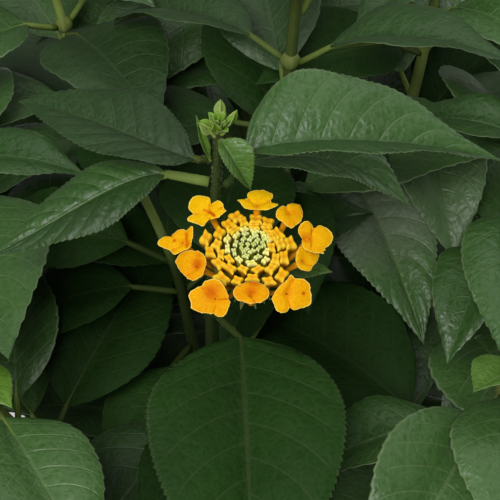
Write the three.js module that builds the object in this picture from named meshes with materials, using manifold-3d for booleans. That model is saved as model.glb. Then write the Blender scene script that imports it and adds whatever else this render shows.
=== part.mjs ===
// Flowering shrub verbena (lantana) in a plain clay pot. Millimetres, +Z up.
// Origin: the pot's axis at the level that the pot stands on. The main flower head leans towards -Y.
import * as THREE from 'three';
import { mergeVertices } from 'three/addons/utils/BufferGeometryUtils.js';
import Module from 'manifold-3d';

const wasm = await Module();
wasm.setup();

// ---------- driving dimensions (mm) ----------
const POT_TOP_DIAMETER = 145;      // outside of the rim band
const POT_BASE_DIAMETER = 102;
const POT_HEIGHT = 128;
const POT_RIM_BAND = 18.5;         // height of the thicker band under the lip
const POT_WALL = 6.5;
const POT_FLOOR = 8;
const DRAIN_RADIUS = 6.5;
const SOIL_LEVEL = 112;            // soil surface at the pot wall
const LEAF_THICKNESS = 0.9;        // at the midrib, thinning to the margin
const PETIOLE_RADIUS = 0.9;
const COLLAR_GAP = 0.45;           // clearance between a stem and the node collar of a leaf pair
const COLLAR_WALL = 1.0;
const COLLAR_HEIGHT = 2.6;
const FLORET_RIM = 0.3;            // thickness of an open floret's rim
const HEAD_RADIUS = 10.3;          // outer ring of closed yellow buds
const HEAD_CROWN = 1.3;            // height of the bud dome over that ring
const HEAD_DEPTH = 9.5;            // bud caps to the receptacle

// ---------- helpers ----------
const V = (x, y, z) => new THREE.Vector3(x, y, z);
const A3 = (a) => new THREE.Vector3(a[0], a[1], a[2]);

// Closed solid through a list of rings. Each ring has the same number of points, or one point at an apex.
function loft(rings) {
  const pos = [], idx = [];
  const start = rings.map((r) => { const s = pos.length / 3; r.forEach((p) => pos.push(p.x, p.y, p.z)); return s; });
  const fan = (s, n, flip) => {
    for (let i = 1; i < n - 1; i++) flip ? idx.push(s, s + i + 1, s + i) : idx.push(s, s + i, s + i + 1);
  };
  for (let k = 0; k + 1 < rings.length; k++) {
    const a = start[k], b = start[k + 1], na = rings[k].length, nb = rings[k + 1].length;
    if (na === 1) { for (let i = 0; i < nb; i++) idx.push(a, b + (i + 1) % nb, b + i); continue; }
    if (nb === 1) { for (let i = 0; i < na; i++) idx.push(a + i, a + (i + 1) % na, b); continue; }
    for (let i = 0; i < na; i++) {
      const j = (i + 1) % na;
      idx.push(a + i, a + j, b + j, a + i, b + j, b + i);
    }
  }
  const last = rings.length - 1;
  if (rings[0].length > 1) fan(start[0], rings[0].length, true);
  if (rings[last].length > 1) fan(start[last], rings[last].length, false);
  let vol = 0;
  for (let t = 0; t < idx.length; t += 3) {
    const [a, b, c] = [idx[t] * 3, idx[t + 1] * 3, idx[t + 2] * 3];
    vol += pos[a] * (pos[b + 1] * pos[c + 2] - pos[b + 2] * pos[c + 1])
      - pos[a + 1] * (pos[b] * pos[c + 2] - pos[b + 2] * pos[c])
      + pos[a + 2] * (pos[b] * pos[c + 1] - pos[b + 1] * pos[c]);
  }
  if (vol < 0) for (let t = 0; t < idx.length; t += 3) [idx[t], idx[t + 1]] = [idx[t + 1], idx[t]];
  const g = new THREE.BufferGeometry();
  g.setAttribute('position', new THREE.Float32BufferAttribute(pos, 3));
  g.setIndex(idx);
  return g;
}

// Boolean join and cut of closed meshes.
function solidOf(geometry) {
  let g = geometry.clone();
  for (const name of Object.keys(g.attributes)) if (name !== 'position') g.deleteAttribute(name);
  g = mergeVertices(g, 1e-4);
  return new wasm.Manifold(new wasm.Mesh({
    numProp: 3,
    vertProperties: new Float32Array(g.attributes.position.array),
    triVerts: new Uint32Array(g.index.array),
  }));
}
function geometryOf(solid) {
  const m = solid.getMesh();
  const g = new THREE.BufferGeometry();
  const p = new Float32Array((m.vertProperties.length / m.numProp) * 3);
  for (let i = 0; i < p.length / 3; i++) for (let k = 0; k < 3; k++) p[i * 3 + k] = m.vertProperties[i * m.numProp + k];
  g.setAttribute('position', new THREE.BufferAttribute(p, 3));
  g.setIndex(Array.from(m.triVerts));
  return g;
}
function join(geometries) {
  let s = solidOf(geometries[0]);
  for (let i = 1; i < geometries.length; i++) s = s.add(solidOf(geometries[i]));
  return geometryOf(s);
}

// Ovate blade: half width along the midrib, 0 at the base to 1 at the tip.
function bladeWidth(t, peak = 0.36, round = 0.7) {
  return t < peak ? Math.pow(Math.sin((Math.PI / 2) * (t / peak)), round)
    : Math.pow(Math.cos((Math.PI / 2) * ((t - peak) / (1 - peak))), 1.12);
}
function bezier(p, t) {
  const u = 1 - t;
  return V(0, 0, 0).addScaledVector(p[0], u * u * u).addScaledVector(p[1], 3 * u * u * t)
    .addScaledVector(p[2], 3 * u * t * t).addScaledVector(p[3], t * t * t);
}
function bezierTangent(p, t) {
  const u = 1 - t;
  return V(0, 0, 0).addScaledVector(p[1].clone().sub(p[0]), 3 * u * u)
    .addScaledVector(p[2].clone().sub(p[1]), 6 * u * t)
    .addScaledVector(p[3].clone().sub(p[2]), 3 * t * t).normalize();
}
// Leaf: petiole from a to b, midrib as a cubic curve b c d e, half width w, fold angle in degrees, up direction n.
// More sections on the single leaves than on the paired ones and on those that stay on their shoot.
function leafStations(L) {
  if (L.fused) return A3(L.p[4]).distanceTo(A3(L.p[1])) < 50 ? [0.32, 0.76] : [0.22, 0.5, 0.82];
  return L.pair ? [0.18, 0.44, 0.78] : [0.1, 0.27, 0.5, 0.72, 0.9];
}
function leafSolid(L, thick = LEAF_THICKNESS, stations = leafStations(L)) {
  const a = A3(L.p[0]), mid = [A3(L.p[1]), A3(L.p[2]), A3(L.p[3]), A3(L.p[4])], up = A3(L.n);
  const phi = L.fold * Math.PI / 180, ring = (c, t, w, rise, h) => {
    const s = t.clone().cross(up).normalize(), n = s.clone().cross(t).normalize();
    return [
      c.clone().addScaledVector(s, -w).addScaledVector(n, rise),
      c.clone().addScaledVector(n, h),
      c.clone().addScaledVector(s, w).addScaledVector(n, rise),
      c.clone().addScaledVector(n, -h)];
  };
  const rings = [];
  const pt = mid[0].clone().sub(a).normalize(), rp = L.rp || PETIOLE_RADIUS;
  rings.push(ring(a, pt, rp, 0, rp));
  rings.push(ring(mid[0], bezierTangent(mid, 0), rp * 1.1, 0.1, rp * 0.8));
  for (const t of stations) {
    const w = L.w * bladeWidth(t, L.peak, L.round);
    rings.push(ring(bezier(mid, t), bezierTangent(mid, t), w * Math.cos(phi), w * Math.sin(phi), thick / 2));
  }
  rings.push([mid[3].clone()]);
  return loft(rings);
}
// Tapered stem through a list of points, each [x, y, z], with radii at its two ends.
function stemSolid(points, r0, r1, steps, sides = 6) {
  const curve = new THREE.CatmullRomCurve3(points.map(A3));
  const rings = [];
  let side = null;
  for (let i = 0; i <= steps; i++) {
    const t = i / steps, c = curve.getPoint(t), tan = curve.getTangent(t);
    if (!side) side = Math.abs(tan.x) < 0.9 ? V(1, 0, 0) : V(0, 1, 0);
    side = side.clone().addScaledVector(tan, -side.dot(tan)).normalize();
    const n = tan.clone().cross(side), r = r0 + (r1 - r0) * t, ringPts = [];
    for (let k = 0; k < sides; k++) {
      const q = 2 * Math.PI * (k + 0.5) / sides;
      ringPts.push(c.clone().addScaledVector(side, r * Math.cos(q)).addScaledVector(n, r * Math.sin(q)));
    }
    rings.push(ringPts);
  }
  return loft(rings);
}
// Collar that two opposite leaves grow from, round a stem at c along direction d.
function collarSolid(c, d, r, sides = 6) {
  const tan = A3(d).normalize();
  let side = Math.abs(tan.x) < 0.9 ? V(1, 0, 0) : V(0, 1, 0);
  side = side.addScaledVector(tan, -side.dot(tan)).normalize();
  const n = tan.clone().cross(side), centre = A3(c), pos = [], idx = [];
  const ri = (r + COLLAR_GAP) / Math.cos(Math.PI / sides), ro = ri + COLLAR_WALL, h = COLLAR_HEIGHT / 2;
  for (let k = 0; k < sides; k++) {
    const q = 2 * Math.PI * k / sides;
    for (const [rr, hh] of [[ri, -h], [ro, -h], [ro, h], [ri, h]]) {
      const p = centre.clone().addScaledVector(side, rr * Math.cos(q)).addScaledVector(n, rr * Math.sin(q)).addScaledVector(tan, hh);
      pos.push(p.x, p.y, p.z);
    }
  }
  for (let k = 0; k < sides; k++) {
    const m = (k + 1) % sides;
    for (let e = 0; e < 4; e++) {
      const f = (e + 1) % 4;
      idx.push(k * 4 + e, m * 4 + e, m * 4 + f, k * 4 + e, m * 4 + f, k * 4 + f);
    }
  }
  const g = new THREE.BufferGeometry();
  g.setAttribute('position', new THREE.Float32BufferAttribute(pos, 3));
  g.setIndex(idx);
  let vol = 0;
  for (let t = 0; t < idx.length; t += 3) {
    const [a, b, cc] = [idx[t] * 3, idx[t + 1] * 3, idx[t + 2] * 3];
    vol += pos[a] * (pos[b + 1] * pos[cc + 2] - pos[b + 2] * pos[cc + 1])
      - pos[a + 1] * (pos[b] * pos[cc + 2] - pos[b + 2] * pos[cc])
      + pos[a + 2] * (pos[b] * pos[cc + 1] - pos[b + 1] * pos[cc]);
  }
  if (vol < 0) { for (let t = 0; t < idx.length; t += 3) [idx[t], idx[t + 1]] = [idx[t + 1], idx[t]]; g.setIndex(idx); }
  return g;
}

// ---------- main flower head ----------
const HEAD = [-0.42, -59.56, 300];   // centre of the plane of the closed buds
const RECEPTACLE_Z = HEAD[2] - HEAD_DEPTH;

// Open florets: throat, normal of the limb, foot of the tube, outline of the limb as [angle, radius] pairs.
const FLORETS = {
  open_floret_1: { th: [-8.73, -50.98, 302], n: [-0.252, -0.342, 0.905], foot: [-3.03, -56.87, 290.9],
    pol: [[1.376, 1.19], [1.36, 2.33], [1.395, 2.93], [1.547, 3.49], [1.78, 4.04], [2.006, 4.73], [2.193, 5.38], [2.322, 5.58], [2.45, 5.51], [2.625, 5.24], [2.801, 4.87], [2.919, 4.38], [3.009, 3.7], [-3.104, 3.19], [-3.083, 4.13], [-3.016, 4.74], [-2.929, 4.93], [-2.806, 4.73], [-2.619, 3.95], [-2.387, 3.44], [-2.152, 3.33], [-1.984, 3.47], [-1.872, 3.16], [-1.779, 2.34], [-1.476, 1.8], [-1.053, 1.9], [-0.723, 2.29], [-0.58, 2.83], [-0.379, 2.89], [-0.189, 3.28], [-0.011, 4.06], [0.082, 3.44], [0.319, 3.42], [0.53, 3.57], [0.744, 3.44], [0.921, 3.11], [1.074, 2.37], [1.22, 1.68]] },
  open_floret_2: { th: [1.49, -49.47, 302.6], n: [0, 0.02, 1], foot: [0.28, -55.88, 290.9],
    pol: [[-2.394, 2.04], [-2.624, 2.7], [-2.92, 3.06], [3.047, 3.43], [2.871, 3.88], [2.775, 4.58], [2.613, 4.46], [2.498, 4.01], [2.477, 2.98], [2.531, 1.93], [2.331, 2.66], [2.184, 3.71], [2.005, 4.36], [1.844, 4.74], [1.613, 4.76], [1.435, 4.89], [1.345, 5.36], [1.22, 5.05], [1.02, 4.95], [0.863, 4.97], [0.721, 4.64], [0.58, 3.89], [0.454, 3.09], [0.243, 2.53], [0.254, 3.31], [0.244, 3.96], [0.154, 4.43], [0.069, 4.7], [-0.038, 4.26], [-0.218, 3.48], [-0.48, 3.11], [-0.742, 2.58], [-0.977, 1.89], [-1.379, 1.63], [-1.906, 1.63]] },
  open_floret_3: { th: [8.19, -51.43, 302], n: [0.224, -0.122, 0.967], foot: [2.31, -56.99, 290.9],
    pol: [[1.894, 1.73], [1.667, 2.23], [1.401, 2.7], [1.086, 3.41], [0.832, 3.68], [0.521, 3.32], [0.185, 3.08], [-0.279, 2.98], [-0.635, 3.1], [-0.996, 3.12], [-1.262, 3.44], [-1.393, 3.88], [-1.521, 3.53], [-1.745, 3.41], [-1.989, 3.02], [-2.226, 2.94], [-2.455, 3.15], [-2.683, 3.15], [-2.974, 2.9], [2.949, 2.58], [2.536, 2.41], [2.186, 2.28]] },
  open_floret_4: { th: [12.37, -58.82, 301.8], n: [0.279, -0.339, 0.898], foot: [3.32, -59.35, 290.9],
    pol: [[1.132, 1.73], [1.221, 2.56], [1.326, 3.21], [1.471, 3.93], [1.628, 4.28], [1.79, 4.21], [1.994, 3.91], [2.24, 3.53], [2.526, 3.08], [2.776, 2.62], [2.951, 2.06], [-3.024, 1.68], [-2.647, 1.86], [-2.34, 2.34], [-2.083, 2.66], [-1.805, 2.79], [-1.414, 2.88], [-1.014, 3.4], [-0.857, 3.79], [-0.692, 4.42], [-0.532, 4.83], [-0.483, 4.49], [-0.497, 3.85], [-0.581, 3.21], [-0.446, 3.49], [-0.317, 4.05], [-0.128, 4.6], [0.085, 5.19], [0.239, 5.54], [0.427, 5.51], [0.577, 5.3], [0.751, 4.85], [0.946, 4.51], [1.078, 4.12], [1.149, 3.06]] },
  open_floret_5: { th: [11, -62.38, 299], n: [0.422, -0.422, 0.803], foot: [3.22, -60.46, 290.9],
    pol: [[1.753, 3.11], [2.004, 2.74], [2.266, 2.41], [2.585, 2.02], [3.042, 1.84], [-2.764, 1.8], [-2.346, 1.91], [-2.017, 2.03], [-1.658, 2.06], [-1.228, 2.25], [-0.834, 2.53], [-0.586, 2.38], [-0.341, 2.31], [-0.037, 2.92], [0.157, 3.48], [0.344, 4.02], [0.489, 4.33], [0.651, 4.14], [0.834, 3.8], [1.077, 3.62], [1.35, 3.5], [1.557, 3.36]] },
  open_floret_6: { th: [7.46, -73.08, 300.6], n: [0.121, -0.623, 0.773], foot: [1.47, -62.8, 290.9],
    pol: [[1.491, 3.09], [1.444, 3.69], [1.352, 4.12], [1.239, 4], [1.146, 3.53], [0.977, 3.8], [0.86, 4.22], [0.71, 4.74], [0.567, 5], [0.413, 5.18], [0.248, 5.12], [0.175, 4.87], [0.047, 5.05], [-0.111, 5.24], [-0.231, 5.22], [-0.282, 5.47], [-0.405, 5.37], [-0.543, 4.91], [-0.673, 4.57], [-0.757, 4.05], [-0.937, 3.91], [-1.147, 3.6], [-1.294, 3.12], [-1.315, 2.52], [-1.421, 2.92], [-1.476, 3.43], [-1.614, 3.74], [-1.767, 3.98], [-1.977, 4.04], [-2.15, 4.04], [-2.304, 3.63], [-2.539, 3.33], [-2.734, 3.32], [-2.843, 3.3], [-3.045, 2.66], [2.997, 2.47], [2.569, 2.17], [2.202, 2.22], [1.827, 2.33], [1.635, 2.71]] },
  open_floret_7: { th: [0.31, -73.72, 301.6], n: [0, -0.08, 0.997], foot: [-0.23, -63.31, 290.9],
    pol: [[-3.134, 3.76], [2.94, 3.64], [2.791, 3.36], [2.556, 3.06], [2.281, 2.82], [1.925, 2.65], [1.532, 2.64], [1.147, 2.73], [0.847, 2.93], [0.54, 3.09], [0.32, 3.33], [0.129, 3.53], [-0.056, 3.62], [-0.308, 3.58], [-0.519, 3.5], [-0.73, 3.39], [-0.883, 3.28], [-1.047, 3.51], [-1.117, 3], [-1.402, 2.99], [-1.672, 3.04], [-1.945, 3.05], [-2.168, 3.06], [-2.342, 3.34], [-2.547, 3.55], [-2.762, 3.61], [-2.955, 3.76]] },
  open_floret_8: { th: [-7.03, -74.46, 300.6], n: [-0.141, -0.604, 0.785], foot: [-1.94, -62.99, 290.9],
    pol: [[2.37, 3.73], [2.23, 4.15], [2.096, 4.26], [1.942, 4.16], [1.762, 4.15], [1.636, 4.24], [1.481, 3.95], [1.308, 3.77], [1.106, 3.37], [0.891, 3.07], [0.667, 2.86], [0.355, 2.72], [0.103, 2.84], [-0.013, 2.5], [-0.114, 2.98], [-0.218, 3.18], [-0.418, 3.19], [-0.671, 3.38], [-0.895, 3.73], [-1.099, 3.99], [-1.308, 3.82], [-1.465, 3.6], [-1.603, 3.22], [-1.695, 2.75], [-1.768, 3.25], [-1.938, 3.22], [-2.151, 3.43], [-2.378, 4.06], [-2.538, 4.46], [-2.656, 4.75], [-2.757, 5.32], [-2.814, 5.43], [-2.95, 5.13], [-3.071, 5.1], [-3.14, 5.4], [3.04, 5.64], [2.948, 5.62], [2.843, 5.4], [2.716, 4.86], [2.577, 4.49], [2.451, 4.1]] },
  open_floret_9: { th: [-11.01, -65.1, 300.2], n: [-0.422, -0.422, 0.803], foot: [-3.74, -61.3, 290.9],
    pol: [[2.011, 4.12], [1.872, 3.86], [1.722, 3.45], [1.522, 3.51], [1.279, 3.14], [0.993, 2.96], [0.7, 2.75], [0.356, 2.51], [0.007, 2.31], [-0.381, 2.18], [-0.736, 2.27], [-0.886, 2.65], [-1.187, 2.64], [-1.47, 2.85], [-1.783, 3.11], [-2.04, 2.98], [-2.289, 3.13], [-2.447, 2.98], [-2.743, 3.27], [-3.036, 3.8], [3.089, 4.31], [2.943, 4.81], [2.852, 5.12], [2.805, 5.69], [2.725, 5.34], [2.607, 5.27], [2.438, 5.18], [2.25, 4.75]] },
  open_floret_10: { th: [-14.03, -59.65, 301.6], n: [-0.302, -0.302, 0.905], foot: [-4.17, -59.59, 290.9],
    pol: [[2.982, 5.81], [2.886, 5.78], [2.785, 5.24], [2.654, 4.78], [2.488, 4.14], [2.442, 3.34], [2.494, 2.71], [2.189, 3.05], [1.992, 3.29], [1.746, 3.23], [1.455, 2.98], [1.225, 2.6], [1.182, 3.23], [1.184, 4.12], [1.14, 4.54], [0.997, 4.03], [0.753, 3.1], [0.458, 2.61], [0.123, 2.09], [-0.267, 2.05], [-0.564, 2.3], [-0.864, 2.22], [-1.335, 1.92], [-1.771, 2.16], [-1.941, 2.72], [-2.133, 3.12], [-2.385, 3.06], [-2.663, 3.03], [-2.923, 3.72], [-3.089, 4.61], [3.112, 5.42]] },
};
const BUDS_OUTER = [   // centre and normal of the cap, its four corners
  { c: [-2.92, -50.31, 300.18], n: [-0.013, 0.049, 0.999], q: [[-4.71, -49.85, 300.13], [-2.47, -48.44, 300.09], [-1.18, -50.54, 300.21], [-3.3, -52.42, 300.27]] },
  { c: [-4.61, -52.89, 300.54], n: [-0.026, 0.041, 0.999], q: [[-6.11, -52.32, 300.48], [-4.48, -51.36, 300.48], [-3.08, -53.03, 300.59], [-4.77, -54.85, 300.62]] },
  { c: [-1.41, -52.24, 300.63], n: [-0.005, 0.037, 0.999], q: [[-2.45, -51.38, 300.6], [-0.96, -50.76, 300.58], [-0.21, -53.11, 300.67], [-2.02, -53.72, 300.68]] },
  { c: [1.25, -51.44, 300.46], n: [0.009, 0.042, 0.999], q: [[0, -49.92, 300.4], [2.57, -50.27, 300.4], [2.55, -52.79, 300.5], [-0.11, -52.76, 300.52]] },
  { c: [3.8, -52.39, 300.45], n: [0.026, 0.044, 0.999], q: [[2.67, -50.58, 300.4], [5.19, -51.46, 300.38], [4.67, -54.08, 300.5], [2.66, -53.42, 300.53]] },
  { c: [5.78, -55.8, 300.66], n: [0.055, 0.033, 0.998], q: [[4.4, -55.24, 300.71], [5.52, -53.73, 300.6], [7.5, -56.61, 300.59], [5.69, -57.62, 300.72]] },
  { c: [8.41, -58.15, 300.32], n: [0.103, 0.016, 0.995], q: [[7.17, -57.34, 300.44], [8.78, -55.91, 300.24], [9.92, -59.24, 300.18], [7.76, -60.11, 300.42]] },
  { c: [7.1, -62.48, 300.5], n: [0.119, -0.046, 0.992], q: [[6.17, -61.37, 300.67], [7.86, -60.49, 300.5], [8.12, -64.06, 300.31], [6.24, -63.99, 300.54]] },
  { c: [6.6, -67.08, 300], n: [0.13, -0.139, 0.982], q: [[6.34, -65.15, 300.31], [8.09, -66.47, 299.89], [6.81, -68.91, 299.72], [5.17, -67.79, 300.09]] },
  { c: [3.88, -68.84, 300.02], n: [0.085, -0.184, 0.979], q: [[2.48, -68.27, 300.25], [4.44, -67.78, 300.17], [5.53, -69.38, 299.77], [3.09, -69.91, 299.89]] },
  { c: [0.51, -68.2, 300.37], n: [0.019, -0.178, 0.984], q: [[-1.03, -68.87, 300.28], [-0.45, -67.41, 300.54], [1.55, -67.45, 300.49], [1.96, -69.07, 300.19]] },
  { c: [-2.61, -68.81, 300.19], n: [-0.045, -0.189, 0.981], q: [[-3.92, -69.22, 300.05], [-3.14, -67.65, 300.39], [-1.34, -68.48, 300.31], [-2.06, -69.89, 300.01]] },
  { c: [-5.76, -68.06, 300.07], n: [-0.103, -0.165, 0.981], q: [[-7.76, -67.64, 299.93], [-6.05, -66.24, 300.34], [-4.06, -68.68, 300.14], [-5.15, -69.69, 299.86]] },
  { c: [-6.52, -64.31, 300.57], n: [-0.108, -0.084, 0.991], q: [[-8.12, -63.57, 300.46], [-6.61, -62.78, 300.69], [-4.88, -64.86, 300.7], [-6.47, -66.03, 300.43]] },
  { c: [-8.44, -60.89, 300.49], n: [-0.114, -0.019, 0.993], q: [[-9.46, -59.31, 300.4], [-7.81, -59.69, 300.59], [-7.14, -62.47, 300.61], [-9.34, -62.09, 300.36]] },
  { c: [-9.27, -56.66, 300.24], n: [-0.093, 0.03, 0.995], q: [[-10.76, -57.33, 300.12], [-9.45, -54.08, 300.14], [-8.04, -56.06, 300.33], [-8.83, -59.17, 300.36]] },
  { c: [-6.43, -55.54, 300.66], n: [-0.051, 0.034, 0.998], q: [[-7.72, -56.03, 300.61], [-6.8, -53.37, 300.57], [-5.08, -55.25, 300.72], [-6.11, -57.5, 300.74]] },
];
const BUDS_INNER = [   // centre and normal of the cap, its four corners
  { c: [-6.93, -59.02, 300.78], n: [-0.08, 0.007, 0.997], q: [[-8.29, -59.48, 300.67], [-7.17, -57.29, 300.75], [-5.89, -58.49, 300.86], [-6.38, -60.8, 300.83]] },
  { c: [-6.14, -61.9, 300.83], n: [-0.091, -0.037, 0.995], q: [[-7.12, -60.48, 300.8], [-5.23, -60.84, 300.96], [-5.52, -63.55, 300.83], [-6.67, -62.75, 300.75]] },
  { c: [-4.33, -63.38, 300.93], n: [-0.072, -0.071, 0.995], q: [[-5.46, -62.7, 300.9], [-4.28, -62.01, 301.03], [-3.22, -64.11, 300.96], [-4.36, -64.71, 300.84]] },
  { c: [-4.11, -65.73, 300.67], n: [-0.073, -0.121, 0.99], q: [[-5.75, -65.16, 300.62], [-4.36, -64.45, 300.81], [-2.74, -65.91, 300.75], [-3.6, -67.43, 300.5]] },
  { c: [-1.42, -66.12, 300.76], n: [-0.021, -0.136, 0.991], q: [[-2.63, -66.05, 300.75], [-1.95, -65, 300.9], [-0.27, -65.96, 300.81], [-0.83, -67.46, 300.59]] },
  { c: [1.64, -66.12, 300.72], n: [0.042, -0.134, 0.99], q: [[0.27, -66.29, 300.76], [1.83, -64.97, 300.87], [3.11, -65.86, 300.69], [1.34, -67.38, 300.56]] },
  { c: [4.41, -65.74, 300.55], n: [0.092, -0.118, 0.989], q: [[3, -66.09, 300.64], [4.22, -64.45, 300.72], [5.96, -64.95, 300.5], [4.45, -67.45, 300.34]] },
  { c: [5.33, -63.26, 300.73], n: [0.099, -0.064, 0.993], q: [[4.7, -61.81, 300.88], [6.27, -61.81, 300.73], [6.13, -64.94, 300.54], [4.22, -64.49, 300.76]] },
  { c: [6.39, -58.87, 300.73], n: [0.083, 0.008, 0.997], q: [[5.11, -58.17, 300.83], [6.96, -56.97, 300.66], [7.56, -59.44, 300.63], [5.92, -60.9, 300.78]] },
  { c: [4.47, -60.14, 301], n: [0.068, -0.008, 0.998], q: [[3.53, -59.08, 301.08], [5.25, -58.97, 300.96], [5.33, -61.48, 300.93], [3.76, -61.01, 301.04]] },
  { c: [3.59, -54.75, 300.82], n: [0.027, 0.033, 0.999], q: [[2.23, -53.71, 300.82], [4.35, -53.81, 300.77], [4.82, -55.8, 300.82], [2.96, -55.69, 300.87]] },
  { c: [0.85, -53.92, 300.89], n: [0.007, 0.029, 1], q: [[-0.47, -53.26, 300.88], [2.02, -53.09, 300.86], [2.08, -54.78, 300.91], [-0.21, -54.55, 300.92]] },
  { c: [-3.38, -54.9, 300.93], n: [-0.019, 0.029, 0.999], q: [[-4.86, -55.44, 300.92], [-3.12, -53.26, 300.88], [-1.74, -54.52, 300.95], [-3.8, -56.38, 300.96]] },
  { c: [4.49, -57.01, 300.93], n: [0.046, 0.024, 0.999], q: [[3.34, -56.08, 300.96], [4.71, -55.71, 300.88], [5.58, -57.79, 300.89], [4.31, -58.45, 300.97]] },
];
const BUDS_PALE = [   // centre and normal of the cap, its four corners
  { c: [-4.69, -57.81, 301.04], n: [-0.043, 0.017, 0.999], q: [[-5.68, -57.98, 301], [-4.54, -56.23, 301.02], [-3.94, -57.67, 301.07], [-4.62, -59.37, 301.07]] },
  { c: [-4.71, -60.58, 301.06], n: [-0.064, -0.015, 0.998], q: [[-5.28, -59.63, 301.04], [-4.24, -59.41, 301.11], [-4.11, -61.63, 301.08], [-5.22, -61.65, 301.01]] },
  { c: [-2.79, -56.73, 301.13], n: [-0.016, 0.019, 1], q: [[-3.73, -57.13, 301.13], [-2.47, -55.49, 301.11], [-2, -56.41, 301.14], [-2.95, -57.9, 301.15]] },
  { c: [-1.21, -54.87, 301.02], n: [-0.004, 0.024, 1], q: [[-2.22, -54.89, 301.02], [-0.85, -53.98, 301], [-0.15, -54.9, 301.03], [-1.63, -55.72, 301.04]] },
  { c: [0.94, -55.41, 301.07], n: [0.007, 0.022, 1], q: [[-0.04, -55.15, 301.07], [1.27, -54.68, 301.05], [2.11, -55.53, 301.06], [0.42, -56.3, 301.09]] },
  { c: [2.79, -56.38, 301.05], n: [0.024, 0.023, 0.999], q: [[1.97, -55.43, 301.05], [3.06, -55.64, 301.03], [3.58, -57.21, 301.05], [2.53, -57.23, 301.08]] },
  { c: [3.74, -57.97, 301.06], n: [0.042, 0.016, 0.999], q: [[3.01, -57.38, 301.08], [3.86, -56.69, 301.03], [4.41, -58.52, 301.04], [3.67, -59.29, 301.08]] },
  { c: [3.49, -61.35, 301.07], n: [0.064, -0.029, 0.998], q: [[3.24, -60.49, 301.11], [4.19, -60.52, 301.05], [3.96, -62.43, 301.01], [2.57, -61.95, 301.11]] },
  { c: [3.18, -63.8, 300.92], n: [0.068, -0.081, 0.994], q: [[2.25, -64.11, 300.96], [3.13, -62.72, 301.01], [4.33, -63.53, 300.86], [3.01, -64.86, 300.85]] },
  { c: [0.25, -64.65, 300.98], n: [0.014, -0.106, 0.994], q: [[-1.04, -64.26, 301.04], [0.94, -63.85, 301.05], [1.62, -65.06, 300.91], [-0.52, -65.43, 300.91]] },
  { c: [-2.27, -63.69, 301.05], n: [-0.037, -0.083, 0.996], q: [[-3.27, -63.32, 301.04], [-2.4, -62.68, 301.13], [-1.39, -63.92, 301.06], [-2.01, -64.83, 300.96]] },
];
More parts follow.
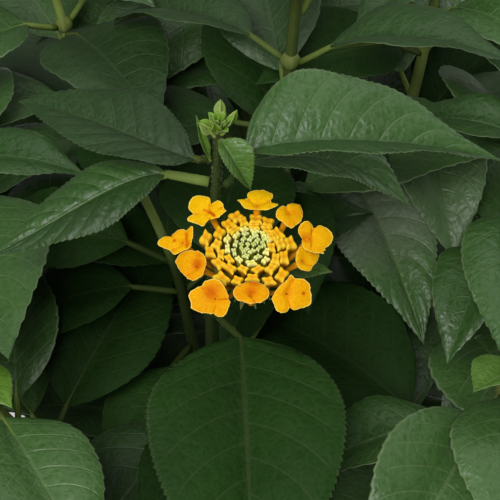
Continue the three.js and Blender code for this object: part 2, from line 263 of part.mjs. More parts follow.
const BUDS_GREEN = [   // centre and normal of the cap, its four corners
  { c: [-3.31, -61.65, 301.14], n: [-0.051, -0.037, 0.998], q: [[-4.02, -60.67, 301.14], [-2.93, -60.66, 301.2], [-2.75, -62.55, 301.14], [-3.54, -62.71, 301.09]] },
  { c: [-1.58, -61.16, 301.25], n: [-0.023, -0.031, 0.999], q: [[-2.3, -60.35, 301.26], [-1.68, -60.08, 301.28], [-0.77, -61.79, 301.25], [-1.56, -62.42, 301.21]] },
  { c: [-0.78, -62.84, 301.17], n: [-0.007, -0.068, 0.998], q: [[-1.81, -62.94, 301.15], [-1.04, -62.05, 301.22], [0.06, -62.68, 301.18], [-0.31, -63.68, 301.11]] },
  { c: [1.58, -63.05, 301.1], n: [0.04, -0.069, 0.997], q: [[0.62, -63.26, 301.13], [1.73, -62.13, 301.16], [2.71, -62.91, 301.07], [1.25, -63.91, 301.06]] },
  { c: [0.36, -61.57, 301.24], n: [0.016, -0.041, 0.999], q: [[-0.63, -61.87, 301.25], [0.52, -60.74, 301.27], [1.46, -61.34, 301.24], [0.06, -62.33, 301.22]] },
  { c: [1.85, -60.63, 301.22], n: [0.037, -0.018, 0.999], q: [[1.15, -60.91, 301.24], [1.89, -59.74, 301.24], [2.58, -60.14, 301.2], [1.77, -61.75, 301.21]] },
  { c: [2.75, -59.41, 301.18], n: [0.04, 0.002, 0.999], q: [[2.06, -58.68, 301.2], [3.01, -58.29, 301.16], [3.41, -60.09, 301.15], [2.51, -60.57, 301.19]] },
  { c: [1.58, -58.35, 301.23], n: [0.018, 0.011, 1], q: [[0.84, -58.52, 301.25], [1.58, -57.23, 301.22], [2.27, -58.11, 301.22], [1.64, -59.54, 301.24]] },
  { c: [0.11, -57.9, 301.26], n: [0.003, 0.009, 1], q: [[-0.74, -58.3, 301.27], [0, -56.9, 301.25], [0.91, -57.56, 301.26], [0.27, -58.83, 301.27]] },
  { c: [-1.32, -58.01, 301.26], n: [-0.006, 0.009, 1], q: [[-2.04, -58.15, 301.26], [-1.26, -57.05, 301.25], [-0.63, -57.8, 301.26], [-1.36, -59.04, 301.27]] },
  { c: [-2.97, -59.19, 301.22], n: [-0.03, 0.004, 1], q: [[-3.67, -59.85, 301.2], [-3.15, -58.04, 301.21], [-2.35, -58.56, 301.23], [-2.72, -60.32, 301.23]] },
  { c: [-1.81, -59.53, 301.28], n: [-0.018, 0, 1], q: [[-2.41, -59.27, 301.27], [-1.68, -58.75, 301.28], [-1.26, -59.73, 301.29], [-1.88, -60.36, 301.28]] },
  { c: [-0.45, -59.59, 301.3], n: [0, -0.001, 1], q: [[-1.05, -59.3, 301.3], [-0.42, -58.86, 301.3], [0.1, -59.59, 301.3], [-0.42, -60.62, 301.3]] },
  { c: [0.77, -59.52, 301.28], n: [0.015, 0.001, 1], q: [[0.17, -59.29, 301.29], [0.84, -58.7, 301.28], [1.43, -59.63, 301.27], [0.63, -60.46, 301.29]] },
  { c: [-0.96, -56.36, 301.17], n: [-0.003, 0.016, 1], q: [[-1.9, -56.29, 301.17], [-0.85, -55.78, 301.16], [0, -56.23, 301.17], [-1.1, -57.13, 301.18]] },
  { c: [1.09, -56.8, 301.18], n: [0.009, 0.016, 1], q: [[0.27, -56.54, 301.18], [1.27, -55.99, 301.16], [1.96, -57.03, 301.17], [0.84, -57.64, 301.19]] },
  { c: [2.81, -57.67, 301.13], n: [0.029, 0.017, 0.999], q: [[2.28, -57.14, 301.13], [2.95, -56.97, 301.11], [3.43, -58.1, 301.12], [2.58, -58.48, 301.15]] },
  { c: [-0.64, -60.86, 301.28], n: [-0.005, -0.027, 1], q: [[-1.25, -60.74, 301.28], [-0.57, -60.18, 301.3], [0, -60.94, 301.28], [-0.73, -61.59, 301.26]] },
];
const PEDUNCLE = [[-7.6, -38.6, 264.2], [-6.2, -42, 271.5], [-3, -52, 279.5], [-0.72, -58.36, 285.9], [-0.42, -59.56, 289]];
// Other flower heads: centre, axis, stalk, size, open florets.
const HEADS = {
  flower_head_right: { c: [98, -30, 303], n: [0.415, -0.197, 0.888], ped: [[74.5, 0.5, 264], [82, -8, 278], [92, -22, 290]], base: [94.27, -28.22, 295], s: 1,
    fl: [{'th': [96.92, -44.16, 302], 'n': [0.333, -0.676, 0.658], 'foot': [94.03, -31.63, 294.81], 'r': 3.76, 'a': 3.72}, {'th': [104.81, -42.07, 298.76], 'n': [0.513, -0.765, 0.389], 'foot': [95.9, -31.08, 294.06], 'r': 3.62, 'a': 0.62}, {'th': [110.47, -34.39, 297.85], 'n': [0.753, -0.363, 0.549], 'foot': [97.29, -29.29, 293.81], 'r': 3.77, 'a': 3.58}, {'th': [111.02, -24.47, 299.89], 'n': [0.918, 0.053, 0.393], 'foot': [97.36, -26.93, 294.3], 'r': 3.82, 'a': 3.44}, {'th': [107.86, -18.26, 302.2], 'n': [0.762, 0.296, 0.575], 'foot': [96.53, -25.65, 294.97], 'r': 4.03, 'a': 4.57}, {'th': [99.39, -16.28, 306.77], 'n': [0.35, 0.554, 0.755], 'foot': [94.65, -24.97, 296], 'r': 3.73, 'a': 6.13}, {'th': [92.49, -18.77, 309.56], 'n': [0.085, 0.24, 0.967], 'foot': [92.97, -25.52, 296.66], 'r': 3.44, 'a': 2.89}, {'th': [86.24, -27.18, 310.99], 'n': [-0.045, -0.129, 0.991], 'foot': [91.49, -27.56, 296.9], 'r': 3.98, 'a': 6.03}, {'th': [85.91, -34.71, 308.81], 'n': [-0.087, -0.359, 0.929], 'foot': [91.43, -29.38, 296.52], 'r': 3.58, 'a': 5.89}, {'th': [89.05, -41.84, 305.86], 'n': [-0.055, -0.606, 0.793], 'foot': [92.31, -30.92, 295.77], 'r': 4.09, 'a': 5.8}] },
  flower_head_left: { c: [-98, -26, 296], n: [-0.491, -0.246, 0.836], ped: [[-76.5, 0.3, 260], [-83, -7, 273], [-92, -19, 285]], base: [-93.36, -23.68, 288.1], s: 1.05,
    fl: [{'th': [-86.7, -34.63, 301.55], 'n': [0.185, -0.557, 0.81], 'foot': [-90.77, -25.74, 289.52], 'r': 3.85, 'a': 1.7}, {'th': [-86.11, -26.71, 304.59], 'n': [0.164, -0.178, 0.97], 'foot': [-90.48, -23.86, 290.25], 'r': 3.64, 'a': 1.43}, {'th': [-90.98, -15.11, 305.42], 'n': [0.075, 0.298, 0.952], 'foot': [-91.8, -21.24, 290.24], 'r': 3.79, 'a': 5.17}, {'th': [-99.84, -11.94, 300.99], 'n': [-0.368, 0.485, 0.793], 'foot': [-93.81, -20.33, 289.32], 'r': 3.69, 'a': 2.25}, {'th': [-107.46, -13.23, 295.48], 'n': [-0.718, 0.222, 0.659], 'foot': [-95.57, -20.85, 288.14], 'r': 3.81, 'a': 3.72}, {'th': [-112.32, -22.85, 289.75], 'n': [-0.916, -0.053, 0.397], 'foot': [-96.66, -23.02, 286.86], 'r': 3.81, 'a': 3.59}, {'th': [-108.76, -33.47, 288.88], 'n': [-0.782, -0.549, 0.296], 'foot': [-96.01, -25.51, 286.51], 'r': 4.24, 'a': 5.8}, {'th': [-102.24, -40.02, 291.1], 'n': [-0.495, -0.791, 0.36], 'foot': [-94.38, -26.95, 287.04], 'r': 3.84, 'a': 4.43}, {'th': [-93.02, -40.37, 296.62], 'n': [-0.25, -0.58, 0.775], 'foot': [-92.2, -27.08, 288.29], 'r': 4.05, 'a': 1.01}, {'th': [-92.26, -23.8, 303.68], 'n': [-0.13, -0.085, 0.988], 'foot': [-91.61, -22.98, 289.84], 'r': 4.22, 'a': 5.89}, {'th': [-101, -18.17, 300.78], 'n': [-0.493, -0.016, 0.87], 'foot': [-93.91, -21.34, 288.97], 'r': 4.17, 'a': 0.38}, {'th': [-107.48, -24.18, 294.76], 'n': [-0.612, -0.22, 0.76], 'foot': [-95.73, -23.07, 287.39], 'r': 3.9, 'a': 2.57}, {'th': [-103.02, -33.92, 294.31], 'n': [-0.609, -0.508, 0.609], 'foot': [-94.55, -25.78, 287.29], 'r': 4.12, 'a': 1.05}, {'th': [-94.28, -33.92, 300.41], 'n': [-0.308, -0.41, 0.858], 'foot': [-92, -25.73, 288.8], 'r': 3.67, 'a': 4.8}] },
  flower_head_back: { c: [-14, 98, 301], n: [-0.099, 0.445, 0.89], ped: [[-3.2, 80.5, 262], [-6, 85, 276], [-11, 92, 289]], base: [-13.15, 94.2, 293.39], s: 0.95,
    fl: [{'th': [-1.77, 104.45, 299.87], 'n': [0.327, 0.594, 0.735], 'foot': [-10.33, 95.8, 293.33], 'r': 3.64, 'a': 5.32}, {'th': [-7.54, 109.18, 297.42], 'n': [0.191, 0.893, 0.408], 'foot': [-11.6, 96.95, 292.61], 'r': 3.72, 'a': 3.29}, {'th': [-15.9, 110.42, 295.92], 'n': [-0.148, 0.771, 0.619], 'foot': [-13.62, 97.21, 292.26], 'r': 3.36, 'a': 1.94}, {'th': [-22.32, 107.73, 296.83], 'n': [-0.455, 0.707, 0.541], 'foot': [-15.17, 96.56, 292.41], 'r': 3.89, 'a': 4.53}, {'th': [-27.08, 100.69, 299.49], 'n': [-0.745, 0.36, 0.562], 'foot': [-16.32, 94.89, 293.12], 'r': 3.67, 'a': 5.13}, {'th': [-25.94, 92.45, 303.52], 'n': [-0.517, 0.114, 0.848], 'foot': [-16.05, 92.92, 294.13], 'r': 3.57, 'a': 4.47}, {'th': [-20.73, 87.16, 307.28], 'n': [-0.239, 0.046, 0.97], 'foot': [-14.7, 91.74, 294.87], 'r': 3.47, 'a': 2.63}, {'th': [-13.44, 86.01, 308.64], 'n': [-0.065, -0.211, 0.975], 'foot': [-13.03, 91.49, 295.19], 'r': 3.75, 'a': 2.45}, {'th': [-4.42, 90.83, 307.14], 'n': [0.242, 0.183, 0.953], 'foot': [-10.85, 92.49, 294.93], 'r': 3.63, 'a': 2.29}, {'th': [-0.01, 97.01, 303.84], 'n': [0.561, 0.274, 0.781], 'foot': [-10.01, 94.07, 294.23], 'r': 3.57, 'a': 0.22}] },
  flower_head_top: { c: [40, 50, 332], n: [0.251, 0.251, 0.935], ped: [[12.6, 25.2, 296], [20, 32, 308], [32, 43, 319]], base: [38.19, 48.19, 325.27], s: 0.8,
    fl: [{'th': [41.56, 60.11, 329.8], 'n': [0.364, 0.786, 0.5], 'foot': [38.62, 50.85, 324.78], 'r': 3.06, 'a': 3.66}, {'th': [31.84, 55.43, 333.57], 'n': [-0.233, 0.556, 0.797], 'foot': [35.97, 49.71, 325.8], 'r': 3.24, 'a': 4.59}, {'th': [34.36, 43.56, 336.51], 'n': [-0.183, -0.256, 0.949], 'foot': [36.59, 46.36, 326.53], 'r': 3.11, 'a': 2.04}, {'th': [44.02, 40.66, 333.93], 'n': [0.377, -0.504, 0.777], 'foot': [39.3, 45.78, 325.96], 'r': 3.07, 'a': 4.29}, {'th': [49.53, 52.01, 330], 'n': [0.756, 0.245, 0.608], 'foot': [40.82, 48.75, 324.75], 'r': 3.29, 'a': 4.84}] },
};
// ---------- stems ----------
const TRUNK = {'p': [[0, 0, 109], [0.6, -0.4, 122], [-0.3, 0.4, 133], [0.2, 0, 141]], 'r0': 6.6, 'r1': 4.6};
const SHOOTS = {
  main_shoot: { p: [[-1.5, -6.5, 137], [-5.5, -20, 165], [-8.5, -32, 210], [-9.2, -36.2, 255], [-7.8, -35.2, 288], [-6.8, -34.6, 313]], r: [2.3, 0.95] },
  shoot_front_right: { p: [[5.7, -5.3, 127], [24, -24, 160], [50, -46, 212], [64, -58, 262]], r: [2.3, 1.2] },
  shoot_front_left: { p: [[-5.9, -4.8, 125], [-26, -20, 160], [-52, -44, 210], [-67, -57, 258]], r: [2.3, 1.2] },
  shoot_right: { p: [[7, 1.2, 131], [32, 3, 165], [60, 4, 220], [76, 2, 276]], r: [2.3, 1.2] },
  shoot_left: { p: [[-7.3, 1, 130], [-32, 4, 162], [-62, 5, 218], [-78, 2, 272]], r: [2.3, 1.2] },
  shoot_back_right: { p: [[5.2, 5.9, 126], [24, 26, 165], [42, 48, 226], [52, 62, 286]], r: [2.3, 1.2] },
  shoot_back_left: { p: [[-5.3, 5.9, 128], [-22, 27, 168], [-42, 50, 226], [-55, 64, 282]], r: [2.3, 1.2] },
  shoot_back: { p: [[0.3, 7.7, 133], [1, 30, 168], [-1, 60, 222], [-2, 80, 268]], r: [2.2, 1.2] },
  shoot_centre: { p: [[0.8, 1.5, 142.5], [3, 8, 190], [8, 18, 250], [12, 24, 316]], r: [2.4, 1.2] },
  shoot_inner_left: { p: [[-3.4, -1, 141.6], [-13, -7, 190], [-19, -13, 245], [-27.5, -19.5, 284]], r: [1.8, 1] },
  shoot_low_front: { p: [[1.4, -7.6, 119], [3, -36, 136], [4, -70, 166], [2, -92, 200]], r: [2.1, 1.1] },
};
// Collars of the leaf pairs: centre, stem direction, stem radius.
const COLLARS = {
  leaf_pair_01: { c: [60.11, -54.65, 246.94], d: [0.234, -0.202, 0.951], r: 1.31 },
  leaf_pair_02: { c: [49.59, -45.65, 210.94], d: [0.349, -0.295, 0.889], r: 1.57 },
  leaf_pair_03: { c: [-62.77, -53.37, 243.54], d: [-0.264, -0.224, 0.938], r: 1.31 },
  leaf_pair_04: { c: [-51.58, -43.62, 208.98], d: [-0.364, -0.33, 0.871], r: 1.57 },
  leaf_pair_05: { c: [70.7, 2.84, 255.74], d: [0.243, -0.043, 0.969], r: 1.33 },
  leaf_pair_06: { c: [56.71, 4.03, 212.03], d: [0.397, 0.001, 0.918], r: 1.62 },
  leaf_pair_07: { c: [-72.73, 3.24, 252.51], d: [-0.25, -0.065, 0.966], r: 1.33 },
  leaf_pair_08: { c: [-58.5, 5.11, 209.94], d: [-0.414, -0.006, 0.91], r: 1.62 },
  leaf_pair_09: { c: [49.23, 58.02, 267.96], d: [0.142, 0.206, 0.968], r: 1.31 },
  leaf_pair_10: { c: [42.53, 48.69, 228.38], d: [0.206, 0.269, 0.941], r: 1.55 },
  leaf_pair_11: { c: [-51.28, 60.04, 265.17], d: [-0.205, 0.217, 0.955], r: 1.31 },
  leaf_pair_12: { c: [-42.63, 50.7, 228.22], d: [-0.257, 0.286, 0.923], r: 1.55 },
  leaf_pair_13: { c: [-1.67, 73.08, 251.54], d: [-0.018, 0.383, 0.924], r: 1.32 },
  leaf_pair_14: { c: [-0.74, 56.2, 214.5], d: [-0.034, 0.46, 0.887], r: 1.58 },
  leaf_pair_15: { c: [10.15, 21.39, 284.11], d: [0.057, 0.081, 0.995], r: 1.39 },
  leaf_pair_16: { c: [7.91, 17.84, 248.77], d: [0.073, 0.131, 0.989], r: 1.61 },
  leaf_pair_17: { c: [-8.82, -33.42, 219.07], d: [-0.03, -0.134, 0.99], r: 1.71 },
  leaf_pair_18: { c: [3.13, -82.03, 183.35], d: [-0.059, -0.511, 0.858], r: 1.26 },
  leaf_pair_19: { c: [4.02, -63.89, 159.43], d: [0.008, -0.705, 0.709], r: 1.5 },
};
// ---------- leaves ----------
// node, points (petiole foot, blade base, two midrib controls, tip), half width, fold in degrees, up direction
const LEAVES = [
  { node: 'leaf_upper_left', p: [[-9, -34.8, 302.6], [-11.71, -37.88, 305.5], [-19.49, -36.95, 307], [-33.36, -24.06, 306], [-53.54, -11.24, 299]], w: 10.8, fold: 16, n: [0.1, -0.12, 1], peak: 0.55, round: 0.9 },
  { node: 'leaf_left', p: [[-9.1, -35.5, 296.4], [-18.19, -34.15, 297.5], [-26.51, -34.44, 299.3], [-39.6, -42.71, 293.5], [-57.42, -46.41, 284]], w: 8.8, fold: 0, n: [0.05, -0.05, 1], peak: 0.5, round: 1, rp: 1.12 },
  { node: 'leaf_upper_right', p: [[-5.3, -34.6, 303.4], [-0.88, -34.23, 304.2], [10.98, -31.44, 305.5], [32.03, -29.78, 304], [56.49, -26.9, 295]], w: 17.5, fold: 34, n: [-0.05, 0.04, 1] },
  { node: 'leaf_right', p: [[-5.6, -35.6, 295.2], [-0.68, -27.36, 294.5], [11.41, -22.01, 294.5], [25.81, -20.71, 290.5], [37.41, -27.12, 280]], w: 10.8, fold: 24, n: [0, -0.02, 1] },
  { node: 'young_leaf_hanging', p: [[-6.2, -36.3, 309.2], [-6.25, -36.6, 309.6], [-4.52, -39.11, 308.4], [-2.16, -40.92, 304.5], [0.11, -42.27, 300.4]], w: 5.2, fold: 42, n: [0.25, -0.35, 0.9], rp: 0.6 },
  { node: 'leaf_front', p: [[-8.4, -37.9, 255.3], [-2.2, -47.5, 257.5], [-1, -66, 257.5], [0, -93, 250], [1.5, -118.6, 236]], w: 23, fold: 12, n: [0.02, 0.1, 1] },
  { node: 'leaf_back_inner', p: [[-8.8, -33.6, 258.5], [-8, -24, 260.5], [-6, -8, 261], [-4, 14, 254], [-2, 34, 243]], w: 18, fold: 16, n: [0, 0, 1] },
  { node: 'leaf_small_pointed', p: [[-6.3, -36.6, 279.4], [0.5, -41, 281.4], [9.56, -48.22, 283], [13.86, -51.48, 285], [17.94, -53.21, 286.2]], w: 3.5, fold: -8, n: [0, -0.1, 1], rp: 0.6 },
  { node: 'leaf_low_right', p: [[-5.6, -32.6, 226.5], [27.97, 27.72, 236], [32.89, 17.7, 237], [39.61, 0.3, 233], [45.36, -19.11, 222]], w: 15.5, fold: 16, n: [-0.05, 0.05, 1] },
  { node: 'leaf_pair_01', p: [[61.76, -52.77, 246.94], [67.89, -45.79, 252.26], [80.16, -31.81, 257.41], [93.48, -16.65, 251.9], [102.33, -6.57, 238.01]], w: 16.88, fold: 16.3, n: [-0.086, 0.076, 0.993], pair: 1 },
  { node: 'leaf_pair_01', p: [[58.85, -56.82, 246.79], [53.43, -66.15, 250.5], [44.05, -82.32, 252.02], [34.96, -97.99, 247.46], [27.06, -111.61, 237.27]], w: 17.5, fold: 20.4, n: [0.22, -0.128, 0.967], pair: 1 },
  { node: 'leaf_pair_02', p: [[50.9, -47.77, 209.72], [54.18, -53.02, 216.26], [63.62, -68.09, 227.47], [74.09, -84.82, 233.33], [85.24, -102.64, 233.63]], w: 18.51, fold: 17.1, n: [-0.143, -0.089, 0.986], pair: 1 },
  { node: 'leaf_pair_02', p: [[47.72, -44.04, 212.21], [40.25, -37.57, 218.67], [24.03, -23.55, 226.01], [6.2, -8.15, 222.81], [-7.95, 4.09, 210.02]], w: 19.6, fold: 15.6, n: [-0.066, -0.076, 0.995], pair: 1 },
  { node: 'leaf_pair_03', p: [[-61.51, -55.54, 243.38], [-57.16, -62.84, 246.37], [-49.11, -76.33, 247.77], [-41.37, -89.32, 245.47], [-33.91, -101.85, 239.47]], w: 14.74, fold: 10.4, n: [0.149, 0.089, 0.985], pair: 1 },
  { node: 'leaf_pair_03', p: [[-64.72, -51.8, 243.37], [-72.79, -45.31, 249.5], [-86.73, -34.08, 254.75], [-101.86, -21.89, 250.51], [-112.84, -13.05, 238.28]], w: 16.05, fold: 9.5, n: [-0.006, -0.008, 1], pair: 1 },
  { node: 'leaf_pair_04', p: [[-53.84, -44.56, 207.68], [-63.22, -48.48, 215.25], [-80.31, -55.61, 222.89], [-98.14, -63.06, 225.55], [-116.5, -70.73, 223.21]], w: 18.15, fold: 22.4, n: [0.089, -0.214, 0.973], pair: 1 },
  { node: 'leaf_pair_04', p: [[-50.44, -41.45, 210.27], [-47.03, -34.89, 216.72], [-39.01, -19.49, 225.49], [-30.22, -2.61, 228.49], [-21.35, 14.44, 225.48]], w: 16.88, fold: 18.6, n: [0.118, -0.061, 0.991], pair: 1 },
  { node: 'leaf_pair_05', p: [[70.3, 5.33, 255.95], [68.4, 17.07, 260.21], [65.56, 34.58, 261.89], [62.78, 51.79, 255.19], [60.85, 63.69, 242.06]], w: 16.13, fold: 18.7, n: [0.142, 0.023, 0.99], pair: 1 },
  { node: 'leaf_pair_05', p: [[70.23, 0.35, 255.74], [68.73, -7.42, 260.58], [65.48, -24.26, 265.85], [62.09, -41.81, 265.29], [58.9, -58.3, 258.95]], w: 14.85, fold: 17.9, n: [-0.253, 0.049, 0.966], pair: 1 },
  { node: 'leaf_pair_06', p: [[59.23, 4.65, 210.94], [65.43, 6.16, 217.89], [84, 10.7, 230.36], [107.94, 16.55, 231.55], [127.59, 21.36, 220.96]], w: 21.11, fold: 23, n: [-0.043, 0.177, 0.983], pair: 1 },
  { node: 'leaf_pair_06', p: [[54.43, 5.38, 213.02], [47.11, 10.04, 218.53], [33.09, 18.96, 223.95], [17.74, 28.74, 221.03], [5.86, 36.3, 210.67]], w: 15.31, fold: 20.4, n: [0.015, 0.024, 1], pair: 1 },
  { node: 'leaf_pair_07', p: [[-72.96, 0.73, 252.28], [-73.69, -7.44, 255.78], [-75.16, -23.87, 258.33], [-76.61, -40.08, 256.03], [-77.96, -55.17, 249]], w: 15.78, fold: 15.2, n: [0.149, -0.013, 0.989], pair: 1 },
  { node: 'leaf_pair_07', p: [[-73.07, 5.75, 252.59], [-74.57, 16.98, 257.93], [-76.91, 34.53, 261.33], [-79.32, 52.56, 256.33], [-81.1, 65.93, 244.37]], w: 14.9, fold: 19.7, n: [0.095, 0.013, 0.995], pair: 1 },
  { node: 'leaf_pair_08', p: [[-60.97, 5.89, 208.82], [-69.99, 8.81, 217.98], [-86.81, 14.23, 228.06], [-106.31, 20.53, 230.79], [-125.06, 26.58, 225.7]], w: 16.7, fold: 23.3, n: [-0.069, -0.213, 0.975], pair: 1 },
  { node: 'leaf_pair_08', p: [[-56.01, 5.78, 211.08], [-47.51, 8.33, 217.04], [-29.79, 13.64, 223.61], [-10.71, 19.37, 222.72], [6.37, 24.49, 214.54]], w: 17.79, fold: 11.5, n: [0.06, -0.201, 0.978], pair: 1 },
  { node: 'leaf_pair_09', p: [[47.4, 59.74, 267.86], [39.06, 67.55, 273.71], [26.52, 79.29, 277.59], [14.05, 90.98, 277.27], [1.63, 102.61, 272.72]], w: 15.54, fold: 22, n: [-0.088, -0.094, 0.992], pair: 1 },
  { node: 'leaf_pair_09', p: [[50.9, 56.15, 268.11], [57.66, 48.59, 271.51], [69.86, 34.95, 272.86], [81.74, 21.67, 264.29], [88.65, 13.94, 249.14]], w: 14.92, fold: 23.7, n: [0.177, 0.158, 0.972], pair: 1 },
  { node: 'leaf_pair_10', p: [[44.25, 50.63, 227.45], [50.19, 57.39, 233.88], [62.03, 70.83, 240.85], [74.91, 85.46, 240.67], [86.67, 98.8, 233.38]], w: 17.71, fold: 21.6, n: [0.125, -0.11, 0.986], pair: 1 },
  { node: 'leaf_pair_10', p: [[40.17, 47.57, 229.22], [32.88, 43.8, 232.85], [16.83, 35.51, 235.89], [0.85, 27.26, 233.15], [-13.66, 19.77, 224.86]], w: 15.21, fold: 20.7, n: [-0.07, 0.136, 0.988], pair: 1 },
  { node: 'leaf_pair_11', p: [[-53.18, 58.4, 265.14], [-60.35, 52.19, 271.13], [-72.96, 41.25, 276.54], [-86.82, 29.24, 273.26], [-97.24, 20.21, 262.39]], w: 15.28, fold: 22, n: [0.06, -0.07, 0.996], pair: 1 },
  { node: 'leaf_pair_11', p: [[-49.66, 61.95, 265.09], [-43.9, 68.64, 270.89], [-32.08, 82.39, 277.14], [-19.66, 96.82, 277.37], [-7.75, 110.67, 271.55]], w: 16.28, fold: 22.7, n: [-0.06, 0.051, 0.997], pair: 1 },
  { node: 'leaf_pair_12', p: [[-43.72, 53.01, 227.21], [-47.54, 61.15, 231.64], [-56.58, 80.38, 236.12], [-65.85, 100.12, 231.77], [-73.46, 116.31, 219.47]], w: 19.02, fold: 18.7, n: [-0.095, -0.045, 0.994], pair: 1 },
  { node: 'leaf_pair_12', p: [[-41.05, 48.71, 229.28], [-34.72, 40.7, 233.96], [-22.75, 25.55, 237.46], [-10.75, 10.37, 234.38], [-0.04, -3.18, 225.08]], w: 17.52, fold: 22.4, n: [-0.009, -0.007, 1], pair: 1 },
  { node: 'leaf_pair_13', p: [[-4.19, 73.2, 251.44], [-12.38, 73.63, 255.07], [-29.69, 74.55, 257.98], [-47.04, 75.47, 254.49], [-61.88, 76.25, 245.11]], w: 15.67, fold: 20.2, n: [0, 0.001, 1], pair: 1 },
  { node: 'leaf_pair_13', p: [[0.8, 73.56, 251.39], [12.68, 75.87, 256.47], [30.76, 79.4, 259.2], [48.66, 82.89, 255.83], [64.58, 85.99, 246.69]], w: 16.11, fold: 17, n: [0.011, -0.056, 0.998], pair: 1 },
  { node: 'leaf_pair_14', p: [[-0.12, 58.61, 213.27], [1.81, 65.87, 219.83], [6.16, 82.29, 228.42], [10.96, 100.41, 231.11], [15.75, 118.5, 227.64]], w: 15.81, fold: 17.7, n: [-0.004, 0.001, 1], pair: 1 },
  { node: 'leaf_pair_14', p: [[-2.83, 54.53, 215.28], [-12.06, 46.82, 220.29], [-23.29, 37.43, 222.42], [-34.49, 28.06, 218.84], [-43.69, 20.37, 210.18]], w: 13.52, fold: 18.2, n: [0.105, -0.126, 0.986], pair: 1 },
  { node: 'leaf_pair_15', p: [[7.88, 22.64, 284.14], [0.19, 26.87, 287.89], [-13.18, 34.22, 290.24], [-26.67, 41.64, 285.58], [-36.65, 47.13, 275.15]], w: 13, fold: 17.3, n: [0.118, 0.215, 0.97], pair: 1 },
  { node: 'leaf_pair_15', p: [[12.69, 20.86, 284.01], [20.07, 19.33, 290.29], [34.1, 16.42, 297.11], [50.01, 13.12, 297.73], [64.51, 10.11, 292.03]], w: 14.2, fold: 18.9, n: [0.052, 0.252, 0.966], pair: 1 },
  { node: 'leaf_pair_16', p: [[7.7, 20.62, 248.42], [6.96, 28.02, 255.86], [5.26, 45.23, 266.13], [3.36, 64.41, 270.82], [1.38, 84.4, 269.64]], w: 18.87, fold: 13.7, n: [0.029, 0.003, 1], pair: 1 },
  { node: 'leaf_pair_16', p: [[7.76, 15.06, 249.15], [9.35, 5.08, 253.65], [11.23, -6.78, 255.7], [13.16, -18.89, 251.66], [14.48, -27.22, 242.88]], w: 10.46, fold: 21, n: [0.028, 0.004, 1], pair: 1 },
  { node: 'leaf_pair_17', p: [[-8.79, -36.3, 218.68], [-8.66, -45.75, 223.09], [-8.37, -67.52, 227.2], [-8.09, -89.07, 225.64], [-7.81, -110.03, 218.45]], w: 20.72, fold: 20.2, n: [0.2, 0.003, 0.98], pair: 1 },
  { node: 'leaf_pair_17', p: [[-8.15, -30.62, 219.47], [-5.63, -23.69, 226.09], [-1.49, -12.35, 232.41], [3.08, 0.2, 234.59], [7.68, 12.84, 232.44]], w: 12.65, fold: 16.9, n: [-0.276, 0.101, 0.956], pair: 1 },
  { node: 'leaf_pair_18', p: [[5.56, -82.39, 183.31], [12.46, -83.4, 190], [26.13, -85.41, 197.83], [42.57, -87.83, 198.73], [57, -89.96, 192.44]], w: 14.56, fold: 21.9, n: [0.009, 0.064, 0.998], pair: 1 },
  { node: 'leaf_pair_18', p: [[0.72, -82.37, 182.99], [-7.55, -83.52, 187.42], [-26.2, -86.12, 191.99], [-45.26, -88.77, 190.15], [-62.71, -91.2, 182.09]], w: 16.77, fold: 21.7, n: [-0.027, 0.195, 0.98], pair: 1 },
  { node: 'leaf_pair_19', p: [[4.9, -65.7, 157.63], [8.89, -73.79, 166.37], [15.66, -87.53, 175.14], [23.23, -102.9, 178.69], [30.98, -118.63, 176.74]], w: 14.77, fold: 11.1, n: [-0.052, -0.026, 0.998], pair: 1 },
  { node: 'leaf_pair_19', p: [[2.41, -62.37, 160.97], [-3.99, -56.36, 165.74], [-16.71, -44.41, 170.16], [-30.16, -31.77, 166.07], [-40.32, -22.23, 154.68]], w: 15.07, fold: 19.9, n: [0.118, 0.125, 0.985], pair: 1 },
];
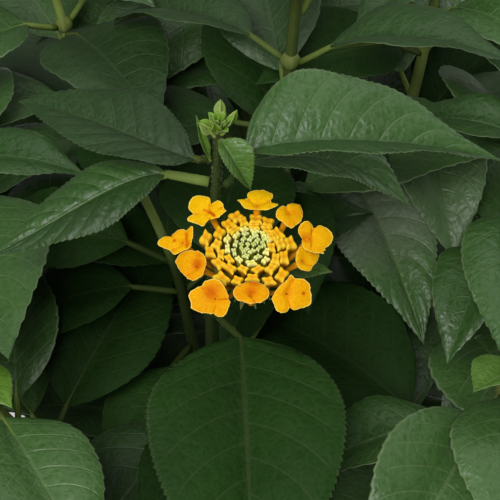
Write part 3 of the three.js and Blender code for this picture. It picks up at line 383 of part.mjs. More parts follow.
// leaves that stay one piece with their shoot
const SHOOT_LEAVES = [
  { node: 'shoot_front_right', p: [[31.42, -29.55, 172.39], [39.23, -24.25, 175.75], [55.36, -13.31, 177.56], [71.18, -2.57, 170.4], [82.36, 5.01, 156.25]], w: 15.87, fold: 20.7, n: [0.058, -0.085, 0.995], fused: 1 },
  { node: 'shoot_front_right', p: [[30.16, -30.59, 172.59], [25.04, -35.69, 178.16], [11.92, -48.77, 186.14], [-3.52, -64.17, 182.89], [-14.43, -75.04, 169.86]], w: 16.76, fold: 22.6, n: [-0.115, 0.115, 0.987], fused: 1 },
  { node: 'shoot_front_right', p: [[55.67, -50.14, 227.24], [61.29, -48.56, 233.77], [72.79, -45.34, 241.8], [87.42, -41.23, 243.37], [100.26, -37.63, 237.93]], w: 12.26, fold: 22.8, n: [0.025, -0.088, 0.996], fused: 1 },
  { node: 'shoot_front_right', p: [[54.44, -50.5, 227.5], [48.5, -52.3, 231.17], [34.58, -56.54, 235.43], [19.57, -61.11, 232.45], [8.11, -64.6, 223.15]], w: 12.84, fold: 13.1, n: [-0.077, 0.254, 0.964], fused: 1 },
  { node: 'shoot_front_right', p: [[62.85, -56.86, 255.81], [66.67, -58.91, 259.66], [75.33, -63.55, 264.71], [85.68, -69.09, 264.51], [94.17, -73.64, 259.1]], w: 9.31, fold: 19.3, n: [0.123, 0.23, 0.965], fused: 1 },
  { node: 'shoot_front_right', p: [[63.73, -57.05, 259.75], [64.85, -55.73, 262.78], [68.24, -51.74, 268.2], [72.48, -46.74, 271.76], [77.28, -41.1, 273.2]], w: 6.32, fold: 20.3, n: [-0.2, 0.17, 0.965], fused: 1 },
  { node: 'shoot_front_right', p: [[63.03, -57.89, 259.75], [61.51, -59.72, 262.08], [57.06, -65.07, 266.1], [52.73, -70.28, 269.46], [47.99, -75.98, 272.55]], w: 7.46, fold: 17.5, n: [-0.158, 0.131, 0.979], fused: 1 },
  { node: 'shoot_front_left', p: [[-32.54, -26.78, 172.1], [-29.02, -35.03, 177.68], [-22.05, -51.38, 183.32], [-14.66, -68.7, 182.03], [-8.06, -84.2, 174.04]], w: 15.62, fold: 13.5, n: [-0.11, -0.047, 0.993], fused: 1 },
  { node: 'shoot_front_left', p: [[-33.42, -25.44, 172.3], [-40.49, -17.69, 174.87], [-52.4, -4.63, 174.71], [-63.37, 7.39, 163.83], [-68.02, 12.49, 147.57]], w: 14.74, fold: 23.4, n: [-0.146, -0.133, 0.98], fused: 1 },
  { node: 'shoot_front_left', p: [[-57.24, -49.31, 224.58], [-56.78, -56.12, 228.47], [-55.7, -72.29, 232.9], [-54.58, -89.06, 231.47], [-53.57, -104.25, 224.36]], w: 14.28, fold: 9.2, n: [-0.015, -0.001, 1], fused: 1 },
  { node: 'shoot_front_left', p: [[-57.34, -48.04, 224.9], [-57.76, -42.91, 229.69], [-58.85, -29.92, 236.79], [-60.03, -15.72, 239.9], [-61.26, -0.97, 238.88]], w: 13.55, fold: 14.3, n: [-0.29, -0.024, 0.957], fused: 1 },
  { node: 'shoot_front_left', p: [[-65.48, -55.97, 252.04], [-67.4, -60.13, 254.78], [-71.92, -69.95, 257.98], [-76.61, -80.1, 257.65], [-81.05, -89.73, 253.81]], w: 10.32, fold: 17.9, n: [0.068, -0.032, 0.997], fused: 1 },
  { node: 'shoot_front_left', p: [[-64.96, -55.06, 252.42], [-63.72, -53.22, 256.02], [-59.74, -47.29, 262.92], [-54.6, -39.65, 266.85], [-49.07, -31.42, 267.25]], w: 9.33, fold: 21.5, n: [-0.152, 0.102, 0.983], fused: 1 },
  { node: 'shoot_front_left', p: [[-65.99, -56.85, 255.83], [-64.51, -58.72, 258.47], [-60.75, -63.45, 262.46], [-56.57, -68.71, 264.67], [-52.07, -74.37, 265.04]], w: 6.28, fold: 9.9, n: [0.115, 0.091, 0.989], fused: 1 },
  { node: 'shoot_front_left', p: [[-66.64, -55.97, 255.86], [-67.85, -54.2, 258.61], [-71, -49.58, 262.92], [-74.54, -44.4, 265.68], [-78.46, -38.67, 266.88]], w: 6.57, fold: 16.7, n: [-0.056, -0.039, 0.998], fused: 1 },
  { node: 'shoot_right', p: [[39.91, 4.23, 178.03], [42.76, 15.25, 180.93], [47.04, 31.76, 180.91], [51.06, 47.31, 174.46], [54.16, 59.25, 162.68]], w: 14.09, fold: 16.1, n: [-0.279, 0.072, 0.958], fused: 1 },
  { node: 'shoot_right', p: [[40, 2.65, 178.03], [42.18, -4.14, 183.45], [47.23, -19.93, 190.47], [53.19, -38.54, 187.18], [57.26, -51.28, 175.12]], w: 14.82, fold: 15.7, n: [0.177, 0.057, 0.983], fused: 1 },
  { node: 'shoot_right', p: [[66.22, 4.06, 237.06], [71.27, 9.42, 240.61], [82.32, 21.14, 243.87], [93.33, 32.82, 242.68], [103.92, 44.07, 237.07]], w: 14.99, fold: 14.8, n: [-0.012, 0.011, 1], fused: 1 },
  { node: 'shoot_right', p: [[65.53, 2.99, 237.22], [63.02, -3.13, 242.18], [58.21, -14.87, 247.45], [52.63, -28.47, 245.44], [48.53, -38.47, 236.97]], w: 11.47, fold: 21.5, n: [-0.212, 0.087, 0.974], fused: 1 },
  { node: 'shoot_right', p: [[74.68, 2.18, 269.12], [78.07, 1.67, 272.74], [87.25, 0.3, 278.59], [98.92, -1.45, 279.07], [108.54, -2.9, 273.99]], w: 9, fold: 19.3, n: [0.012, 0.083, 0.996], fused: 1 },
  { node: 'shoot_right', p: [[73.64, 2.44, 269.41], [69.46, 3.92, 272.62], [58.63, 7.75, 277.19], [46.2, 12.15, 275.25], [37.06, 15.39, 267.58]], w: 11.29, fold: 13.7, n: [0.073, 0.205, 0.976], fused: 1 },
  { node: 'shoot_right', p: [[75.32, 2.64, 273.49], [75.4, 4.3, 275.5], [75.65, 9.81, 279.53], [75.95, 16.13, 281.79], [76.27, 22.94, 282.18]], w: 5.79, fold: 11.6, n: [-0.264, 0.012, 0.964], fused: 1 },
  { node: 'shoot_right', p: [[75.15, 1.56, 273.5], [74.61, -0.45, 275.59], [72.96, -6.65, 279.42], [71.18, -13.31, 281.61], [69.25, -20.5, 282.2]], w: 6.55, fold: 21.4, n: [0.268, -0.072, 0.961], fused: 1 },
  { node: 'shoot_left', p: [[-40.56, 3.86, 175.08], [-43.08, -3.83, 179.22], [-47.32, -16.75, 182.3], [-51.67, -30.01, 180.1], [-55.4, -41.4, 173]], w: 12.94, fold: 20.7, n: [0.193, -0.063, 0.979], fused: 1 },
  { node: 'shoot_left', p: [[-40.31, 5.4, 175.18], [-41.68, 16.29, 179.59], [-43.8, 33.12, 181.84], [-45.93, 50.06, 173.87], [-47.08, 59.15, 159.42]], w: 13.7, fold: 12.7, n: [0.291, 0.037, 0.956], fused: 1 },
  { node: 'shoot_left', p: [[-68.35, 3.99, 234.48], [-73.57, 0.24, 239.49], [-83.54, -6.91, 244.85], [-94.68, -14.91, 244.91], [-104.69, -22.08, 239.66]], w: 11.83, fold: 18, n: [0.155, -0.216, 0.964], fused: 1 },
  { node: 'shoot_left', p: [[-67.4, 4.82, 234.81], [-63.12, 9.37, 236.93], [-53.29, 19.84, 238.04], [-43.76, 29.98, 234.09], [-35.79, 38.46, 225.6]], w: 13.5, fold: 13.9, n: [-0.196, 0.184, 0.963], fused: 1 },
  { node: 'shoot_left', p: [[-76.69, 2.49, 265.37], [-80.48, 3.25, 268.31], [-91.32, 5.43, 272.99], [-103.46, 7.87, 272.71], [-114.09, 10.01, 267.53]], w: 10.17, fold: 12.4, n: [0.025, 0.125, 0.992], fused: 1 },
  { node: 'shoot_left', p: [[-75.62, 2.3, 265.65], [-71.66, 1.64, 268.67], [-61.64, -0.02, 272.89], [-50.48, -1.86, 272.63], [-40.66, -3.49, 267.94]], w: 10.2, fold: 11.9, n: [0.018, 0.108, 0.994], fused: 1 },
  { node: 'shoot_left', p: [[-77.17, 1.61, 269.57], [-76.68, -0.52, 272.27], [-75.31, -6.43, 276.79], [-73.69, -13.48, 279], [-71.99, -20.84, 278.67]], w: 6.23, fold: 19.2, n: [0.203, 0.047, 0.978], fused: 1 },
  { node: 'shoot_left', p: [[-77.45, 2.66, 269.55], [-78.16, 4.98, 271.78], [-80.03, 11.15, 275.24], [-81.86, 17.15, 278.12], [-83.85, 23.68, 280.76]], w: 7.05, fold: 10.9, n: [-0.05, -0.015, 0.999], fused: 1 },
  { node: 'shoot_back_right', p: [[28.66, 32.67, 179.63], [22.73, 39.39, 182.47], [11.22, 52.43, 183.47], [0.12, 64.99, 177.32], [-8.23, 74.45, 165.33]], w: 14.47, fold: 8.9, n: [-0.096, -0.085, 0.992], fused: 1 },
  { node: 'shoot_back_right', p: [[29.93, 31.66, 179.61], [39.53, 26.69, 186.7], [56.02, 18.14, 193.08], [74.75, 8.44, 187.62], [86.43, 2.39, 173.04]], w: 15.58, fold: 10.3, n: [0.114, 0.22, 0.969], fused: 1 },
  { node: 'shoot_back_right', p: [[45.39, 53.46, 244.41], [42.66, 60.39, 247.59], [37.13, 74.4, 249.91], [31.59, 88.45, 246.15], [27.11, 99.8, 237.03]], w: 13.19, fold: 15.6, n: [0.11, 0.043, 0.993], fused: 1 },
  { node: 'shoot_back_right', p: [[45.73, 52.23, 244.64], [47.03, 44.21, 247.48], [49.61, 28.32, 248.87], [52.14, 12.78, 243.06], [53.95, 1.59, 231.53]], w: 14.31, fold: 20.8, n: [0.006, 0.001, 1], fused: 1 },
  { node: 'shoot_back_right', p: [[51.31, 60.64, 278.66], [54.24, 62.38, 282.31], [62.44, 67.26, 288.45], [72.47, 73.22, 289.98], [81.76, 78.74, 286.53]], w: 9.91, fold: 22.4, n: [-0.131, 0.22, 0.967], fused: 1 },
  { node: 'shoot_back_right', p: [[50.47, 59.98, 278.94], [48.34, 57.77, 281.69], [41.63, 50.8, 286.75], [33.46, 42.34, 286.24], [27.08, 35.71, 280.36]], w: 8.86, fold: 21.1, n: [-0.022, 0.021, 1], fused: 1 },
  { node: 'shoot_back_right', p: [[51.05, 61.59, 283.33], [49.57, 62.21, 285.19], [43.93, 64.57, 289.43], [38.04, 67.04, 292.51], [31.48, 69.79, 294.65]], w: 6.68, fold: 8.2, n: [-0.034, -0.081, 0.996], fused: 1 },
  { node: 'shoot_back_right', p: [[52.03, 61.1, 283.29], [53.45, 60.25, 285.05], [59.08, 56.88, 289.22], [64.79, 53.48, 292.41], [71.1, 49.7, 294.91]], w: 7.29, fold: 20.2, n: [-0.134, -0.224, 0.965], fused: 1 },
  { node: 'shoot_back_left', p: [[-28.06, 32.96, 182.07], [-36.9, 28.45, 188.32], [-52.28, 20.6, 193.9], [-69.29, 11.92, 189.87], [-81.35, 5.77, 177.78]], w: 15.73, fold: 9.9, n: [0.109, -0.214, 0.971], fused: 1 },
  { node: 'shoot_back_left', p: [[-26.94, 34.03, 182.02], [-21.63, 41.64, 186.38], [-12.66, 54.51, 189.38], [-3.44, 67.74, 184.83], [3.31, 77.42, 174.07]], w: 13.79, fold: 10.9, n: [-0.023, 0.016, 1], fused: 1 },
  { node: 'shoot_back_left', p: [[-47.08, 54.7, 243.2], [-54.7, 52.26, 246.62], [-68.83, 47.74, 248.91], [-82.88, 43.23, 246.01], [-95.12, 39.31, 238.27]], w: 12.87, fold: 11.3, n: [-0.013, 0.04, 0.999], fused: 1 },
  { node: 'shoot_back_left', p: [[-45.83, 54.89, 243.45], [-40.06, 54.73, 247.72], [-24.84, 54.32, 253.91], [-9.11, 53.89, 256.33], [7.25, 53.44, 254.99]], w: 14.02, fold: 12.6, n: [0.001, 0.027, 1], fused: 1 },
  { node: 'shoot_back_left', p: [[-53.92, 62.67, 275.11], [-56.81, 64.66, 279.55], [-63.77, 69.44, 285.99], [-73.2, 75.92, 287.29], [-81.17, 81.39, 282.89]], w: 9.4, fold: 9.2, n: [-0.155, -0.226, 0.962], fused: 1 },
  { node: 'shoot_back_left', p: [[-53.06, 62.04, 275.45], [-50.66, 60.13, 280.05], [-43.51, 54.48, 288.26], [-33.3, 46.39, 290.89], [-24.22, 39.2, 286.85]], w: 10.26, fold: 15.7, n: [-0.147, -0.186, 0.971], fused: 1 },
  { node: 'shoot_back_left', p: [[-54.86, 63.04, 279.46], [-56.88, 61.51, 281.82], [-62.29, 57.39, 285.53], [-67.56, 53.39, 288.63], [-73.28, 49.03, 291.5]], w: 6.74, fold: 9.1, n: [0.022, -0.029, 0.999], fused: 1 },
  { node: 'shoot_back_left', p: [[-54.09, 63.81, 279.45], [-52.72, 65.61, 281.93], [-49.18, 70.27, 285.79], [-45.17, 75.54, 287.77], [-40.93, 81.12, 287.76]], w: 6.7, fold: 9.8, n: [-0.107, 0.082, 0.991], fused: 1 },
  { node: 'shoot_back', p: [[-0.01, 38.13, 181.01], [-9.03, 42.45, 188.72], [-21.46, 48.39, 194.65], [-36.21, 55.44, 191.8], [-46.1, 60.17, 181.57]], w: 13.68, fold: 20.4, n: [0.089, 0.186, 0.979], fused: 1 },
  { node: 'shoot_back', p: [[1.26, 37.32, 181.53], [6.45, 31.74, 186.41], [17.14, 20.26, 191.6], [28.27, 8.3, 191.82], [39.05, -3.28, 187.05]], w: 14.33, fold: 17, n: [0.068, 0.064, 0.996], fused: 1 },
  { node: 'shoot_back', p: [[-1.89, 67.03, 236.29], [-7.27, 70.5, 239.2], [-21.07, 79.39, 242.12], [-35.18, 88.48, 237.05], [-45.3, 95, 225.52]], w: 15.52, fold: 23.9, n: [-0.156, -0.243, 0.957], fused: 1 },
  { node: 'shoot_back', p: [[-0.89, 66.3, 236.63], [3.25, 62.97, 242.34], [13.65, 54.59, 250.93], [26.81, 43.99, 252.11], [38.03, 34.95, 245.45]], w: 14.04, fold: 20.8, n: [-0.119, -0.148, 0.982], fused: 1 },
  { node: 'shoot_back', p: [[-1.72, 78.13, 262.29], [-0.07, 82.68, 265.47], [3.71, 93.08, 269.28], [7.62, 103.85, 269.91], [11.52, 114.58, 267.32]], w: 10.56, fold: 9.2, n: [0.209, -0.076, 0.975], fused: 1 },
  { node: 'shoot_back', p: [[-1.73, 77.15, 262.71], [-0.56, 73.81, 264.88], [2.61, 64.77, 267.84], [6.02, 55.06, 266.42], [8.81, 47.12, 260.98]], w: 9.17, fold: 12.8, n: [0.065, 0.023, 0.998], fused: 1 },
  { node: 'shoot_back', p: [[-2.5, 79.05, 265.95], [-4.23, 78.87, 267.86], [-9.92, 78.28, 271.61], [-16, 77.65, 274.04], [-22.7, 76.95, 275.24]], w: 5.99, fold: 13.3, n: [0.02, -0.191, 0.981], fused: 1 },
  { node: 'shoot_centre', p: [[3.33, 10.77, 205.05], [-5.1, 13.56, 210.25], [-21.59, 19.01, 215.24], [-39.79, 25.04, 208.95], [-50.27, 28.5, 194.65]], w: 15.2, fold: 13.6, n: [-0.084, -0.255, 0.963], fused: 1 },
  { node: 'shoot_centre', p: [[4.93, 10.2, 205.02], [13.77, 6.77, 208.14], [30.55, 0.27, 209.38], [46.83, -6.03, 201.59], [57.18, -10.05, 187.38]], w: 15.71, fold: 8.3, n: [-0.032, -0.083, 0.996], fused: 1 },
  { node: 'shoot_centre', p: [[9.22, 20.85, 270.15], [8.04, 27.52, 275.85], [5.6, 41.23, 282.57], [3.03, 55.73, 285.6], [0.32, 70.94, 284.93]], w: 14.84, fold: 18.6, n: [-0.239, -0.042, 0.97], fused: 1 },
  { node: 'shoot_centre', p: [[9.93, 19.9, 270.19], [15.02, 15.9, 272.91], [22.23, 10.24, 274.27], [29.42, 4.6, 272.13], [35.41, -0.09, 266.83]], w: 7.63, fold: 19.9, n: [0.138, 0.176, 0.975], fused: 1 },
  { node: 'shoot_centre', p: [[11.61, 23.86, 308.01], [11.98, 26.28, 311.36], [13.42, 35.66, 319.16], [15.13, 46.87, 323.61], [16.99, 58.99, 324.33]], w: 11.28, fold: 20.1, n: [0.2, -0.031, 0.979], fused: 1 },
  { node: 'shoot_centre', p: [[11.25, 22.82, 308.11], [9.65, 20.12, 312.35], [5.33, 12.8, 319.26], [0.45, 4.55, 323.84], [-5, -4.68, 326.11]], w: 9.87, fold: 22.7, n: [-0.013, 0.008, 1], fused: 1 },
  { node: 'shoot_centre', p: [[11.28, 23.79, 313.05], [9.34, 24.02, 315.17], [2.72, 24.8, 319.5], [-4.37, 25.62, 322.26], [-12.15, 26.53, 323.54]], w: 7.02, fold: 13, n: [0.026, 0.221, 0.975], fused: 1 },
  { node: 'shoot_centre', p: [[12.31, 23.48, 313.02], [13.93, 22.64, 315.3], [18.65, 20.2, 319.31], [24.1, 17.37, 321.57], [30, 14.32, 321.97]], w: 5.82, fold: 23.3, n: [-0.124, -0.24, 0.963], fused: 1 },
  { node: 'shoot_low_front', p: [[4.15, -45.12, 142.74], [15.34, -46.21, 149.5], [31.84, -47.81, 154.47], [49.12, -49.49, 153.32], [64.83, -51.02, 146.22]], w: 16.43, fold: 18.4, n: [0.002, 0.023, 1], fused: 1 },
  { node: 'shoot_low_front', p: [[2.66, -45.01, 142.97], [-7.03, -44.42, 148.42], [-24.08, -43.38, 152.98], [-42.24, -42.28, 149.12], [-55.97, -41.44, 138]], w: 14.46, fold: 8.3, n: [0.002, 0.029, 1], fused: 1 },
  { node: 'shoot_low_front', p: [[4.07, -77.86, 175.96], [8.63, -80.79, 180.32], [20.57, -88.47, 186.79], [34.46, -97.4, 185.8], [45.66, -104.6, 177.66]], w: 14.21, fold: 14.5, n: [-0.014, -0.022, 1], fused: 1 },
  { node: 'shoot_low_front', p: [[3.09, -77.26, 176.3], [-1.36, -74.87, 181.02], [-11.58, -69.39, 187.37], [-23.45, -63.01, 188.69], [-34.55, -57.05, 184.68]], w: 12.23, fold: 14.8, n: [-0.082, -0.152, 0.985], fused: 1 },
  { node: 'shoot_low_front', p: [[2.5, -89.82, 195.66], [4.09, -92.35, 198.52], [9.02, -100.2, 203.76], [14.92, -109.58, 204.47], [20.16, -117.94, 200.47]], w: 9.9, fold: 12.3, n: [0.222, 0.139, 0.965], fused: 1 },
  { node: 'shoot_low_front', p: [[2.12, -89, 196.14], [1.05, -85.69, 200.87], [-1.47, -77.94, 207.56], [-4.91, -67.31, 209.46], [-7.97, -57.9, 205.84]], w: 9.43, fold: 17.1, n: [-0.115, -0.037, 0.993], fused: 1 },
  { node: 'shoot_low_front', p: [[2.59, -90.99, 198.51], [4.74, -90.88, 201.38], [10.76, -90.55, 206.24], [17.9, -90.16, 208.99], [25.62, -89.74, 209.43]], w: 6.54, fold: 19.3, n: [0.011, -0.206, 0.979], fused: 1 },
  { node: 'shoot_low_front', p: [[1.59, -91.01, 198.44], [-0.59, -90.96, 200.75], [-6.43, -90.83, 204.45], [-12.28, -90.69, 207.39], [-18.74, -90.55, 209.87]], w: 6.21, fold: 15.8, n: [-0.006, -0.249, 0.969], fused: 1 },
  { node: 'main_shoot', p: [[-8.33, -32.06, 214.62], [-2.02, -24.2, 216.56], [5.74, -14.55, 215.82], [12.8, -5.75, 209.41], [17.17, -0.31, 199.16]], w: 10.3, fold: 17, n: [-0.122, 0.098, 0.988], fused: 1 },
  { node: 'main_shoot', p: [[-9.11, -33.39, 214.39], [-15.73, -42.88, 218.9], [-26.4, -58.16, 221.18], [-36.94, -73.26, 216.23], [-45.51, -85.54, 204.91]], w: 17.46, fold: 9, n: [-0.144, 0.101, 0.984], fused: 1 },
  { node: 'main_shoot', p: [[-6.48, -26.51, 186.84], [3.36, -22.54, 188.63], [17.14, -16.98, 187.4], [29.76, -11.88, 181.53], [40.05, -7.73, 171.58]], w: 13.68, fold: 21.4, n: [0.095, -0.236, 0.967], fused: 1 },
  { node: 'main_shoot', p: [[-8.11, -26.66, 186.69], [-17.79, -25.26, 193.8], [-34.69, -22.81, 200.58], [-53.08, -20.15, 200.69], [-70.05, -17.7, 194.08]], w: 15.48, fold: 23.4, n: [0.002, 0.012, 1], fused: 1 },
  { node: 'shoot_inner_left', p: [[-17.08, -11.41, 234.67], [-8.2, -6.64, 240.23], [5.77, 0.85, 244.34], [20.18, 8.58, 242.76], [33.19, 15.56, 235.67]], w: 14.73, fold: 22.8, n: [0.038, -0.071, 0.997], fused: 1 },
  { node: 'shoot_inner_left', p: [[-18.18, -11.75, 234.5], [-30.42, -12.89, 237.76], [-45.49, -14.29, 237.89], [-59.68, -15.62, 230.53], [-68.29, -16.42, 218.11]], w: 13.09, fold: 8.8, n: [0.001, -0.008, 1], fused: 1 },
  { node: 'shoot_inner_left', p: [[-22.41, -15.04, 261.15], [-26.7, -6.63, 266.53], [-32.05, 3.85, 269.75], [-37.75, 15.03, 267.26], [-42.13, 23.61, 259.78]], w: 10.73, fold: 9.1, n: [-0.172, -0.088, 0.981], fused: 1 },
  { node: 'shoot_centre', p: [[5.69, 13.82, 219.21], [9.43, 23.38, 223.04], [16.25, 40.83, 225.06], [23.01, 58.13, 215.77], [26.51, 67.09, 199.57]], w: 15.01, fold: 21.7, n: [-0.002, 0.001, 1], fused: 1 },
  { node: 'shoot_centre', p: [[4.04, 8.69, 192.74], [13.58, 11.34, 197.96], [30.26, 15.99, 202.11], [47.46, 20.79, 199.52], [62.32, 24.93, 190.63]], w: 15.63, fold: 8.5, n: [-0.027, 0.095, 0.995], fused: 1 },
  { node: 'shoot_centre', p: [[2.31, 8.54, 192.89], [-5.29, 9.55, 198.48], [-22.59, 11.85, 205.46], [-42.37, 14.49, 202.84], [-57.3, 16.47, 191.6]], w: 15.99, fold: 8.6, n: [0.029, 0.217, 0.976], fused: 1 },
  { node: 'shoot_back', p: [[1.62, 28.2, 163.85], [9.9, 34.5, 170.3], [20.83, 42.82, 174.63], [32.62, 51.8, 172.58], [42.21, 59.09, 164.69]], w: 11.69, fold: 13.1, n: [-0.085, 0.112, 0.99], fused: 1 },
  { node: 'shoot_back', p: [[0.34, 27.24, 164.44], [-11.14, 22.01, 166.59], [-21.28, 17.39, 165.69], [-30.5, 13.19, 160.51], [-37.11, 10.17, 152.02]], w: 9.22, fold: 23.7, n: [0.009, -0.021, 1], fused: 1 },
  { node: 'shoot_right', p: [[28.53, 3.47, 158.64], [33.48, 11.45, 164.94], [41.45, 24.3, 170.29], [50.49, 38.89, 166.48], [56.51, 48.6, 155.23]], w: 13.24, fold: 15.2, n: [-0.222, 0.137, 0.965], fused: 1 },
  { node: 'shoot_right', p: [[27.73, 1.99, 159.26], [23.17, -7.01, 165.47], [17.05, -19.1, 169.69], [10.78, -31.48, 170.12], [4.56, -43.77, 166.73]], w: 13.31, fold: 17.6, n: [0.005, -0.003, 1], fused: 1 },
  { node: 'shoot_left', p: [[-28.63, 3, 155.9], [-33.33, -2.44, 161.12], [-42.98, -13.59, 166.96], [-53.6, -25.87, 166.5], [-63.01, -36.75, 159.83]], w: 14.56, fold: 22.7, n: [-0.097, 0.084, 0.992], fused: 1 },
  { node: 'shoot_front_right', p: [[21.72, -20.86, 153.88], [32.62, -18.45, 157.02], [49.31, -14.76, 157.43], [65.16, -11.26, 153.02], [79.35, -8.13, 144.01]], w: 14.93, fold: 9.8, n: [-0.027, 0.122, 0.992], fused: 1 },
  { node: 'shoot_front_right', p: [[20.17, -21.52, 154.37], [13.25, -26.35, 158.41], [0.42, -35.31, 161.52], [-12.45, -44.3, 159.71], [-24.37, -52.62, 153.12]], w: 14.5, fold: 11.7, n: [-0.119, 0.17, 0.978], fused: 1 },
  { node: 'shoot_front_left', p: [[-21.91, -17.62, 154.35], [-10.26, -22.15, 157.56], [2.66, -27.19, 157.59], [14.77, -31.9, 150.73], [22.04, -34.74, 139.27]], w: 11.51, fold: 14.2, n: [-0.017, -0.044, 0.999], fused: 1 },
  { node: 'shoot_front_left', p: [[-23.45, -17.41, 153.57], [-32.32, -18.5, 157.8], [-48.27, -20.47, 160.94], [-64.64, -22.49, 156.75], [-77.17, -24.04, 146.33]], w: 13.44, fold: 22.2, n: [-0.006, 0.049, 0.999], fused: 1 },
  { node: 'shoot_back_left', p: [[-18.66, 24.32, 161.04], [-10.83, 32.86, 164.3], [-2.01, 42.47, 164.62], [6.35, 51.59, 161.28], [13.86, 59.78, 154.46]], w: 11.31, fold: 17.5, n: [-0.028, 0.026, 0.999], fused: 1 },
  { node: 'shoot_back_left', p: [[-20.15, 23.56, 160.82], [-31.23, 22.63, 166.75], [-44.19, 21.56, 169.92], [-57.84, 20.42, 166.74], [-68.08, 19.57, 158.18]], w: 10.93, fold: 19, n: [0.003, -0.038, 0.999], fused: 1 },
  { node: 'shoot_back_right', p: [[21.9, 23.15, 157.67], [31.13, 26.67, 159.57], [45.46, 32.14, 158.65], [58.56, 37.14, 151.21], [67.32, 40.48, 139.03]], w: 14.13, fold: 15.2, n: [-0.004, 0.01, 1], fused: 1 },
  { node: 'shoot_back_right', p: [[20.37, 22.8, 158.51], [11.95, 20.79, 163.58], [1.7, 18.36, 166.62], [-9.36, 15.73, 164.22], [-17.55, 13.78, 157.2]], w: 9.52, fold: 20.5, n: [0.061, -0.256, 0.965], fused: 1 },
  { node: 'main_shoot', p: [[-7.5, -35, 309.4], [-8.4, -35.4, 311], [-9.4, -35.8, 312.6], [-10.3, -36.1, 313.9], [-11.2, -36.4, 314.6]], w: 1.8, fold: 34, n: [-0.7, -0.25, 0.6], rp: 0.5, fused: 1 },
  { node: 'main_shoot', p: [[-6.2, -34.4, 309.9], [-5.3, -34.1, 311.6], [-4.4, -33.8, 313.3], [-3.6, -33.6, 314.7], [-2.8, -33.4, 315.6]], w: 1.8, fold: 34, n: [0.75, -0.1, 0.6], rp: 0.5, fused: 1 },
  { node: 'main_shoot', p: [[-7, -35.45, 310.9], [-7.15, -36.2, 312.5], [-7.3, -36.9, 313.9], [-7.45, -37.5, 315.1], [-7.6, -38.1, 316]], w: 1.5, fold: 34, n: [0, -0.85, 0.5], rp: 0.45, fused: 1 },
  { node: 'main_shoot', p: [[-6.7, -33.9, 310.8], [-6.6, -33.1, 312.6], [-6.5, -32.5, 314.4], [-6.4, -32, 316], [-6.3, -31.7, 317.2]], w: 1.6, fold: 34, n: [0, 0.85, 0.5], rp: 0.45, fused: 1 },
  { node: 'shoot_back_right', p: [[40.37, 44.75, 216.43], [48.23, 42.91, 219.99], [62.03, 39.67, 222.34], [75.92, 36.41, 218.96], [87.22, 33.77, 210.5]], w: 13.61, fold: 11.5, n: [-0.062, -0.266, 0.962], fused: 1 },
  { node: 'shoot_front_right', p: [[42.88, -41.04, 196.38], [37.84, -48.43, 204.4], [29.33, -60.92, 212.28], [18.91, -76.2, 211.13], [11.02, -87.79, 201.43]], w: 15.3, fold: 23, n: [-0.064, 0.043, 0.997], fused: 1 },
  { node: 'shoot_back_left', p: [[-39.5, 46.13, 216.27], [-46.76, 40.17, 224.86], [-57.13, 31.67, 232.03], [-69.13, 21.83, 233.34], [-80.28, 12.68, 228.51]], w: 14.05, fold: 10.7, n: [0.071, -0.087, 0.994], fused: 1 },
  { node: 'shoot_left', p: [[-73.43, 2.45, 256], [-70.4, -7.7, 263.41], [-64.83, -26.35, 270.73], [-59.1, -45.55, 273.16], [-53.19, -65.34, 270.69]], w: 17.63, fold: 8.9, n: [-0.079, -0.024, 0.997], fused: 1 },
  { node: 'shoot_back_left', p: [[-41.21, 48.28, 220.77], [-48.49, 49.63, 223.46], [-66.34, 52.92, 225.24], [-83.81, 56.14, 219.98], [-97.82, 58.72, 208.6]], w: 15.35, fold: 22.8, n: [-0.051, -0.276, 0.96], fused: 1 },
  { node: 'shoot_back', p: [[-1.4, 58.77, 218.45], [-10.28, 64.49, 223.18], [-26.24, 74.77, 226.45], [-42.65, 85.33, 218.82], [-52.51, 91.68, 203.54]], w: 16.28, fold: 22.2, n: [0.052, 0.08, 0.995], fused: 1 },
  { node: 'shoot_back_left', p: [[-19.4, 25.16, 162.47], [-13.28, 35.33, 167.42], [-4.86, 49.3, 169.81], [3.32, 62.89, 168.71], [11.48, 76.45, 164.11]], w: 14.48, fold: 10.8, n: [0.1, -0.06, 0.993], fused: 1 },
  { node: 'shoot_front_right', p: [[40.87, -38.14, 192.75], [38.79, -30.1, 202.02], [34.42, -13.25, 213.7], [28.98, 7.69, 216.77], [23.97, 27.02, 210.39]], w: 18.35, fold: 23.8, n: [0.141, 0.037, 0.989], fused: 1 },
  { node: 'shoot_back', p: [[-1.47, 57.43, 216.31], [-9.85, 58.09, 219.34], [-25.94, 59.36, 220.89], [-41.78, 60.6, 214.5], [-52.32, 61.43, 202.19]], w: 13.34, fold: 20.4, n: [0.014, 0.175, 0.984], fused: 1 },
  { node: 'shoot_back_right', p: [[47.27, 55.6, 258.25], [40.2, 51.63, 264.37], [27.77, 44.65, 270.34], [14.57, 37.25, 271.91], [1.34, 29.82, 269]], w: 14.26, fold: 15.7, n: [0.079, -0.141, 0.987], fused: 1 },
  { node: 'shoot_back_left', p: [[-35.59, 41.85, 203.19], [-45.78, 39.02, 205.06], [-63.15, 34.18, 203.71], [-79.05, 29.76, 195.96], [-91.15, 26.39, 182.96]], w: 15.9, fold: 20.3, n: [0.058, -0.21, 0.976], fused: 1 },
  { node: 'shoot_back_right', p: [[49.88, 57.98, 269.91], [54.57, 52.87, 276.17], [64.67, 41.83, 284.05], [77.02, 28.35, 283.18], [86.57, 17.91, 273.91]], w: 14.04, fold: 17.7, n: [0.014, 0.013, 1], fused: 1 },
  { node: 'shoot_centre', p: [[7.77, 16.39, 237.66], [14.87, 16.83, 245.19], [32, 17.88, 256.04], [51.94, 19.11, 260.24], [71.99, 20.34, 257.22]], w: 19.86, fold: 16, n: [-0.006, 0.093, 0.996], fused: 1 },
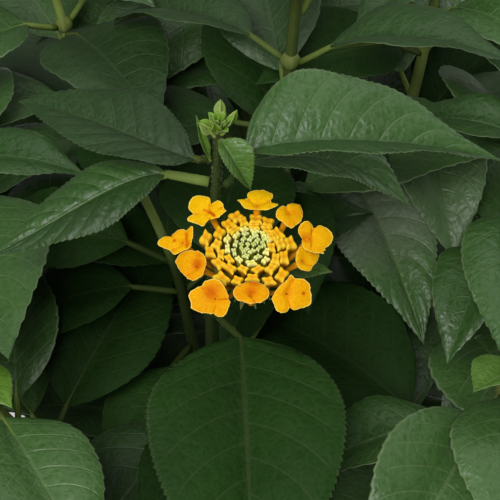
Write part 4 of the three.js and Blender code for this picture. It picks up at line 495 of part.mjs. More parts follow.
  { node: 'shoot_back', p: [[0.12, 45.34, 192.89], [0.42, 52.45, 196.32], [1.2, 70.71, 200.01], [1.97, 88.99, 198.23], [2.71, 106.21, 191.08]], w: 15.68, fold: 20.3, n: [0.214, -0.009, 0.977], fused: 1 },
  { node: 'shoot_right', p: [[47.6, 3.25, 191.5], [55.66, -1.78, 196.13], [69.93, -10.69, 199.59], [84.19, -19.59, 198.16], [97.76, -28.06, 191.9]], w: 14.89, fold: 14.1, n: [0.043, 0.069, 0.997], fused: 1 },
  { node: 'shoot_back', p: [[-1.69, 62.33, 226], [-12.18, 66.89, 230.34], [-28.26, 73.9, 232.34], [-44.14, 80.82, 227.1], [-56.52, 86.21, 215.72]], w: 17.13, fold: 14.2, n: [-0.007, -0.017, 1], fused: 1 },
  { node: 'shoot_back_left', p: [[-36.94, 44.3, 207.87], [-44.84, 48.83, 212.51], [-56.35, 55.44, 215.5], [-68.19, 62.23, 213.19], [-78.22, 67.99, 206.01]], w: 12.35, fold: 11.5, n: [-0.04, -0.07, 0.997], fused: 1 },
  { node: 'shoot_back', p: [[0.27, 32.47, 173.16], [-3.49, 28, 179.5], [-12.48, 17.33, 188.57], [-23.11, 4.72, 191.95], [-33.67, -7.82, 189.08]], w: 15.39, fold: 22.3, n: [0.185, -0.156, 0.97], fused: 1 },
  { node: 'shoot_back_right', p: [[42.93, 50.15, 231.2], [42.18, 57.83, 233.9], [40.27, 77.24, 235.6], [38.43, 95.97, 232.17], [36.71, 113.53, 223.69]], w: 18.3, fold: 19.4, n: [0.14, 0.014, 0.99], fused: 1 },
  { node: 'shoot_back_left', p: [[-48.37, 57.06, 249.88], [-53.34, 64.56, 256.93], [-61.24, 76.49, 263.23], [-70.03, 89.75, 263.63], [-78.1, 101.93, 258.05]], w: 15, fold: 12.4, n: [-0.085, -0.056, 0.995], fused: 1 },
  { node: 'shoot_back', p: [[-0.44, 46.73, 195.76], [-4.74, 51.12, 201.35], [-13.87, 60.43, 208.28], [-24.22, 70.99, 210.12], [-34.26, 81.23, 206.59]], w: 13.5, fold: 19.5, n: [-0.105, -0.103, 0.989], fused: 1 },
  { node: 'shoot_centre', p: [[8.2, 19.3, 262.75], [-4.02, 19.21, 265.43], [-21.76, 19.08, 264.82], [-38.33, 18.96, 259.47], [-53.08, 18.86, 249.6]], w: 16.97, fold: 11.5, n: [-0.001, 0.179, 0.984], fused: 1 },
  { node: 'shoot_low_front', p: [[4.51, -55.34, 151.2], [12.7, -54.57, 157.61], [30.49, -52.89, 165.42], [49.07, -51.14, 168.6], [68.43, -49.31, 167.17]], w: 18.75, fold: 14.7, n: [0.019, -0.203, 0.979], fused: 1 },
  { node: 'shoot_right', p: [[52.63, 4.7, 202.6], [55.36, 14.9, 204.52], [60.61, 34.5, 203.09], [65.48, 52.66, 197.09], [69.97, 69.43, 186.49]], w: 19.64, fold: 19.1, n: [-0.285, 0.076, 0.955], fused: 1 },
  { node: 'shoot_front_right', p: [[40.02, -38.57, 191.62], [30.24, -40.46, 197.86], [11.4, -44.09, 203.98], [-8.41, -47.92, 203.17], [-26.7, -51.45, 195.51]], w: 17.38, fold: 20.9, n: [-0.028, 0.147, 0.989], fused: 1 },
  { node: 'shoot_back', p: [[-0.48, 53.25, 207.33], [-1.86, 61.81, 212.51], [-4.49, 78.11, 217.41], [-7.23, 95.13, 216.37], [-9.75, 110.73, 209.51]], w: 14.96, fold: 13.2, n: [0.218, 0.035, 0.975], fused: 1 },
  { node: 'shoot_right', p: [[54.79, 3.43, 206.57], [57.95, -5.35, 213.8], [64.14, -22.55, 221.72], [71.06, -41.75, 221.78], [77.26, -59, 213.95]], w: 19.3, fold: 12.7, n: [-0.059, -0.021, 0.998], fused: 1 },
  { node: 'shoot_centre', p: [[4.57, 11.63, 206.77], [7.14, 18.51, 209.6], [13.78, 36.3, 211.86], [20.41, 54.06, 203.41], [24.26, 64.38, 187.77]], w: 16.72, fold: 12.1, n: [-0.136, 0.051, 0.989], fused: 1 },
  { node: 'shoot_low_front', p: [[1.94, -30.65, 132.52], [-5.47, -31.3, 137.83], [-23.04, -32.85, 144.68], [-42.51, -34.57, 143.47], [-59.12, -36.04, 134.51]], w: 16.15, fold: 16.6, n: [-0.003, 0.039, 0.999], fused: 1 },
  { node: 'shoot_low_front', p: [[1.87, -88.2, 193.84], [-8.21, -85.45, 198.49], [-25.2, -80.82, 201.49], [-42.15, -76.2, 198.56], [-57.28, -72.07, 190.02]], w: 16.05, fold: 19.5, n: [-0.063, -0.232, 0.971], fused: 1 },
  { node: 'shoot_inner_left', p: [[-19.88, -13.09, 247.07], [-30.84, -11.15, 252.24], [-45.75, -8.52, 255.06], [-60.98, -5.82, 251.07], [-72.68, -3.75, 241.27]], w: 13.11, fold: 13.3, n: [-0.03, -0.17, 0.985], fused: 1 },
  { node: 'shoot_inner_left', p: [[-15.84, -9.81, 211.67], [-20.8, -21.11, 215.05], [-26.31, -33.65, 215.3], [-31.5, -45.47, 208.02], [-34.26, -51.77, 196.17]], w: 11.87, fold: 17.9, n: [-0.253, 0.111, 0.961], fused: 1 },
  { node: 'shoot_front_left', p: [[-49.78, -40.99, 203.91], [-56.87, -32.25, 209.63], [-68.03, -18.48, 213.6], [-79.3, -4.59, 212.17], [-89.92, 8.51, 205.43]], w: 16.89, fold: 19.6, n: [0.185, 0.15, 0.971], fused: 1 },
  { node: 'shoot_back_left', p: [[-50.52, 58.85, 262.53], [-46.87, 52.11, 267.84], [-38.9, 37.39, 274.07], [-30.77, 22.38, 276.44], [-22.3, 6.73, 275.01]], w: 17.45, fold: 16.3, n: [-0.053, -0.029, 0.998], fused: 1 },
  { node: 'shoot_right', p: [[63.98, 4.37, 230.03], [66.5, 12.59, 233.92], [71.45, 28.76, 236.89], [76.43, 45.02, 233.56], [80.68, 58.91, 224.41]], w: 16.25, fold: 9.5, n: [-0.137, 0.042, 0.99], fused: 1 },
  { node: 'shoot_left', p: [[-52.6, 5.31, 196.12], [-63.14, 9.25, 197.78], [-78.1, 14.84, 196.12], [-91.74, 19.94, 189.79], [-103.09, 24.18, 179.24]], w: 15.59, fold: 14.1, n: [-0.073, -0.195, 0.978], fused: 1 },
  { node: 'shoot_front_left', p: [[-21.11, -16.41, 150.03], [-26.32, -26.35, 155.39], [-33.96, -40.93, 158.65], [-41.56, -55.42, 157.45], [-48.9, -69.42, 151.83]], w: 15.97, fold: 14.9, n: [-0.042, 0.022, 0.999], fused: 1 },
  { node: 'shoot_front_right', p: [[42.32, -38.66, 193.54], [51.34, -33.32, 200.5], [67.97, -23.49, 207.26], [85.38, -13.2, 207.88], [102.34, -3.17, 202.34]], w: 18.76, fold: 22.8, n: [0.147, -0.249, 0.957], fused: 1 },
  { node: 'shoot_back', p: [[-2.19, 75.67, 258.9], [-7.79, 71.71, 261.51], [-22.78, 61.11, 263.62], [-37.59, 50.64, 258.08], [-49.07, 42.53, 246.08]], w: 16.85, fold: 20.5, n: [0.133, -0.188, 0.973], fused: 1 },
  { node: 'shoot_right', p: [[69.05, 2.68, 247.76], [74.05, -5.66, 255.54], [81.87, -18.7, 262.42], [90.56, -33.18, 263.27], [98.7, -46.75, 257.95]], w: 14.74, fold: 9.4, n: [0.059, 0.035, 0.998], fused: 1 },
  { node: 'shoot_left', p: [[-69.22, 3.96, 241.75], [-57.63, 3.28, 245.04], [-42.98, 2.42, 245.42], [-29.03, 1.6, 240.55], [-17.8, 0.94, 231.11]], w: 12.84, fold: 15.1, n: [-0.009, -0.151, 0.989], fused: 1 },
  { node: 'shoot_right', p: [[71.57, 2.81, 256.75], [77.9, 1.24, 262.21], [90.33, -1.83, 268.34], [103.87, -5.19, 270.2], [117.43, -8.54, 267.64]], w: 12.68, fold: 8, n: [-0.068, -0.274, 0.959], fused: 1 },
  { node: 'shoot_front_right', p: [[33.32, -33.25, 178.35], [26.35, -37.8, 185.87], [12.22, -47.03, 194.77], [-3.82, -57.5, 196.99], [-19.28, -67.59, 192.18]], w: 16.62, fold: 16, n: [0.05, -0.076, 0.996], fused: 1 },
  { node: 'shoot_back_right', p: [[48.34, 56.25, 258.19], [52.85, 59.98, 264.75], [65.58, 70.51, 275.87], [79.56, 82.06, 282.57], [94.81, 94.67, 284.86]], w: 18.14, fold: 12.2, n: [0.172, -0.209, 0.963], fused: 1 },
  { node: 'shoot_right', p: [[73.63, 1.77, 267.34], [75.69, -7.06, 272.05], [78.8, -20.37, 275.24], [81.94, -33.83, 274.24], [84.9, -46.55, 269.12]], w: 12.61, fold: 22, n: [0.155, 0.036, 0.987], fused: 1 },
  { node: 'shoot_left', p: [[-43.61, 5.43, 180.21], [-50.87, 12.79, 182.87], [-62.28, 24.36, 182.9], [-72.96, 35.19, 174.65], [-79.15, 41.47, 161.01]], w: 14.14, fold: 12.8, n: [0.147, 0.144, 0.979], fused: 1 },
  { node: 'shoot_right', p: [[64.22, 3.12, 231.54], [68.41, -5.93, 238.48], [73.84, -17.65, 243.3], [79.8, -30.51, 242.36], [84.92, -41.54, 235.88]], w: 12.68, fold: 21.5, n: [-0.17, -0.079, 0.982], fused: 1 },
  { node: 'shoot_front_right', p: [[40.31, -38.63, 190.16], [43, -45.29, 191.54], [49.09, -60.41, 190.57], [54.68, -74.27, 183.15], [58.66, -84.13, 170.76]], w: 15.58, fold: 11.9, n: [0.205, 0.083, 0.975], fused: 1 },
  { node: 'shoot_left', p: [[-71.59, 3.14, 246.59], [-75.33, -5.39, 249.83], [-81.9, -20.38, 251.23], [-88.33, -35.06, 243.47], [-91.97, -43.36, 229.77]], w: 15.49, fold: 14.4, n: [-0.201, 0.088, 0.976], fused: 1 },
  { node: 'shoot_back', p: [[0.97, 40.65, 184.88], [3.68, 46.72, 187.17], [11.09, 63.37, 188.67], [18.33, 79.63, 180.09], [22.47, 88.93, 164.9]], w: 16.27, fold: 20.3, n: [0.09, -0.04, 0.995], fused: 1 },
  { node: 'shoot_back_left', p: [[-43.44, 50.57, 229.43], [-48.04, 45.14, 236.74], [-55.59, 36.24, 243.89], [-65.06, 25.06, 244.45], [-72.94, 15.77, 238.21]], w: 12.65, fold: 13.3, n: [-0.104, 0.088, 0.991], fused: 1 },
  { node: 'shoot_back_left', p: [[-16.1, 21.16, 154.85], [-8.63, 31.11, 157.79], [3.08, 46.7, 157.44], [14.03, 61.28, 150.08], [22.6, 72.7, 136.81]], w: 16.83, fold: 15.5, n: [0.169, -0.127, 0.977], fused: 1 },
  { node: 'shoot_front_right', p: [[60.46, -55.68, 249.22], [59.64, -62.77, 254.39], [58.09, -76.21, 259.76], [56.36, -91.26, 258.63], [54.92, -103.76, 251.31]], w: 14.02, fold: 18.8, n: [-0.226, 0.026, 0.974], fused: 1 },
];

// ---------- assembly ----------
const plant = new THREE.Group();
const COLORS = {
  clay: [0xb4694a, 0.85], soil: [0x3b2a1f, 0.95], bark: [0x7a6a45, 0.85], stem: [0x7d8c48, 0.7],
  leaf: [0x3f5f3c, 0.55], young: [0x86a83c, 0.5], petal: [0xf5b010, 0.5], yellow: [0xf2b81c, 0.5], green: [0xd3d78a, 0.55],
};
function add(name, geometry, finish) {
  const g = geometry.index ? geometry : mergeVertices(geometry, 1e-4);
  g.computeVertexNormals();
  const mesh = new THREE.Mesh(g, new THREE.MeshStandardMaterial({ color: COLORS[finish][0], roughness: COLORS[finish][1], metalness: 0 }));
  mesh.name = name;
  plant.add(mesh);
  return mesh;
}
// turned shape: [radius, height] pairs, closed on itself or on the axis
const turned = (profile, segments) => new THREE.LatheGeometry(profile.map(([r, z]) => new THREE.Vector2(r, z)), segments).rotateX(Math.PI / 2);

// pot with a drain hole, then the soil in it
const RT = POT_TOP_DIAMETER / 2, RB = POT_BASE_DIAMETER / 2, ZB = POT_HEIGHT - POT_RIM_BAND;
add('pot', turned([
  [DRAIN_RADIUS, 0], [RB - 1, 0], [RB, 1.2], [RT - 6, ZB], [RT - 1.2, ZB], [RT, POT_HEIGHT - 1.5], [RT - 1, POT_HEIGHT],
  [RT - POT_WALL, POT_HEIGHT], [RT - POT_WALL - 1.8, ZB], [RB - 4.5, POT_FLOOR], [DRAIN_RADIUS, POT_FLOOR], [DRAIN_RADIUS, 0]], 30), 'clay');
add('potting_soil', turned([[0, POT_FLOOR + 0.4], [RB - 6, POT_FLOOR + 0.4], [RT - 10.4, SOIL_LEVEL - 6], [RT - 9.4, SOIL_LEVEL - 0.8], [0, SOIL_LEVEL]], 24), 'soil');

// stems: a short woody base, then the shoots that leave it
add('woody_base', stemSolid([[0, 0, SOIL_LEVEL + 0.5], [0, 0, SOIL_LEVEL + 3], ...TRUNK.p.slice(1)], TRUNK.r0, TRUNK.r1, 4, 9), 'bark');
for (const [name, s] of Object.entries(SHOOTS)) {
  const parts = [stemSolid(s.p, s.r[0], s.r[1], 7)];
  for (const L of SHOOT_LEAVES.filter((l) => l.node === name)) parts.push(leafSolid(L));
  add(name, join(parts), 'stem');
}

// leaves: single ones, and pairs joined by the collar that both petioles grow from
const groups = {};
for (const L of LEAVES) (groups[L.node] ||= []).push(L);
for (const [name, list] of Object.entries(groups)) {
  const parts = list.map((L) => leafSolid(L));
  if (COLLARS[name]) parts.unshift(collarSolid(COLLARS[name].c, COLLARS[name].d, COLLARS[name].r));
  add(name, parts.length > 1 ? join(parts) : parts[0], name.startsWith('young') ? 'young' : 'leaf');
}

// main flower head
const hx = HEAD[0], hy = HEAD[1], hz = HEAD[2], rz = RECEPTACLE_Z;
add('main_peduncle', stemSolid(PEDUNCLE, 0.85, 0.95, 6, 6), 'stem');
{
  const bracts = [turned([[0, rz - 0.9], [1.0, rz - 0.9], [2.9, rz + 0.2], [2.9, rz + 0.9], [0, rz + 0.9]], 9).translate(hx, hy, 0)];
  for (let i = 0; i < 6; i++) {
    const q = 2 * Math.PI * (i + 0.3) / 6, d = V(Math.cos(q), Math.sin(q), 0), s = V(-Math.sin(q), Math.cos(q), 0);
    const ring = (r, z, w, h) => [s.clone().multiplyScalar(-w), V(0, 0, h), s.clone().multiplyScalar(w), V(0, 0, -h)].map((p) => p.addScaledVector(d, r).add(V(hx, hy, z)));
    bracts.push(loft([ring(1.0, rz - 0.45, 0.5, 0.22), ring(3.6, rz - 0.9, 0.6, 0.2), [V(hx, hy, rz - 1.9).addScaledVector(d, 6.2)]]));
  }
  add('receptacle_and_bracts', join(bracts), 'stem');
}
const budRadius = (p) => Math.hypot(p.x - hx, p.y - hy);
function clampRadius(p, lo, hi) {
  const r = budRadius(p), k = Math.min(Math.max(r, lo), hi) / (r || 1);
  return V(hx + (p.x - hx) * k, hy + (p.y - hy) * k, p.z);
}
function shortBud(b, lo, hi, grow = 1) {
  const c = A3(b.c), axis = A3(b.n).normalize();
  const q = b.q.map((p) => clampRadius(c.clone().lerp(A3(p), grow), lo, hi));
  const foot = clampRadius(c.clone().addScaledVector(axis, -2.3), lo + 0.3 * (lo > 0), Math.min(hi * 0.8, 8.6));
  const mean = q.reduce((m, p) => m.addScaledVector(p, 0.25), V(0, 0, 0));
  return loft([[foot], q, [mean.addScaledVector(axis, 0.4)]]);
}
const domeCore = turned([[0, rz + 1.2], [1.35, rz + 1.2], [5.3, hz - 1.7], [4.9, hz - 0.5], [0, hz + 0.1]], 14).translate(hx, hy, 0);
add('green_bud_dome', join([domeCore, ...BUDS_GREEN.map((b) => shortBud(b, 0, 5.5, 0.95)), ...BUDS_PALE.map((b) => shortBud(b, 0, 5.4, 0.95))]), 'green');

// open florets: limb outline at a few directions
function rimRadius(pol, q) {
  const s = pol.map(([a, r]) => [a, r]).sort((x, y) => x[0] - y[0]), n = s.length;
  for (let i = 0; i < n; i++) {
    const a = s[i], b = s[(i + 1) % n], b0 = b[0] + (i + 1 === n ? 2 * Math.PI : 0);
    for (const k of [q, q + 2 * Math.PI]) if (k >= a[0] && k <= b0) return a[1] + (b[1] - a[1]) * (k - a[0]) / (b0 - a[0] || 1);
  }
  return s[0][1];
}
function floretGeometry(F, grow, fat, sides = 11) {
  const n = A3(F.n).normalize(), th = A3(F.th), e1 = V(1, 0, 0).addScaledVector(n, -n.x).normalize(), e2 = n.clone().cross(e1), rim = [];
  for (let i = 0; i < sides; i++) {
    const q = -Math.PI + 2 * Math.PI * (i + 0.5) / sides, r = rimRadius(F.pol, q) * grow;
    rim.push(th.clone().addScaledVector(e1, r * Math.cos(q)).addScaledVector(e2, r * Math.sin(q)).addScaledVector(n, 0.4));
  }
  const axis = th.clone().sub(A3(F.foot)).normalize(), low = th.clone().addScaledVector(n, -1.6);
  const around = (c, ax, r) => rim.map((p) => { const d = p.clone().sub(th); d.addScaledVector(ax, -d.dot(ax)).normalize(); return c.clone().addScaledVector(d, r); });
  const under = rim.map((p) => p.clone().addScaledVector(n, -FLORET_RIM - fat)), over = fat ? rim.map((p) => p.clone().addScaledVector(n, fat)) : rim;
  return loft([around(A3(F.foot).addScaledVector(axis, -fat), axis, 0.42 + fat), around(low, n, 0.62 + fat), under, over, [th.clone().addScaledVector(n, -0.3 + 2 * fat)]]);
}
const shellRing = turned([[1.75, rz + 1.2], [3.0, rz + 1.2], [9.3, hz - 2.6], [9.2, hz - 1.4], [6.1, hz - 1.0], [1.75, rz + 1.2]], 20).translate(hx, hy, 0);
let ring = solidOf(join([shellRing, ...BUDS_INNER.map((b) => shortBud(b, 5.95, 99, 0.95)), ...BUDS_OUTER.map((b) => shortBud(b, 5.95, 99, 0.95))]));
for (const F of Object.values(FLORETS)) ring = ring.subtract(solidOf(floretGeometry(F, 1.0, 0.3)));
ring = ring.decompose().sort((a, b) => b.volume() - a.volume())[0];
add('yellow_bud_ring', geometryOf(ring), 'yellow');
for (const [name, F] of Object.entries(FLORETS)) add(name, floretGeometry(F, 0.92, 0, 9), 'petal');

// other flower heads, each one piece with its stalk
for (const [name, h] of Object.entries(HEADS)) {
  const n = A3(h.n).normalize(), c = A3(h.c), q = new THREE.Quaternion().setFromUnitVectors(V(0, 0, 1), n), s = h.s;
  const dome = turned([[0, -9.6 * s], [1.6 * s, -9.4 * s], [3.4 * s, -7.6 * s], [9.6 * s, -1.6 * s], [10.4 * s, 0], [0, 1.5 * s]], 10).applyQuaternion(q).translate(c.x, c.y, c.z);
  const parts = [stemSolid([...h.ped, c.clone().addScaledVector(n, -8.6 * s).toArray()], 0.9, 0.9, 5, 5), dome];
  for (const f of h.fl) {
    const fn = A3(f.n).normalize(), th = A3(f.th), e1 = (Math.abs(fn.x) < 0.9 ? V(1, 0, 0) : V(0, 1, 0)), rim = [];
    e1.addScaledVector(fn, -e1.dot(fn)).normalize();
    const e2 = fn.clone().cross(e1);
    for (let i = 0; i < 5; i++) { const a = f.a + i * Math.PI * 0.4; rim.push(th.clone().addScaledVector(e1, f.r * Math.cos(a)).addScaledVector(e2, f.r * Math.sin(a)).addScaledVector(fn, 0.4)); }
    parts.push(loft([[A3(f.foot)], rim, [th.clone().addScaledVector(fn, -0.2)]]));
  }
  add(name, join(parts), 'petal');
}

export default plant;
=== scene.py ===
"""Potted shrub verbena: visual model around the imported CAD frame. Lengths in the tables are millimetres."""
import math

import bpy
import numpy as np
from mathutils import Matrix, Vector


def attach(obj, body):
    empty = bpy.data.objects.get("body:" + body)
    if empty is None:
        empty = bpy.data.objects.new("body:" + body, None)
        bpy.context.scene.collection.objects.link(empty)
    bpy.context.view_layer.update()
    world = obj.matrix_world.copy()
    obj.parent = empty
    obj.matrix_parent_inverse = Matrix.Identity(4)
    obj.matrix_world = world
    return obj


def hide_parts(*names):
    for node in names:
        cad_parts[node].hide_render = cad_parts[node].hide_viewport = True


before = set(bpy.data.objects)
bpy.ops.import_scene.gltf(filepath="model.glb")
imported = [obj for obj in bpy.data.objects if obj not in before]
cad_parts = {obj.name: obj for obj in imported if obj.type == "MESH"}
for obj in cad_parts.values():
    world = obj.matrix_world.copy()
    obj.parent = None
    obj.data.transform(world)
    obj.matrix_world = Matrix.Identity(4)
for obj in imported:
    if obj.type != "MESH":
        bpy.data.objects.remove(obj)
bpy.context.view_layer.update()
MM = 0.001

# ---------------------------------------------------------------- tables (mm)
HEAD = [-0.42, -59.56, 300]
RECEPTACLE_Z = 290.5
TRUNK = {"p": [[0, 0, 109], [0.6, -0.4, 122], [-0.3, 0.4, 133], [0.2, 0, 141]], "r0": 6.6, "r1": 4.6}
SHOOTS = {
    "main_shoot": {"p": [[-1.5, -6.5, 137], [-5.5, -20, 165], [-8.5, -32, 210], [-9.2, -36.2, 255], [-7.8, -35.2, 288], [-6.8, -34.6, 313]], "r": [2.3, 0.95]},
    "shoot_front_right": {"p": [[5.7, -5.3, 127], [24, -24, 160], [50, -46, 212], [64, -58, 262]], "r": [2.3, 1.2]},
    "shoot_front_left": {"p": [[-5.9, -4.8, 125], [-26, -20, 160], [-52, -44, 210], [-67, -57, 258]], "r": [2.3, 1.2]},
    "shoot_right": {"p": [[7, 1.2, 131], [32, 3, 165], [60, 4, 220], [76, 2, 276]], "r": [2.3, 1.2]},
    "shoot_left": {"p": [[-7.3, 1, 130], [-32, 4, 162], [-62, 5, 218], [-78, 2, 272]], "r": [2.3, 1.2]},
    "shoot_back_right": {"p": [[5.2, 5.9, 126], [24, 26, 165], [42, 48, 226], [52, 62, 286]], "r": [2.3, 1.2]},
    "shoot_back_left": {"p": [[-5.3, 5.9, 128], [-22, 27, 168], [-42, 50, 226], [-55, 64, 282]], "r": [2.3, 1.2]},
    "shoot_back": {"p": [[0.3, 7.7, 133], [1, 30, 168], [-1, 60, 222], [-2, 80, 268]], "r": [2.2, 1.2]},
    "shoot_centre": {"p": [[0.8, 1.5, 142.5], [3, 8, 190], [8, 18, 250], [12, 24, 316]], "r": [2.4, 1.2]},
    "shoot_inner_left": {"p": [[-3.4, -1, 141.6], [-13, -7, 190], [-19, -13, 245], [-27.5, -19.5, 284]], "r": [1.8, 1]},
    "shoot_low_front": {"p": [[1.4, -7.6, 119], [3, -36, 136], [4, -70, 166], [2, -92, 200]], "r": [2.1, 1.1]},
}
PEDUNCLE = [[-7.6, -38.6, 264.2], [-6.2, -42, 271.5], [-3, -52, 279.5], [-0.72, -58.36, 285.9], [-0.42, -59.56, 289]]
COLLARS = [
    ["leaf_pair_01", [60.11, -54.65, 246.94], [0.234, -0.202, 0.951], 1.31],
    ["leaf_pair_02", [49.59, -45.65, 210.94], [0.349, -0.295, 0.889], 1.57],
    ["leaf_pair_03", [-62.77, -53.37, 243.54], [-0.264, -0.224, 0.938], 1.31],
    ["leaf_pair_04", [-51.58, -43.62, 208.98], [-0.364, -0.33, 0.871], 1.57],
    ["leaf_pair_05", [70.7, 2.84, 255.74], [0.243, -0.043, 0.969], 1.33],
    ["leaf_pair_06", [56.71, 4.03, 212.03], [0.397, 0.001, 0.918], 1.62],
    ["leaf_pair_07", [-72.73, 3.24, 252.51], [-0.25, -0.065, 0.966], 1.33],
    ["leaf_pair_08", [-58.5, 5.11, 209.94], [-0.414, -0.006, 0.91], 1.62],
    ["leaf_pair_09", [49.23, 58.02, 267.96], [0.142, 0.206, 0.968], 1.31],
    ["leaf_pair_10", [42.53, 48.69, 228.38], [0.206, 0.269, 0.941], 1.55],
    ["leaf_pair_11", [-51.28, 60.04, 265.17], [-0.205, 0.217, 0.955], 1.31],
    ["leaf_pair_12", [-42.63, 50.7, 228.22], [-0.257, 0.286, 0.923], 1.55],
    ["leaf_pair_13", [-1.67, 73.08, 251.54], [-0.018, 0.383, 0.924], 1.32],
    ["leaf_pair_14", [-0.74, 56.2, 214.5], [-0.034, 0.46, 0.887], 1.58],
    ["leaf_pair_15", [10.15, 21.39, 284.11], [0.057, 0.081, 0.995], 1.39],
    ["leaf_pair_16", [7.91, 17.84, 248.77], [0.073, 0.131, 0.989], 1.61],
    ["leaf_pair_17", [-8.82, -33.42, 219.07], [-0.03, -0.134, 0.99], 1.71],
    ["leaf_pair_18", [3.13, -82.03, 183.35], [-0.059, -0.511, 0.858], 1.26],
    ["leaf_pair_19", [4.02, -63.89, 159.43], [0.008, -0.705, 0.709], 1.5],
]
